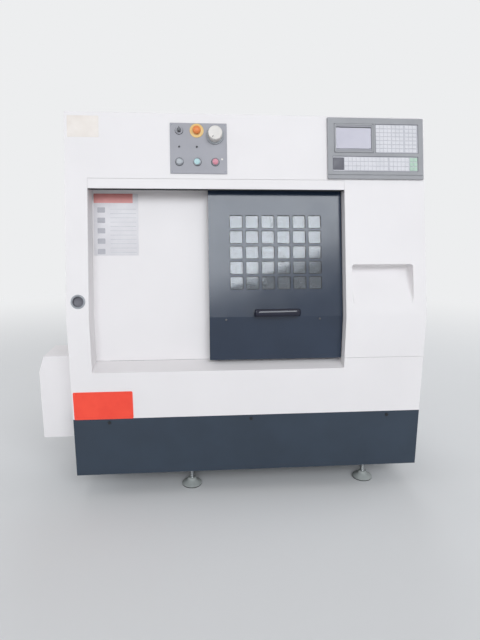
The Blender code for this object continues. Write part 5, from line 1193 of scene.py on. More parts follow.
@dataclass
class Cabinet:
    """Sheet-metal covers with their hatches, louvres, screws, and the cup in the left column."""

    covers: tuple[str, ...] = (
        "front_cover", "fixed_panel", "rail_cover", "left_side_panel", "right_side_panel", "roof_panel",
        "motor_cover",
    )
    edge_mm: float = 1.0
    right_face: float = 0.882
    left_face: float = -0.712
    rear_face: float = 0.4391
    roof_top: float = 1.717
    screw: Fastener = Fastener(0.0055, 0.0022, Drive.SOCKET, ZINC)
    rear_edge: float = 0.860
    rear_screws_height: float = 1.052
    rear_screws_span: Pair = (0.440, 1.240)
    vent_middle: Pair = (-0.463, 0.760)
    vent_rows: int = 11
    vent_pitch: float = 0.034
    slit: Sizes = (0.290, 0.007, -0.006, 0.004)
    hood: Sizes = (0.300, 0.020, 0.007)
    hood_shift: Pair = (0.0095, -0.0002)
    hatch_middle: Pair = (-0.02, 1.10)
    hatch_size: Pair = (0.46, 0.52)
    hatch_corner: float = 0.012
    hatch_section: Section = ((0.0, -0.0004), (0.0, 0.0014), (0.0008, 0.0020))
    hatch_screw_inset: float = 0.030
    hatch_screw_lift: float = 0.0002
    seal_lap: float = 0.006
    seal_corner: float = 0.014
    seal_section: Section = ((0.0, -0.0004), (0.0, 0.0007))
    latch_radius: float = 0.0120
    latch_heads: Pair = (0.0022, 0.0060)
    latch_shares: Pair = (0.40, 0.5)
    latch_lift: float = 0.0006
    belt_vent: Sizes = (0.24, 0.018, 0.006)
    belt_vents: Grid = Grid(1, 7, 0.0, 0.18)
    belt_vents_place: Place = (-0.03, 0.10, 0.0016)
    border_middle: Pair = (-0.10, 0.62)
    border_span: Pair = (0.80, 0.36)
    motor_vents_middle: Place = (-0.8848, -0.3794, 0.4495)
    motor_vents: Grid = Grid(1, 7, 0.0, 0.150)
    # Black slots on the uncut motor cover: painted shade where its vents open into the dark inside.
    motor_slot: Sizes = (0.110, 0.007, -0.004, 0.0002, 0.0001)
    roof_middle: Pair = (0.085, 0.02)
    mist_cover: Section = ((0.085, -0.0004), (0.085, 0.0016), (0.083, 0.0022), (0.078, 0.0022))
    mist_cover_screws: Pair = (0.072, 0.0004)
    eye_plug: Fastener = Fastener(0.016, 0.0024, Drive.PLUG, BLACK_NYLON, HEAD_STEPS)
    eye_span: Pair = (1.36, 0.60)
    roof_screws_span: Pair = (1.50, 0.76)
    cup_place: Pair = (-0.750, 0.079)
    cup_radius: float = 0.026
    cup_rim_radius: float = 0.031
    cup_rim_proud: float = 0.003

    def build(self) -> None:
        """Dresses the covers and fits everything that is screwed to them."""
        for node in self.covers:
            refined(node, WHITE_COAT, self.edge_mm)
        self._rear()
        self._sides()
        self._roof()
        self._cup()

    def _rear(self) -> None:
        """Cuts the vent slits in the rear panel and fits its hoods and screws."""
        across, height = self.vent_middle
        seat = facing((across, self.rear_face, height), BACK)
        rows = Grid(1, self.vent_rows, 0.0, self.vent_pitch * (self.vent_rows - 1))
        refined("rear_panel", WHITE_COAT, 0.0, cuts=[rows.of(WHITE_COAT, seat, block(*self.slit))])
        parts = [rows.of(WHITE_COAT, at(seat, 0, *self.hood_shift), louvre(*self.hood))]
        span_across, span_up = self.rear_screws_span
        for middle, columns, span in ((across, 2, span_across), (self.rear_edge, 1, 0.0)):
            place = facing((middle, self.rear_face, self.rear_screws_height), BACK)
            parts.append(self.screw.grid(columns, 5, span, span_up, place))
        make_piece("rear_fittings", parts)

    def _hatch(self, seat: Matrix, latch_head: float) -> list[Part]:
        """Builds a flush hatch with a dark seal line, screws and two latches.

        Args:
            seat: The hatch's middle, with Z out of the panel.
            latch_head: How far the latches stand out.

        Returns:
            The hatch's shapes.
        """
        width, height = self.hatch_size
        lap, inset = self.seal_lap, self.hatch_screw_inset
        across, apart = self.latch_shares
        lid = plate(width, height, self.hatch_corner, self.hatch_section)
        dark_outline = plate(width + lap, height + lap, self.seal_corner, self.seal_section)
        latch = Fastener(self.latch_radius, latch_head, Drive.CROSS, BLACK_NYLON, HEAD_STEPS)
        return [
            put(lid, WHITE_COAT, seat),
            put(dark_outline, RUBBER, seat),
            self.screw.grid(2, 3, width - inset, height - inset, at(seat, 0, 0, self.hatch_screw_lift)),
            latch.grid(1, 2, 0.0, height * apart, at(seat, width * across, 0, self.latch_lift)),
        ]

    def _sides(self) -> None:
        """Fits both sides' hatches and border screws, the belt hatch's louvres, and black slots on the motor
        cover as painted shade of its vents.
        """
        faces = ((self.right_face, RIGHT, "right"), (self.left_face, LEFT, "left"))
        for (face, outward, side), latch_head in zip(faces, self.latch_heads):
            seat = facing((face, *self.hatch_middle), outward)
            parts = self._hatch(seat, latch_head)
            if side == "left":
                place = at(seat, *self.belt_vents_place)
                parts.append(self.belt_vents.of(WHITE_COAT, place, louvre(*self.belt_vent)))
            border = facing((face, *self.border_middle), outward)
            parts.append(self.screw.grid(2, 4, *self.border_span, border))
            make_piece(f"{side}_side_fittings", parts)
        # The black slots laid here are painted shade of the cover's vents.
        cowl = facing(self.motor_vents_middle, LEFT)
        slots = self.motor_vents.of(BLACK_NYLON, cowl, block(*self.motor_slot))
        make_piece("motor_cover_vents", [slots])

    def _roof(self) -> None:
        """Fits the mist outlet's blanking cover, the lifting-eye plugs and the screws of the roof."""
        seat = facing((*self.roof_middle, self.roof_top), UP)
        reach, lift = self.mist_cover_screws
        parts = [
            put(turned(self.mist_cover, RIM_STEPS), WHITE_COAT, seat),
            self.screw.circle(8, reach, at(seat, 0, 0, lift)),
            self.eye_plug.grid(2, 2, *self.eye_span, seat),
            self.screw.grid(6, 2, *self.roof_screws_span, seat),
        ]
        make_piece("roof_fittings", parts)

    def _cup(self) -> None:
        """Builds the pale rim and the dark liner of the cup in the left column."""
        inner, outer, proud = self.cup_radius, self.cup_rim_radius, self.cup_rim_proud
        rim = [(inner - 0.0025, 0.0), (outer, 0.0), (outer - 0.0006, proud * 0.7)]
        rim += [(outer - 0.002, proud), (inner - 0.001, proud), (inner - 0.0025, proud * 0.6)]
        liner = [(inner - 0.003, -0.0148), (inner - 0.003, 0.001), (inner - 0.0045, 0.001)]
        liner += [(inner - 0.0055, -0.0105), (inner - 0.0110, -0.0125)]
        parts = [(turned(rim, RIM_STEPS, hollow=True), DIAL_GREY), (turned(liner), DARK_ABS)]
        make_piece("cup_liner", parts, seat=FRONT.seat(*self.cup_place))


@dataclass
class Base:
    """Welded base with its skirt, screws and levelling feet."""

    edge_mm: float = 2.0
    skirt_edge_mm: float = 0.8
    screws_place: Pair = (0.001, -0.474)
    screws_span: float = 1.284
    screw: Fastener = Fastener(0.0085, 0.0035, Drive.HEXAGON, BLACK_NYLON)
    feet: tuple[tuple[str, Pair], ...] = (
        ("foot_front_left", (-0.192, -0.5139)), ("foot_front_right", (0.657, -0.5139)),
        ("foot_rear_left", (-0.555, 0.3491)), ("foot_rear_right", (0.725, 0.3491)),
    )
    pad_radius: float = 0.047
    stud_radius: float = 0.0112
    stud_span: Pair = (0.034, 0.1117)
    thread_turns: float = 17.0
    thread_length: float = 0.045
    thread_ridge: float = 0.0009
    thread_foot: float = 0.038
    nut_radius: float = 0.0205
    nuts: tuple[Pair, ...] = ((0.0957, 0.0158), (0.0835, 0.0095))

    def build(self) -> None:
        """Dresses base and skirt, and fits screws and feet."""
        refined("base_frame", BASE_ENAMEL, self.edge_mm)
        refined("skirt_panel", BASE_ENAMEL, self.skirt_edge_mm)
        screws = self.screw.grid(3, 1, self.screws_span, 0.0, FRONT.seat(*self.screws_place))
        make_piece("skirt_screws", [screws])
        for node, place in self.feet:
            self._foot(node, Matrix.Translation((*place, 0.0)))

    def _foot(self, node: str, seat: Matrix) -> None:
        """Builds one levelling foot: rubber sole, cast pad, threaded stud and two nuts.

        Args:
            node: The CAD foot that it stands for.
            seat: The foot's middle on the floor.
        """
        pad, stud = self.pad_radius, self.stud_radius
        sole = [(pad - 0.002, 0.0), (pad - 0.0005, 0.001), (pad - 0.0005, 0.0045), (pad - 0.003, 0.005)]
        cone = [(pad - 0.001, 0.004), (pad, 0.0055), (pad, 0.0095), (pad - 0.003, 0.012)]
        cone += [(0.024, 0.024), (0.020, 0.031), (0.0185, 0.036), (stud + 0.001, 0.037)]
        rod = [(stud, height) for height in self.stud_span]
        thread = Thread(self.thread_turns, stud, self.thread_length, self.thread_ridge)
        parts = [
            (turned(cone), FOOT_IRON),
            (turned(sole), RUBBER),
            (turned(rod, SMALL_STEPS), ZINC),
            thread.of(ZINC, at(HERE, 0, 0, self.thread_foot)),
        ]
        for height, thickness in self.nuts:
            nut = Fastener(self.nut_radius, thickness, Drive.HEXAGON, ZINC)
            parts.append(nut.one(at(HERE, 0, 0, height)))
        make_piece(f"{node}_levelling", parts, MACHINE, (node,), seat)


@dataclass
class SlidingDoor:
    """The bent sliding door: panel with its grille, window, gasket, handle, screws and hanger."""

    middle: float = 0.120
    front_depth: float = 0.050
    bend_stays_crisp: float = math.radians(6)
    glass_front: float = 0.0523
    glass_back: float = 0.0573
    glass_level: float = 0.297
    glass_size: Pair = (0.460, 0.376)
    gasket_corner: float = 0.008
    gasket: Section = ((0.0, 0.0), (0.0, 0.004), (0.003, 0.005), (0.010, 0.005), (0.011, 0.0))
    clip: Sizes = (0.016, 0.022, 0.0, 0.0065)
    clip_insets: Pair = (0.060, 0.004)
    window_columns: int = 6
    window_rows: int = 5
    window_pitch: Pair = (0.0719, 0.0692)
    window: Place = (0.0602, 0.0592, 0.007)
    # Black rings inside the window openings: painted shade of the cut sheet's edges.
    seal_width: float = 0.0022
    seal_height: float = 0.0016
    hanger_front: float = 0.0783
    hanger_bolt: Fastener = Fastener(0.0062, 0.0040, Drive.HEXAGON, ZINC)
    hanger_bolts_level: float = 0.604
    hanger_bolts_span: float = 0.450
    axle_level: float = 0.6583
    axle_span: float = 0.490
    # A black strip along the rail cover's lower edge: painted shadow of the cover's underside above the door.
    brush_place: Place = (-0.1385, 0.5683, -0.004)
    brush: Sizes = (1.128, 0.0035, 0.0, 0.012)
    screw: Fastener = Fastener(0.005, 0.002, Drive.CROSS, BLACK_OXIDE)
    screws_shift: float = -0.0155
    screws_level: float = -0.018
    screws_span: float = 0.429
    handle_level: float = 0.022
    handle_length: float = 0.212
    handle_half_height: float = 0.017
    handle_half_thickness: float = 0.0075
    handle_standoff: float = 0.040
    handle_bend: float = 0.018
    handle_bend_steps: int = 8

    def build(self) -> None:
        """Dresses the door and what hangs on it."""
        refined("door_panel", DOOR_ENAMEL, 0.7, crisp=self.bend_stays_crisp)
        refined("door_glass", WINDOW)
        refined("door_hanger", ZINC, 0.3)
        refined("roller_left", BLACK_NYLON, 0.4)
        refined("roller_right", BLACK_NYLON, 0.4)
        refined("door_rail", GROUND_STEEL, 0.5)
        # The black strip under the rail cover is painted shadow, not a working part.
        brush = put(block(*self.brush), RUBBER, spun(FRONT.seat(*self.brush_place), math.pi, "Y"))
        make_piece("track_brush", [brush])
        self._handle()
        self._fittings()
        seat = FRONT.seat(self.middle + self.screws_shift, self.screws_level, -self.front_depth)
        make_piece("door_screws", [self.screw.grid(2, 1, self.screws_span, 0.0, seat)], "door")

    def _handle(self) -> None:
        """Builds the moulded pull: an oval bar whose ends bend back to the door."""
        reach = self.handle_length / 2 - self.handle_half_thickness
        bend, bends = self.handle_bend, self.handle_bend_steps
        points = [Vector((-reach, 0, 0))]
        for side in (-1, 1):
            for step in range(bends + 1)[::-side]:
                angle = QUARTER_TURN * step / bends
                across = side * (reach - bend * (1 - math.cos(angle)))
                points.append(Vector((across, 0, self.handle_standoff - bend * (1 - math.sin(angle)))))
        points.append(Vector((reach, 0, 0)))
        bar = swept(points, self.handle_half_thickness, self.handle_half_height, Vector((0, 1, 0)))
        seat = FRONT.seat(self.middle, self.handle_level, -self.front_depth)
        make_piece("door_pull", [(bar, GLOSS_BLACK)], "door", ("door_handle",), seat)

    def _fittings(self) -> None:
        """Builds the gasket and clips behind the glass, the hanger's bolts, and black rings in the windows as
        painted shade of the cut edges.
        """
        width, height = self.glass_size
        inside = spun(FRONT.seat(self.middle, self.glass_level, -self.glass_back), math.pi, "Y")
        clip_width, clip_height = self.clip_insets
        clips = Grid(5, 2, width - clip_width, height - clip_height)
        bolt = self.hanger_bolt
        bolts, axles = (
            FRONT.seat(self.middle, level, -self.hanger_front)
            for level in (self.hanger_bolts_level, self.axle_level)
        )
        parts = [
            put(plate(width, height, self.gasket_corner, self.gasket, hollow=True), RUBBER, inside),
            clips.of(ZINC, inside, block(*self.clip)),
            bolt.grid(4, 1, self.hanger_bolts_span, 0.0, bolts),
            bolt.grid(2, 1, self.axle_span, 0.0, axles),
        ]
        make_piece("door_fittings", parts, "door")
        front = FRONT.seat(self.middle, self.glass_level, -self.glass_front)
        columns, rows = self.window_columns, self.window_rows
        pitch_across, pitch_up = self.window_pitch
        windows = Grid(columns, rows, (columns - 1) * pitch_across, (rows - 1) * pitch_up)
        # Each window opening gets a black ring: painted shade of the sheet's cut edges.
        wide, tall = self.seal_width, self.seal_height
        dark_outline = plate(*self.window, [(0.0, 0.0), (0.0, tall), (wide, tall), (wide, 0.0)], hollow=True)
        make_piece("window_seals", [windows.of(RUBBER, front, dark_outline)], "door")


@dataclass
class ControlUnit:
    """The operator's control: bezel, display and its two key fields."""

    floor: float = 0.009
    fields: tuple[tuple[float, ...], ...] = (
        (0.471, 0.7995, 0.182, 0.133), (0.6695, 0.7995, 0.199, 0.131), (0.570, 0.685, 0.394, 0.068)
    )
    field_corner: float = 0.004
    # Dark borders round the floor of each recessed field: painted shade of the recess walls.
    seam: Section = ((0.0, -0.0004), (0.0, 0.0016), (0.0018, 0.0016), (0.0018, -0.0004))
    screen_place: Pair = (0.466, 0.799)
    screen_size: Pair = (0.166, 0.092)
    screen_corner: float = 0.002
    glass: Section = ((0.0, 0.003), (0.0, 0.0034))
    frame_inset: float = 0.004
    frame_corner: float = 0.008
    frame_lip: Section = (
        (0.0, 0.0), (0.0, 0.0042), (0.001, 0.005), (0.006, 0.005), (0.0075, 0.0034), (0.0075, 0.0)
    )
    pane_inset: float = 0.018
    pane_corner: float = 0.003
    pane: Section = ((0.0, 0.0), (0.0, 0.0029), (0.0004, 0.0031))
    surround_lap: float = 0.004
    surround: Section = ((0.0, 0.003), (0.0, 0.0038), (0.0016, 0.0038), (0.0022, 0.003))
    # shade is a black strip along the screen's top edge: painted shadow under the frame's lip.
    shade_lift: float = 0.0035
    shade: Sizes = (0.0030, 0.003, 0.0044)
    sheet: Section = ((0.0, -0.0004), (0.0, 0.0004))
    sheet_insets: Pair = (0.003, 0.002)
    key_height: float = 0.0018
    key_edge: float = 0.0007
    upper_key: Pair = (0.0160, 0.0142)
    upper_pitch: float = 0.0178
    upper_rows: int = 7
    upper_groups: tuple[tuple[float, int], ...] = ((0.6075, 4), (0.6725, 3), (0.7335, 3))
    lower_key: Pair = (0.0166, 0.0178)
    lower_pitch: float = 0.0182
    lower_rows: int = 3
    lower_span: float = 0.041
    lower_groups: tuple[tuple[float, int, Finish], ...] = (
        (0.526, 11, KEY_FILM), (0.6785, 5, KEY_FILM), (0.7465, 2, KEY_GREEN)
    )
    dark_box_across: float = 0.400
    dark_box: Place = (0.050, 0.055, 0.003)
    dark_box_section: Section = ((0.0, 0.0), (0.0, 0.0014), (0.0008, 0.002))

    def build(self) -> None:
        """Dresses the unit, lays its display and keys, and draws dark borders round the key fields as painted
        shade of their recesses.
        """
        refined("control_unit", BEZEL_ABS, 1.2, 3)
        self._display()
        self._keys()
        # The dark borders laid here are painted shade of the field recesses.
        lines = []
        for across, level, width, height in self.fields:
            line = plate(width, height, self.field_corner, self.seam, hollow=True)
            lines.append(put(line, DARK_ABS, FRONT.seat(across, level, self.floor)))
        make_piece("field_seams", lines)

    def _display(self) -> None:
        """Builds the display's rounded frame, its pane, the thin dark line round the screen and a black strip
        above it as painted shadow.
        """
        across, level, width, height = self.fields[0]
        screen_width, screen_height = self.screen_size
        inset, lap = self.frame_inset, self.surround_lap
        rim = plate(width - inset, height - inset, self.frame_corner, self.frame_lip, hollow=True)
        pane = plate(width - self.pane_inset, height - self.pane_inset, self.pane_corner, self.pane)
        line = plate(screen_width + lap, screen_height + lap, self.screen_corner, self.surround, hollow=True)
        glass = plate(screen_width, screen_height, self.screen_corner, self.glass)
        screen = at(HERE, self.screen_place[0] - across, self.screen_place[1] - level)
        # The black strip placed here is painted shadow, not a part of the display.
        above = at(screen, 0, screen_height / 2 + self.shade_lift)
        parts = [
            (rim, BEZEL_ABS),
            (pane, PANEL_GREY),
            put(block(screen_width, *self.shade), BLACK_NYLON, above),
            put(line, DARK_ABS, screen),
            put(glass, SCREEN_FILM, screen),
        ]
        make_piece("display", parts, MACHINE, ("control_screen",), FRONT.seat(across, level, self.floor))

    def _sheet(self, field: Sequence[float], inset: float) -> Part:
        """Lays a key field's sheet.

        Args:
            field: The field's place and size.
            inset: How much smaller the sheet is.

        Returns:
            The sheet and its finish.
        """
        across, level, width, height = field
        sheet = plate(width - inset, height - inset, self.field_corner, self.sheet)
        return put(sheet, KEY_SHEET, FRONT.seat(across, level, self.floor))

    def _keys(self) -> None:
        """Lays the upper keys beside the display, and the long lower field with its dark box."""
        upper, lower = self.fields[1], self.fields[2]
        parts = [self._sheet(upper, self.sheet_insets[0])]
        for across, columns in self.upper_groups:
            span, rise = self.upper_pitch * (columns - 1), self.upper_pitch * (self.upper_rows - 1)
            rows = Grid(columns, self.upper_rows, span, rise)
            key = block(*self.upper_key, 0.0, self.key_height, self.key_edge)
            parts.append(rows.of(KEY_FILM, FRONT.seat(across, upper[1], self.floor), key))
        make_piece("upper_keys", parts)
        dark = plate(*self.dark_box, self.dark_box_section)
        place = FRONT.seat(self.dark_box_across, lower[1], self.floor)
        parts = [self._sheet(lower, self.sheet_insets[1]), put(dark, DARK_ABS, place)]
        for across, columns, film in self.lower_groups:
            rows = Grid(columns, self.lower_rows, self.lower_pitch * (columns - 1), self.lower_span)
            key = block(*self.lower_key, 0.0, self.key_height, self.key_edge)
            parts.append(rows.of(film, FRONT.seat(across, lower[1], self.floor), key))
        make_piece("lower_keys", parts)


@dataclass
class ButtonPanel:
    """The small grey panel: key switch, stop button, handwheel, push buttons and dots."""

    face: float = 0.0043
    columns: tuple[float, float, float] = (-0.308, -0.231, -0.151)
    button_level: float = 0.687
    dot_level: float = 0.753
    switch_level: float = 0.824
    wheel_level: float = 0.804
    row_shift: float = 0.0015
    caps: tuple[tuple[str, Finish], ...] = (
        ("reset_button", CAP_GREY), ("start_button", CAP_GREEN), ("hold_button", CAP_RED)
    )
    cap_radius: float = 0.0130
    collar_beyond_cap: Pair = (0.0013, 0.0040)
    lens: Section = ((0.0048, 0.0), (0.0048, 0.002), (0.0040, 0.0031), (0.0020, 0.0036))
    mark: Section = ((0.0045, 0.0), (0.0045, 0.0004), (0.0040, 0.0006))
    mark_place: Pair = (-0.121, 0.700)
    screw: Fastener = Fastener(0.0026, 0.0010, Drive.CROSS, SATIN_STEEL)
    screws_middle: Pair = (-0.2235, 0.7465)
    screws_span: Pair = (0.231, 0.205)
    key_ring: Section = (
        (0.0098, 0.0), (0.0165, 0.0), (0.0165, 0.0022), (0.0153, 0.0038), (0.0098, 0.0038)
    )
    # A black ring round the foot of the key switch's collar: painted shade at its edge.
    key_seal: Section = ((0.0155, 0.0), (0.0182, 0.0), (0.0178, 0.0012), (0.0155, 0.0012))
    stop_ring: Section = (
        (0.0108, 0.0), (0.0308, 0.0), (0.0308, 0.0018), (0.0300, 0.0024), (0.0108, 0.0024)
    )
    wheel_radius: float = 0.0302
    dial_beyond_knob: float = 0.0090
    rib_count: int = 60
    rib: Sizes = (0.0016, 0.0014, 0.008, 0.0362)
    tick_count: int = 50
    ticks_beyond_knob: float = 0.0058
    tick: Sizes = (0.0036, 0.0005, 0.0060, 0.0066, 0.0001)
    index_turn: float = math.radians(148)
    index_reach: float = 0.0195
    index: Place = (0.0022, 0.0085, 0.0008)
    index_section: Section = ((0.0, 0.0385), (0.0, 0.0394))

    def build(self) -> None:
        """Dresses the panel and builds everything on it."""
        refined("button_panel", PANEL_GREY, 0.5)
        self._buttons()
        self._marks()
        self._switches()
        self._handwheel()

    def _seat(self, across: float, level: float) -> Matrix:
        """Gives a place on the panel's face."""
        return FRONT.seat(across, level, self.face)

    def _buttons(self) -> None:
        """Builds the three push buttons, their collars and caps, with a black ring round each collar's foot
        as painted shade.
        """
        middle = self._seat(self.columns[1] + self.row_shift, self.button_level)
        row = Grid(3, 1, self.columns[2] - self.columns[0], 0.0)
        cap = self.cap_radius
        inner, outer = (cap + beyond for beyond in self.collar_beyond_cap)
        collar = [(inner, 0.0), (outer, 0.0), (outer, 0.0034), (outer - 0.0008, 0.005), (inner, 0.0056)]
        # A black ring at the foot of each collar: painted shade that outlines the collar.
        dark_outline = [(outer - 0.001, 0.0), (outer + 0.0016, 0.0)]
        dark_outline += [(outer + 0.0012, 0.0010), (outer - 0.001, 0.0010)]
        dome = [(cap, -0.002), (cap, 0.0082), (cap - 0.0006, 0.0094), (cap - 0.0018, 0.0100)]
        dome += [(cap - 0.0040, 0.0096), (cap - 0.0090, 0.0092)]
        parts = [
            row.of(SATIN_STEEL, middle, turned(collar, hollow=True)),
            row.of(BLACK_NYLON, middle, turned(dark_outline, hollow=True)),
        ]
        make_piece("button_collars", parts)
        for (node, finish), across in zip(self.caps, self.columns):
            seat = self._seat(across, self.button_level)
            make_piece(f"{node}_cap", [(turned(dome), finish)], node, (node,), seat)

    def _marks(self) -> None:
        """Builds the two dark pilot lenses, the pale mark and the corner screws."""
        left, right = self.columns[:2]
        middle = self._seat((left + right) / 2, self.dot_level)
        parts = [
            Grid(2, 1, right - left, 0.0).of(BLACK_NYLON, middle, turned(self.lens, FEW_STEPS)),
            put(turned(self.mark, FEW_STEPS), KNOB_WHITE, self._seat(*self.mark_place)),
            self.screw.grid(2, 2, *self.screws_span, self._seat(*self.screws_middle)),
        ]
        make_piece("panel_marks", parts)

    def _switches(self) -> None:
        """Builds the key switch's ring, its key and a black ring round it as painted shade, and the stop
        button's ring and mushroom cap.
        """
        lock = self._seat(self.columns[0], self.switch_level)
        # The black ring round the key switch's collar is painted shade at its foot.
        collar, dark_outline = turned(self.key_ring, hollow=True), turned(self.key_seal, hollow=True)
        make_piece("key_ring", [(collar, CHROME), (dark_outline, BLACK_NYLON)], seat=lock)
        refined("key_switch", BLACK_OXIDE, 0.4)
        stop = self._seat(self.columns[1], self.switch_level)
        make_piece("stop_ring", [(turned(self.stop_ring, RIM_STEPS, hollow=True), STOP_YELLOW)], seat=stop)
        refined("stop_button", STOP_ORANGE, 1.6, 4)

    def _handwheel(self) -> None:
        """Builds the grey dial with its ticks, the white ribbed knob and its index mark."""
        reach, dial_reach = self.wheel_radius, self.wheel_radius + self.dial_beyond_knob
        dial = [(0.010, 0.0006), (dial_reach, 0.0006), (dial_reach + 0.0002, 0.0040)]
        dial += [(dial_reach - 0.0007, 0.0060), (reach + 0.0028, 0.0064), (0.010, 0.0064)]
        knob = [(reach, 0.0060), (reach - 0.0002, 0.0370), (reach - 0.0012, 0.0392)]
        knob += [(reach - 0.0032, 0.0400), (reach - 0.0062, 0.0390), (0.008, 0.0386)]
        ribs = Ring(self.rib_count, reach)
        ticks = Ring(self.tick_count, reach + self.ticks_beyond_knob)
        parts = [
            (turned(knob, WHEEL_STEPS), KNOB_WHITE),
            (turned(dial, WHEEL_STEPS, hollow=True), DIAL_GREY),
            ribs.of(KNOB_WHITE, HERE, block(*self.rib)),
            ticks.of(BLACK_NYLON, HERE, block(*self.tick)),
        ]
        place = at(spun(HERE, self.index_turn, "Z"), 0, self.index_reach)
        parts.append(put(plate(*self.index, self.index_section), BLACK_NYLON, place))
        seat = self._seat(self.columns[2], self.wheel_level)
        make_piece("handwheel_knob", parts, "handwheel", ("handwheel",), seat)


@dataclass
class Plates:
    """The tag, the sticker and the card, all bare of words."""

    tag_screw: Fastener = Fastener(0.0040, 0.0014, Drive.CROSS, BLACK_OXIDE)
    tag_place: Place = (-0.6635, -0.3915, 0.0015)
    tag_size: Pair = (0.261, 0.129)
    tag_screw_inset: float = 0.024
    sticker_place: Pair = (-0.721, 0.8375)
    sticker: Place = (0.134, 0.093, 0.004)
    sticker_section: Section = ((0.0, 0.0), (0.0, 0.0004), (0.0002, 0.0005))
    card_place: Place = (-0.600, 0.432, -0.1003)
    card: Place = (0.198, 0.280, 0.004)
    card_section: Section = ((0.0, -0.0003), (0.0, 0.0006), (0.0002, 0.0007))
    print_section: Section = ((0.0, 0.0006), (0.0, 0.0009))
    band: Place = (0.174, 0.042, 0.002)
    lines: Grid = Grid(1, 11, 0.0, 0.196)
    lines_middle: Pair = (0.032, -0.028)
    line: Place = (0.116, 0.0022, 0.0008)
    squares: Grid = Grid(1, 5, 0.0, 0.188)
    squares_middle: Pair = (-0.066, -0.028)
    square: Place = (0.034, 0.024, 0.003)

    def build(self) -> None:
        """Dresses the tag, and lays the sticker and a ruled card with a muted band."""
        refined("tag_plate", TAG_RED, 0.2)
        width, height = (size - self.tag_screw_inset for size in self.tag_size)
        screws = self.tag_screw.grid(2, 2, width, height, FRONT.seat(*self.tag_place))
        make_piece("tag_fixings", [screws])
        sticker = plate(*self.sticker, self.sticker_section)
        make_piece("bare_sticker", [(sticker, CREAM_VINYL)], seat=FRONT.seat(*self.sticker_place))
        width, height, _ = self.card
        band_width, band_height, _ = self.band
        corner = at(HERE, (band_width - width) / 2, (height - band_height) / 2)
        line, square = plate(*self.line, self.print_section), plate(*self.square, self.print_section)
        parts = [
            (plate(*self.card, self.card_section), CARD),
            put(plate(*self.band, self.print_section), CARD_RED, corner),
            self.lines.of(CARD_LINE, at(HERE, *self.lines_middle), line),
            self.squares.of(CARD_MARK, at(HERE, *self.squares_middle), square),
        ]
        make_piece("blank_card", parts, seat=FRONT.seat(*self.card_place))


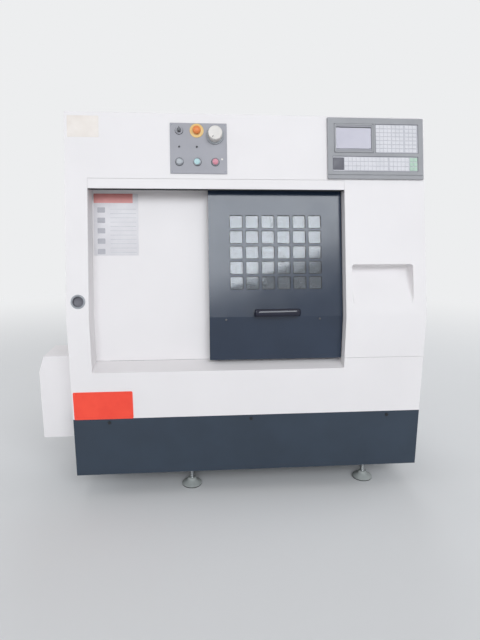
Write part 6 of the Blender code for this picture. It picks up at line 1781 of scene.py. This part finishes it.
@dataclass
class Works:
    """Cast and ground pieces inside the cabinet, with their bolts, threads, fins and hoses."""

    bolt: Fastener = Fastener(0.0055, 0.0045, Drive.SOCKET, BLACK_OXIDE)
    small_bolt: Fastener = Fastener(0.0042, 0.0030, Drive.SOCKET, BLACK_OXIDE)
    rail_cap: Fastener = Fastener(0.0068, 0.0006, Drive.PLUG, BLACK_OXIDE, FEW_STEPS)
    rail_middle: float = 0.290
    rail_span: float = 0.638
    rail_up_slope: float = 0.140
    rail_top: float = 0.026
    z_thread: Thread = Thread(66.0, 0.0118, 0.66, 0.0018)
    z_thread_foot: Place = (-0.060, 0.0, 0.050)
    x_thread: Thread = Thread(46.0, 0.0094, 0.46, 0.0015)
    x_thread_foot: Place = (0.230, -0.190, 0.094)
    saddle_across: float = 0.230
    wiper: Sizes = (0.0040, 0.050, 0.028, 0.050)
    wipers: Grid = Grid(2, 2, 0.264, 0.280)
    saddle_screws_place: Pair = (0.045, 0.076)
    saddle_screws_span: Pair = (0.244, 0.460)
    slot_half: Section = ((0.009, 0.112), (0.009, 0.118), (0.005, 0.118), (0.005, 0.130))
    slot_ends: Pair = (-0.15, 0.15)
    slots: Grid = Grid(2, 1, 0.050, 0.0)
    slots_place: Pair = (0.285, -0.030)
    tool_rows: tuple[float, ...] = (-0.120, -0.035, 0.050)
    clamp_place: Pair = (0.170, 0.258)
    clamp_span: float = 0.072
    shank_place: Pair = (0.233, 0.126)
    shank_span: float = 0.028
    insert_place: Pair = (0.0885, 0.235)
    insert: Place = (0.0105, 0.0105, 0.0008)
    insert_section: Section = ((0.0, -0.001), (0.0, 0.0030))
    chuck_face: float = -0.1017
    chuck_bolts_reach: float = 0.060
    chuck_radius: float = 0.085
    band_proud: float = 0.0002
    band_thickness: float = 0.001
    band_width: float = 0.003
    band_places: Pair = (-0.022, -0.060)
    jaw_step: float = 0.018
    jaw_screw_reach: float = 0.068
    jaw_teeth_reach: float = 0.0745
    jaw_teeth: Grid = Grid(4, 1, 0.009, 0.0)
    jaw_tooth: Sizes = (0.0010, 0.020, -0.010, 0.0004, 0.0002)
    bearing_cap_place: float = -0.520
    bearing_cap: Section = (
        (0.0375, 0.0), (0.068, 0.0), (0.068, 0.006), (0.066, 0.008), (0.0375, 0.008)
    )
    bearing_screws: Pair = (0.056, 0.008)
    nose_ring_place: float = -0.2025
    nose_ring: Section = ((0.0785, 0.0), (0.092, 0.0), (0.092, 0.0014), (0.0785, 0.0020))
    nut_from_pulley: float = -0.016
    nut: Section = (
        (0.0365, 0.0), (0.047, 0.0), (0.048, 0.001), (0.048, 0.014), (0.047, 0.015), (0.0365, 0.015)
    )
    nut_slots: Ring = Ring(6, 0.0475)
    # Black blocks in the lock nut's notches: painted shade inside each notch.
    nut_slot: Sizes = (0.002, 0.006, 0.001, 0.014)
    pulley_span: Pair = (-0.595, -0.545)
    pulley_cheek: float = 0.0055
    pulley_grooves: int = 9
    pulley_flange: float = 0.007
    pulley_chamfer: float = 0.001
    groove_depth: float = 0.0022
    spindle_pulley: Pair = (0.075, 0.0365)
    motor_pulley: Pair = (0.050, 0.0100)
    motor_axis: Pair = (-0.3789, 0.479)
    motor_half: float = 0.080
    motor_middle: float = -0.680
    motor_end: float = -0.860
    motor_fins: Grid = Grid(1, 9, 0.0, 0.112)
    motor_fin: Sizes = (0.220, 0.004, -0.001, 0.006)
    cowl_slots: Ring = Ring(14, 0.045)
    # Black slots on the fan cowl: painted shade of its grille openings.
    cowl_slot: Sizes = (0.036, 0.006, -0.001, 0.0006, 0.0002)
    plug: Section = (
        (0.0125, -0.001), (0.0125, 0.008), (0.0105, 0.009), (0.0105, 0.018), (0.008, 0.021)
    )
    z_plugs: Grid = Grid(2, 1, 0.046, 0.0)
    z_plugs_place: Place = (0.728, 0.0, 0.090)
    x_plugs: Grid = Grid(1, 2, 0.0, 0.036)
    x_plugs_place: Place = (0.230, 0.384, 0.134)
    pump_axis: Pair = (0.5766, -0.3384)
    pump_fins: Ring = Ring(24, 0.049)
    pump_fin: Sizes = (0.006, 0.003, 0.420, 0.500)
    hose: Path = Path(
        14, (-0.1175, -0.2009, 1.220), (-0.050, -0.2009, 1.222), (-0.004, -0.190, 1.190),
        (-0.005, -0.1809, 1.135),
    )
    hose_link: Section = (
        (0.0062, -0.005), (0.0088, -0.0035), (0.0092, 0.0), (0.0070, 0.0040), (0.0052, 0.0052)
    )
    nozzle: Section = ((0.0085, 0.0), (0.0085, 0.004), (0.0040, 0.020), (0.0026, 0.021))
    nozzle_aim: Place = (-0.02, 0.16, -1.0)
    flange: Fastener = Fastener(0.0165, 0.006, Drive.HEXAGON, ZINC)
    lens: Sizes = (0.276, 0.026, 0.0, 0.0030, 0.001)
    lens_place: Place = (0.15, 0.57, -0.1503)

    def build(self) -> None:
        """Dresses every inside piece and fits what is bolted to it."""
        edges = {
            CAST_PAINT: {"bed": 3.0, "headstock": 2.5, "saddle": 1.5, "coolant_pump": 1.0},
            GROUND_STEEL: {
                "spindle": 0.6, "z_rail_lower": 0.6, "z_rail_upper": 0.6, "z_screw": 0.0, "x_screw": 0.0
            },
            TURNED_STEEL: {"chuck_body": 1.0},
            RUBBER: {"spindle_belt": 0.4},
            MOTOR_PAINT: {"spindle_motor": 1.5, "z_motor": 1.0, "x_motor": 1.0},
            ZINC: {"chip_tray": 0.6, "left_splash_panel": 0.5, "work_lamp": 1.0},
            BASE_ENAMEL: {"coolant_tank": 1.0},
        }
        for finish, nodes in edges.items():
            for node, edge_mm in nodes.items():
                refined(node, finish, edge_mm)
        for number in (1, 2, 3):
            refined(f"chuck_jaw_{number}", GROUND_STEEL, 0.6)
            refined(f"tool_block_{number}", BLACK_OXIDE, 0.8)
        self._slides()
        self._tools()
        self._chuck()
        self._headstock()
        self._drives()
        self._coolant()

    def _slides(self) -> None:
        """Fits rail bolts, screw threads, saddle wipers, and cuts the cross slide's T slots."""
        rails = at(BED, self.rail_middle, 0, self.rail_top)
        caps = self.rail_cap.grid(12, 2, self.rail_span, 2 * self.rail_up_slope, rails)
        make_piece("rail_bolt_caps", [caps])
        z_seat = spun(at(BED, *self.z_thread_foot), QUARTER_TURN, "Y")
        make_piece("z_screw_thread", [self.z_thread.of(GROUND_STEEL, z_seat)], "z_screw")
        x_seat = spun(at(BED, *self.x_thread_foot), -QUARTER_TURN, "X")
        make_piece("x_screw_thread", [self.x_thread.of(GROUND_STEEL, x_seat)], "x_screw")
        saddle = at(BED, self.saddle_across)
        wipers = self.wipers.of(RUBBER, saddle, block(*self.wiper))
        screws = self.bolt.grid(2, 6, *self.saddle_screws_span, at(saddle, 0, *self.saddle_screws_place))
        make_piece("saddle_fittings", [wipers, screws], "saddle")
        section = [*self.slot_half, *((-across, height) for across, height in reversed(self.slot_half))]
        ends = [[Vector((across, end, height)) for across, height in section] for end in self.slot_ends]
        slots = self.slots.of(GROUND_STEEL, at(BED, *self.slots_place), lofted(ends))
        refined("cross_slide", GROUND_STEEL, 0.0, cuts=[slots])

    def _tools(self) -> None:
        """Fits clamp screws and gold inserts to the three tool blocks."""
        parts = []
        for row in self.tool_rows:
            clamp, shank, tip = (
                at(BED, across, row, out)
                for across, out in (self.clamp_place, self.shank_place, self.insert_place)
            )
            insert = plate(*self.insert, self.insert_section)
            parts += [
                self.bolt.grid(3, 1, self.clamp_span, 0.0, clamp),
                self.bolt.grid(1, 2, 0.0, self.shank_span, shank),
                put(insert, INSERT_GOLD, spun(tip, QUARTER_TURN / 2, "Z")),
            ]
        make_piece("tool_fittings", parts, "cross_slide")

    def _chuck(self) -> None:
        """Fits the chuck's screws and dark bands, and a screw and teeth on each jaw."""
        face = at(SPINDLE, 0, 0, self.chuck_face)
        parts = [self.bolt.circle(3, self.chuck_bolts_reach, face)]
        outer = self.chuck_radius + self.band_proud
        inner, width = outer - self.band_thickness, self.band_width
        for back in self.band_places:
            section = [(inner, 0.0), (outer, 0.0), (outer, width), (inner, width)]
            band = turned(section, WHEEL_STEPS, hollow=True)
            parts.append(put(band, BLACK_OXIDE, at(face, 0, 0, back)))
        make_piece("chuck_fittings", parts, "spindle")
        for number in (1, 2, 3):
            turn = math.pi + (number - 1) * FULL_TURN / 3
            jaw = at(spun(face, turn, "Z"), 0, 0, self.jaw_step)
            teeth = self.jaw_teeth.of(GROUND_STEEL, at(jaw, self.jaw_teeth_reach), block(*self.jaw_tooth))
            parts = [self.small_bolt.one(at(jaw, self.jaw_screw_reach)), teeth]
            make_piece(f"jaw_fittings_{number}", parts, f"jaw_{number}")

    def _headstock(self) -> None:
        """Fits the bearing cap with its screws, the ring round the spindle nose and the lock nut, whose
        notches are painted shade.
        """
        back = spun(at(SPINDLE, 0, 0, self.bearing_cap_place), math.pi, "X")
        reach, lift = self.bearing_screws
        nose = turned(self.nose_ring, WHEEL_STEPS, hollow=True)
        parts = [
            put(turned(self.bearing_cap, RIM_STEPS, hollow=True), GROUND_STEEL, back),
            self.bolt.circle(6, reach, at(back, 0, 0, lift)),
            put(nose, RUBBER, at(SPINDLE, 0, 0, self.nose_ring_place)),
        ]
        make_piece("headstock_fittings", parts)
        # The black blocks round the nut are painted shade of its notches.
        tail = at(SPINDLE, 0, 0, self.pulley_span[0] + self.nut_from_pulley)
        parts = [
            put(turned(self.nut, RIM_STEPS, hollow=True), BLACK_OXIDE, tail),
            self.nut_slots.of(BLACK_NYLON, tail, block(*self.nut_slot)),
        ]
        make_piece("spindle_lock_nut", parts, "spindle")

    def _pulley(self, reach: float, bore: float, axis: Matrix) -> Part:
        """Builds a grooved belt pulley between its two cheeks.

        Args:
            reach: Radius on which the belt runs.
            bore: Radius of its bore.
            axis: Frame whose Z is the shaft and whose origin is at the cabinet's middle.

        Returns:
            The pulley and its finish.
        """
        low, high = self.pulley_span
        cheek, chamfer, rim = self.pulley_cheek, self.pulley_chamfer, reach + self.pulley_flange
        section = [(bore, low), (rim - chamfer, low), (rim, low + chamfer)]
        section += [(rim, low + cheek - chamfer), (reach, low + cheek)]
        pitch = (high - low - 2 * cheek) / self.pulley_grooves
        for index in range(self.pulley_grooves):
            start = low + cheek + index * pitch
            section += [(reach - self.groove_depth, start + pitch * 0.5), (reach, start + pitch)]
        section += [(rim, high - cheek + chamfer), (rim, high - chamfer)]
        section += [(rim - chamfer, high), (bore, high)]
        return put(turned(section, WHEEL_STEPS, hollow=True), GROUND_STEEL, axis)

    def _drives(self) -> None:
        """Builds the grooved pulleys, the motors' fins and connectors, and black slots on the fan cowl as
        painted shade of its grille.
        """
        centre, height = self.motor_axis
        shaft = spun(Matrix.Translation((FRONT.centre_x, centre, height)), QUARTER_TURN, "Y")
        pulley = self._pulley(*self.spindle_pulley, SPINDLE)
        make_piece("grooved_spindle_pulley", [pulley], "spindle", ("spindle_pulley",))
        pulley = self._pulley(*self.motor_pulley, shaft)
        make_piece("grooved_motor_pulley", [pulley], "motor_pulley", ("motor_pulley",))
        parts = []
        for outward, face in ((OPERATOR, centre - self.motor_half), (BACK, centre + self.motor_half)):
            side = facing((self.motor_middle, face, height), outward)
            parts.append(self.motor_fins.of(MOTOR_PAINT, side, block(*self.motor_fin)))
        # The black slots on the cowl are painted shade, not cut openings.
        cowl = facing((self.motor_end, centre, height), LEFT)
        parts.append(self.cowl_slots.of(BLACK_NYLON, cowl, block(*self.cowl_slot)))
        z_plugs, x_plugs = (
            plugs.of(BLACK_OXIDE, at(BED, *place), turned(self.plug, SMALL_STEPS))
            for plugs, place in ((self.z_plugs, self.z_plugs_place), (self.x_plugs, self.x_plugs_place))
        )
        make_piece("motor_fittings", [*parts, z_plugs])
        make_piece("x_motor_plugs", [x_plugs], "saddle")

    def _coolant(self) -> None:
        """Builds the pump's fins, the jointed coolant hose, and the lamp's lens."""
        pump = Matrix.Translation((*self.pump_axis, 0.0))
        lamp = spun(FRONT.seat(*self.lens_place), math.pi, "Y")
        parts = [
            self.pump_fins.of(CAST_PAINT, pump, block(*self.pump_fin)),
            self.hose.of(DARK_ABS, HERE, turned(self.hose_link, FEW_STEPS)),
            put(turned(self.nozzle, FEW_STEPS), STOP_ORANGE, facing(self.hose.end, self.nozzle_aim)),
            self.flange.one(facing(self.hose.start, RIGHT)),
            put(block(*self.lens), LAMP_LENS, lamp),
        ]
        make_piece("coolant_and_light_fittings", parts)


@dataclass
class ElectricalCabinet:
    """The case on the machine's back, with its door, locks, louvres, isolator and conduits."""

    edge_mm: float = 1.0
    lock_across: float = -0.180
    lock_face: float = 0.6047
    lock_heights: Pair = (0.731, 1.319)
    lock_hole: Section = ((0.0080, -0.0030), (0.0080, 0.002))
    lock_drive: Sizes = (0.0070, 0.0070, -0.0032, -0.0004)
    lock_cup: Section = (
        (0.0062, -0.0030), (0.0079, -0.0030), (0.0079, -0.0002), (0.0070, -0.0002)
    )
    vents: Grid = Grid(2, 6, 0.30, 0.150)
    vents_across: float = 0.235
    vents_sunk: float = 0.0002
    door_face: float = 0.6007
    vents_heights: Pair = (1.36, 0.70)
    vent: Sizes = (0.26, 0.018, 0.0034)
    isolator_middle: Place = (0.685, 0.508, 1.22)
    isolator_plate: Place = (0.074, 0.074, 0.006)
    isolator_section: Section = ((0.0, -0.0004), (0.0, 0.002), (0.001, 0.003))
    isolator_boss: Section = ((0.030, 0.002), (0.030, 0.008), (0.028, 0.010), (0.018, 0.010))
    isolator_grip: Place = (0.014, 0.052, 0.006)
    grip_section: Section = ((0.0, 0.009), (0.001, 0.026), (0.003, 0.028))
    isolator_screw: Fastener = Fastener(0.0032, 0.0018, Drive.CROSS, ZINC)
    isolator_screws: Place = (0.060, 0.060, 0.003)
    plate_middle: Place = (0.235, 0.4450, 1.025)
    board: Place = (0.840, 0.980, 0.006)
    board_section: Section = ((0.0, 0.0), (0.0, 0.0025), (0.0005, 0.003))
    duct_rows: tuple[float, ...] = (0.455, 0.070, -0.115, -0.290)
    fingers: Grid = Grid(48, 1, 0.752, 0.0)
    finger: Sizes = (0.0085, 0.040, 0.003, 0.052)
    duct_lid: Sizes = (0.764, 0.044, 0.052, 0.055)
    drive_row: tuple[Pair, ...] = ((-0.270, 0.150), (-0.090, 0.110), (0.050, 0.110), (0.230, 0.200))
    drive_level: float = 0.265
    drive_height: float = 0.300
    drive_corner: float = 0.004
    drive_section: Section = ((0.0, 0.003), (0.0, 0.098), (0.003, 0.102))
    label_inset: float = 0.030
    label_height: float = 0.060
    label_corner: float = 0.003
    label_section: Section = ((0.0, 0.102), (0.0, 0.1028))
    label_shift: float = 0.060
    fin_pitch: float = 0.009
    fins_inset: float = 0.016
    fins_span: float = 0.286
    fin: Sizes = (0.003, 0.020, 0.020, 0.104)
    plugs_inset: float = 0.060
    plugs_span: float = 0.110
    plug: Sizes = (0.024, 0.014, 0.101, 0.110)
    breaker_level: float = -0.022
    contactor_level: float = -0.203
    coil_rise: float = 0.028
    terminal_level: float = -0.385
    rail: Sizes = (0.700, 0.035, 0.003, 0.0105)
    gland: Fastener = Fastener(0.0175, 0.012, Drive.HEXAGON, BLACK_NYLON)
    conduit_places: tuple[float, ...] = (-0.02, 0.06, 0.14)
    upper_gland: Pair = (0.508, 0.500)
    lower_gland: Pair = (0.4331, 0.300)
    conduit_ribs: int = 58
    conduit_path: tuple[Pair, ...] = ((0.508, 0.490), (0.508, 0.390), (0.530, 0.300), (0.444, 0.300))
    conduit_rib_steps: int = 18
    conduit_rib: Section = ((0.0085, -0.0022), (0.0110, -0.0012), (0.0110, 0.0012), (0.0085, 0.0022))

    def build(self) -> None:
        """Dresses the case and its door and fits what is on them."""
        refined("electrical_cabinet", WHITE_COAT, self.edge_mm)
        self._door()
        self._isolator()
        self._conduits()
        self._equipment()

    def _door(self) -> None:
        """Cuts the key holes into the lock bosses and fits the square drives and the louvres."""
        low, high = self.lock_heights
        seat = facing((self.lock_across, self.lock_face, (low + high) / 2), BACK)
        locks = Grid(1, 2, 0.0, high - low)
        holes = locks.of(WHITE_COAT, seat, turned(self.lock_hole, SMALL_STEPS))
        refined("electrical_door", WHITE_COAT, 0.0, cuts=[holes])
        parts = [
            locks.of(BLACK_OXIDE, seat, block(*self.lock_drive)),
            locks.of(ZINC, seat, turned(self.lock_cup, hollow=True)),
        ]
        for height in self.vents_heights:
            place = facing((self.vents_across, self.door_face - self.vents_sunk, height), BACK)
            parts.append(self.vents.of(WHITE_COAT, place, louvre(*self.vent)))
        make_piece("electrical_door_fittings", parts, "electrical_door")

    def _isolator(self) -> None:
        """Builds the rotary isolator on the case's right side."""
        width, height, face = self.isolator_screws
        parts = [
            (plate(*self.isolator_plate, self.isolator_section), STOP_YELLOW),
            (turned(self.isolator_boss, RIM_STEPS), BLACK_NYLON),
            (plate(*self.isolator_grip, self.grip_section), STOP_ORANGE),
            self.isolator_screw.grid(2, 2, width, height, at(HERE, 0, 0, face)),
        ]
        make_piece("rotary_isolator", parts, seat=facing(self.isolator_middle, RIGHT))

    def _drive(self, seat: Matrix, width: float) -> list[Part]:
        """Builds one drive with its label, cooling fins and plugs.

        Args:
            seat: Its middle on the mounting plate.
            width: Its width.

        Returns:
            The drive's shapes.
        """
        body = plate(width, self.drive_height, self.drive_corner, self.drive_section)
        label = plate(width - self.label_inset, self.label_height, self.label_corner, self.label_section)
        fins = Grid(int(width / self.fin_pitch), 2, width - self.fins_inset, self.fins_span)
        plugs = Grid(2, 3, width - self.plugs_inset, self.plugs_span)
        return [
            put(body, DARK_ABS, seat),
            put(label, PANEL_GREY, at(seat, 0, self.label_shift)),
            fins.of(BLACK_OXIDE, seat, block(*self.fin)),
            plugs.of(KEY_GREEN, at(seat, 0, -self.label_shift), block(*self.plug)),
        ]

    def _equipment(self) -> None:
        """Mounts ducts, drives, breakers, contactors and terminals inside the case."""
        wall = facing(self.plate_middle, BACK)
        parts = [put(plate(*self.board, self.board_section), ZINC, wall)]
        for up in self.duct_rows:
            parts.append(self.fingers.of(DUCT_GREY, at(wall, 0, up), block(*self.finger)))
            parts.append(put(block(*self.duct_lid), DUCT_GREY, at(wall, 0, up)))
        for across, width in self.drive_row:
            parts += self._drive(at(wall, across, self.drive_level), width)
        rows = (
            (self.breaker_level, 22, 0.600, block(0.0178, 0.082, 0.010, 0.066), KNOB_WHITE),
            (self.breaker_level, 22, 0.600, block(0.0080, 0.014, 0.066, 0.074), BLACK_NYLON),
            (self.contactor_level, 9, 0.460, block(0.0450, 0.076, 0.010, 0.084), DARK_ABS),
            (self.contactor_level + self.coil_rise, 27, 0.490, block(0.0080, 0.008, 0.070, 0.087), ZINC),
            (self.terminal_level, 72, 0.640, block(0.0060, 0.046, 0.010, 0.046), DUCT_GREY),
            (self.terminal_level, 72, 0.640, block(0.0034, 0.006, 0.046, 0.048), ZINC),
        )
        for up, count, span, shape, finish in rows:
            parts.append(Grid(count, 1, span, 0.0).of(finish, at(wall, 0, up), shape))
        for up in (self.breaker_level, self.contactor_level, self.terminal_level):
            parts.append(put(block(*self.rail), ZINC, at(wall, 0, up)))
        make_piece("drives_and_terminals", parts)

    def _conduits(self) -> None:
        """Leads three corrugated conduits from glands under the case into the base."""
        parts = []
        for across in self.conduit_places:
            for place, outward in ((self.upper_gland, DOWN), (self.lower_gland, BACK)):
                parts.append(self.gland.one(facing((across, *place), outward)))
            hose = Path(self.conduit_ribs, *((across, *spot) for spot in self.conduit_path))
            rib = turned(self.conduit_rib, self.conduit_rib_steps)
            parts.append(hose.of(BLACK_NYLON, HERE, rib))
        make_piece("conduits", parts)


@dataclass(frozen=True)
class SoftBox:
    """A rectangular studio lamp that faces the machine."""

    name: str
    place: Place
    width: float
    height: float
    radiance: float
    roll: float = 0.0
    tint: Place = (0.92, 0.96, 1.0)

    def hang(self, machine: Vector) -> None:
        """Hangs the lamp, turned towards the machine and unseen by the camera.

        Args:
            machine: The place that it lights.
        """
        lamp = bpy.data.lights.new(self.name, "AREA")
        lamp.color = self.tint
        lamp.shape = "RECTANGLE"
        lamp.size = self.width
        lamp.size_y = self.height
        lamp.energy = self.radiance * math.pi * self.width * self.height
        holder = bpy.data.objects.new(self.name, lamp)
        turn = (machine - Vector(self.place)).to_track_quat("-Z", "Y").to_matrix().to_4x4()
        holder.matrix_world = spun(Matrix.Translation(self.place) @ turn, self.roll, "Z")
        holder.visible_camera = False
        bpy.context.scene.collection.objects.link(holder)


@dataclass
class Studio:
    """Pale floor, soft lamps, world and the camera at the photograph's place."""

    camera_place: Place = (-0.145, -2.7539, 1.285)
    yaw: float = math.radians(4.73)
    pitch: float = math.radians(11.86)
    roll: float = math.radians(0.17)
    lens: float = 28.125
    sensor: float = 36.0
    floor_half: float = 40.0
    floor_colour: str = "DCDDDE"
    floor_roughness: float = 0.8
    near_floor: float = 2.0
    far_floor: float = 6.0
    backdrop_colour: str = "EDEEEF"
    fill_colour: str = "F6F4F3"
    fill_strength: float = 0.455
    aim: Place = (0.1, -0.3, 1.1)
    boxes: tuple[SoftBox, ...] = (
        SoftBox("front_box", (1.06, -11.23, 6.25), 12.5, 3.6, 6.75, math.radians(19.0)),
        SoftBox("left_box", (-6.0, -1.0, 3.4), 4.0, 3.0, 1.6),
        SoftBox("right_box", (6.0, 0.5, 3.4), 4.0, 3.0, 1.6),
        SoftBox("back_box", (0.5, 6.6, 4.4), 6.0, 4.0, 2.4),
    )

    def build(self) -> None:
        """Sets up everything that isn't part of the machine."""
        bpy.context.scene.view_settings.view_transform = "Standard"
        self._floor()
        self._world()
        for box in self.boxes:
            box.hang(Vector(self.aim))
        self._camera()

    def _seen(self, tree: Tree) -> Socket:
        """Gives 1 on rays of the camera, of gloss and of glass, which show the backdrop as it is.

        Args:
            tree: The tree that gets the nodes.

        Returns:
            The share's socket.
        """
        path = add_node(tree, "ShaderNodeLightPath").outputs
        either = maths(tree, "MAXIMUM", path["Is Camera Ray"], path["Is Glossy Ray"])
        return maths(tree, "MAXIMUM", either, path["Is Transmission Ray"])

    def _floor(self) -> None:
        """Lays a pale floor that keeps the machine's shadow and turns into the backdrop far away."""
        half = self.floor_half
        mesh = bpy.data.meshes.new("studio_floor")
        corners = [(-half, -half, 0), (half, -half, 0), (half, half, 0), (-half, half, 0)]
        mesh.from_pydata(corners, [], [(0, 1, 2, 3)])
        colour = self.floor_colour
        finish = Finish("Painted studio floor", "white_enamel", colour, colour, self.floor_roughness)
        material = finish.material()
        tree = material.node_tree
        lit = next(node for node in tree.nodes if node.type == "BSDF_PRINCIPLED").outputs[0]
        place = add_node(tree, "ShaderNodeTexCoord").outputs["Object"]
        away = add_node(tree, "ShaderNodeVectorMath", {"operation": "LENGTH"}, {0: place}).outputs["Value"]
        window = {"From Min": self.near_floor, "From Max": self.far_floor, "interpolation_type": "SMOOTHSTEP"}
        far = add_node(tree, "ShaderNodeMapRange", window, {"Value": away}).outputs[0]
        share = maths(tree, "MULTIPLY", far, self._seen(tree))
        shown = add_node(tree, "ShaderNodeEmission", {"Color": linear(self.backdrop_colour)}).outputs[0]
        mixed = add_node(tree, "ShaderNodeMixShader", {}, {0: share, 1: lit, 2: shown}).outputs[0]
        output = next(node for node in tree.nodes if node.type == "OUTPUT_MATERIAL")
        tree.links.new(mixed, output.inputs["Surface"])
        mesh.materials.append(material)
        floor = bpy.data.objects.new("studio_floor", mesh)
        bpy.context.scene.collection.objects.link(floor)

    def _world(self) -> None:
        """Shows a pale backdrop to camera, gloss and glass, and lights softly from all round."""
        world = bpy.data.worlds.new("Studio")
        world.use_nodes = True
        tree = world.node_tree
        tree.nodes.clear()
        soft = {"Color": linear(self.fill_colour), "Strength": self.fill_strength}
        fill = add_node(tree, "ShaderNodeBackground", soft).outputs[0]
        plain = {"Color": linear(self.backdrop_colour), "Strength": 1.0}
        shown = add_node(tree, "ShaderNodeBackground", plain).outputs[0]
        mixed = add_node(tree, "ShaderNodeMixShader", {}, {0: self._seen(tree), 1: fill, 2: shown}).outputs[0]
        add_node(tree, "ShaderNodeOutputWorld", {}, {"Surface": mixed})
        bpy.context.scene.world = world

    def _camera(self) -> None:
        """Puts the camera where the photograph was taken from."""
        level = math.cos(self.pitch)
        ahead = Vector((math.sin(self.yaw) * level, math.cos(self.yaw) * level, -math.sin(self.pitch)))
        level_right = Vector((math.cos(self.yaw), -math.sin(self.yaw), 0))
        level_up = level_right.cross(ahead)
        right = math.cos(self.roll) * level_right + math.sin(self.roll) * level_up
        up = -math.sin(self.roll) * level_right + math.cos(self.roll) * level_up
        data = bpy.data.cameras.new("photo_camera")
        data.lens = self.lens
        data.sensor_width = self.sensor
        camera = bpy.data.objects.new("photo_camera", data)
        turn = Matrix((right, up, -ahead)).transposed().to_4x4()
        camera.matrix_world = Matrix.Translation(self.camera_place) @ turn
        bpy.context.scene.collection.objects.link(camera)
        bpy.context.scene.camera = camera


def main() -> None:
    """Builds the sub-assemblies in order and then the studio."""
    logging.basicConfig(level=logging.INFO, format="%(message)s")
    for assembly in (
        Cabinet(), Base(), SlidingDoor(), ControlUnit(), ButtonPanel(), Plates(), Works(),
        ElectricalCabinet(), Studio(),
    ):
        log.info("building %s", type(assembly).__name__)
        assembly.build()


if __name__ == "__main__":
    main()
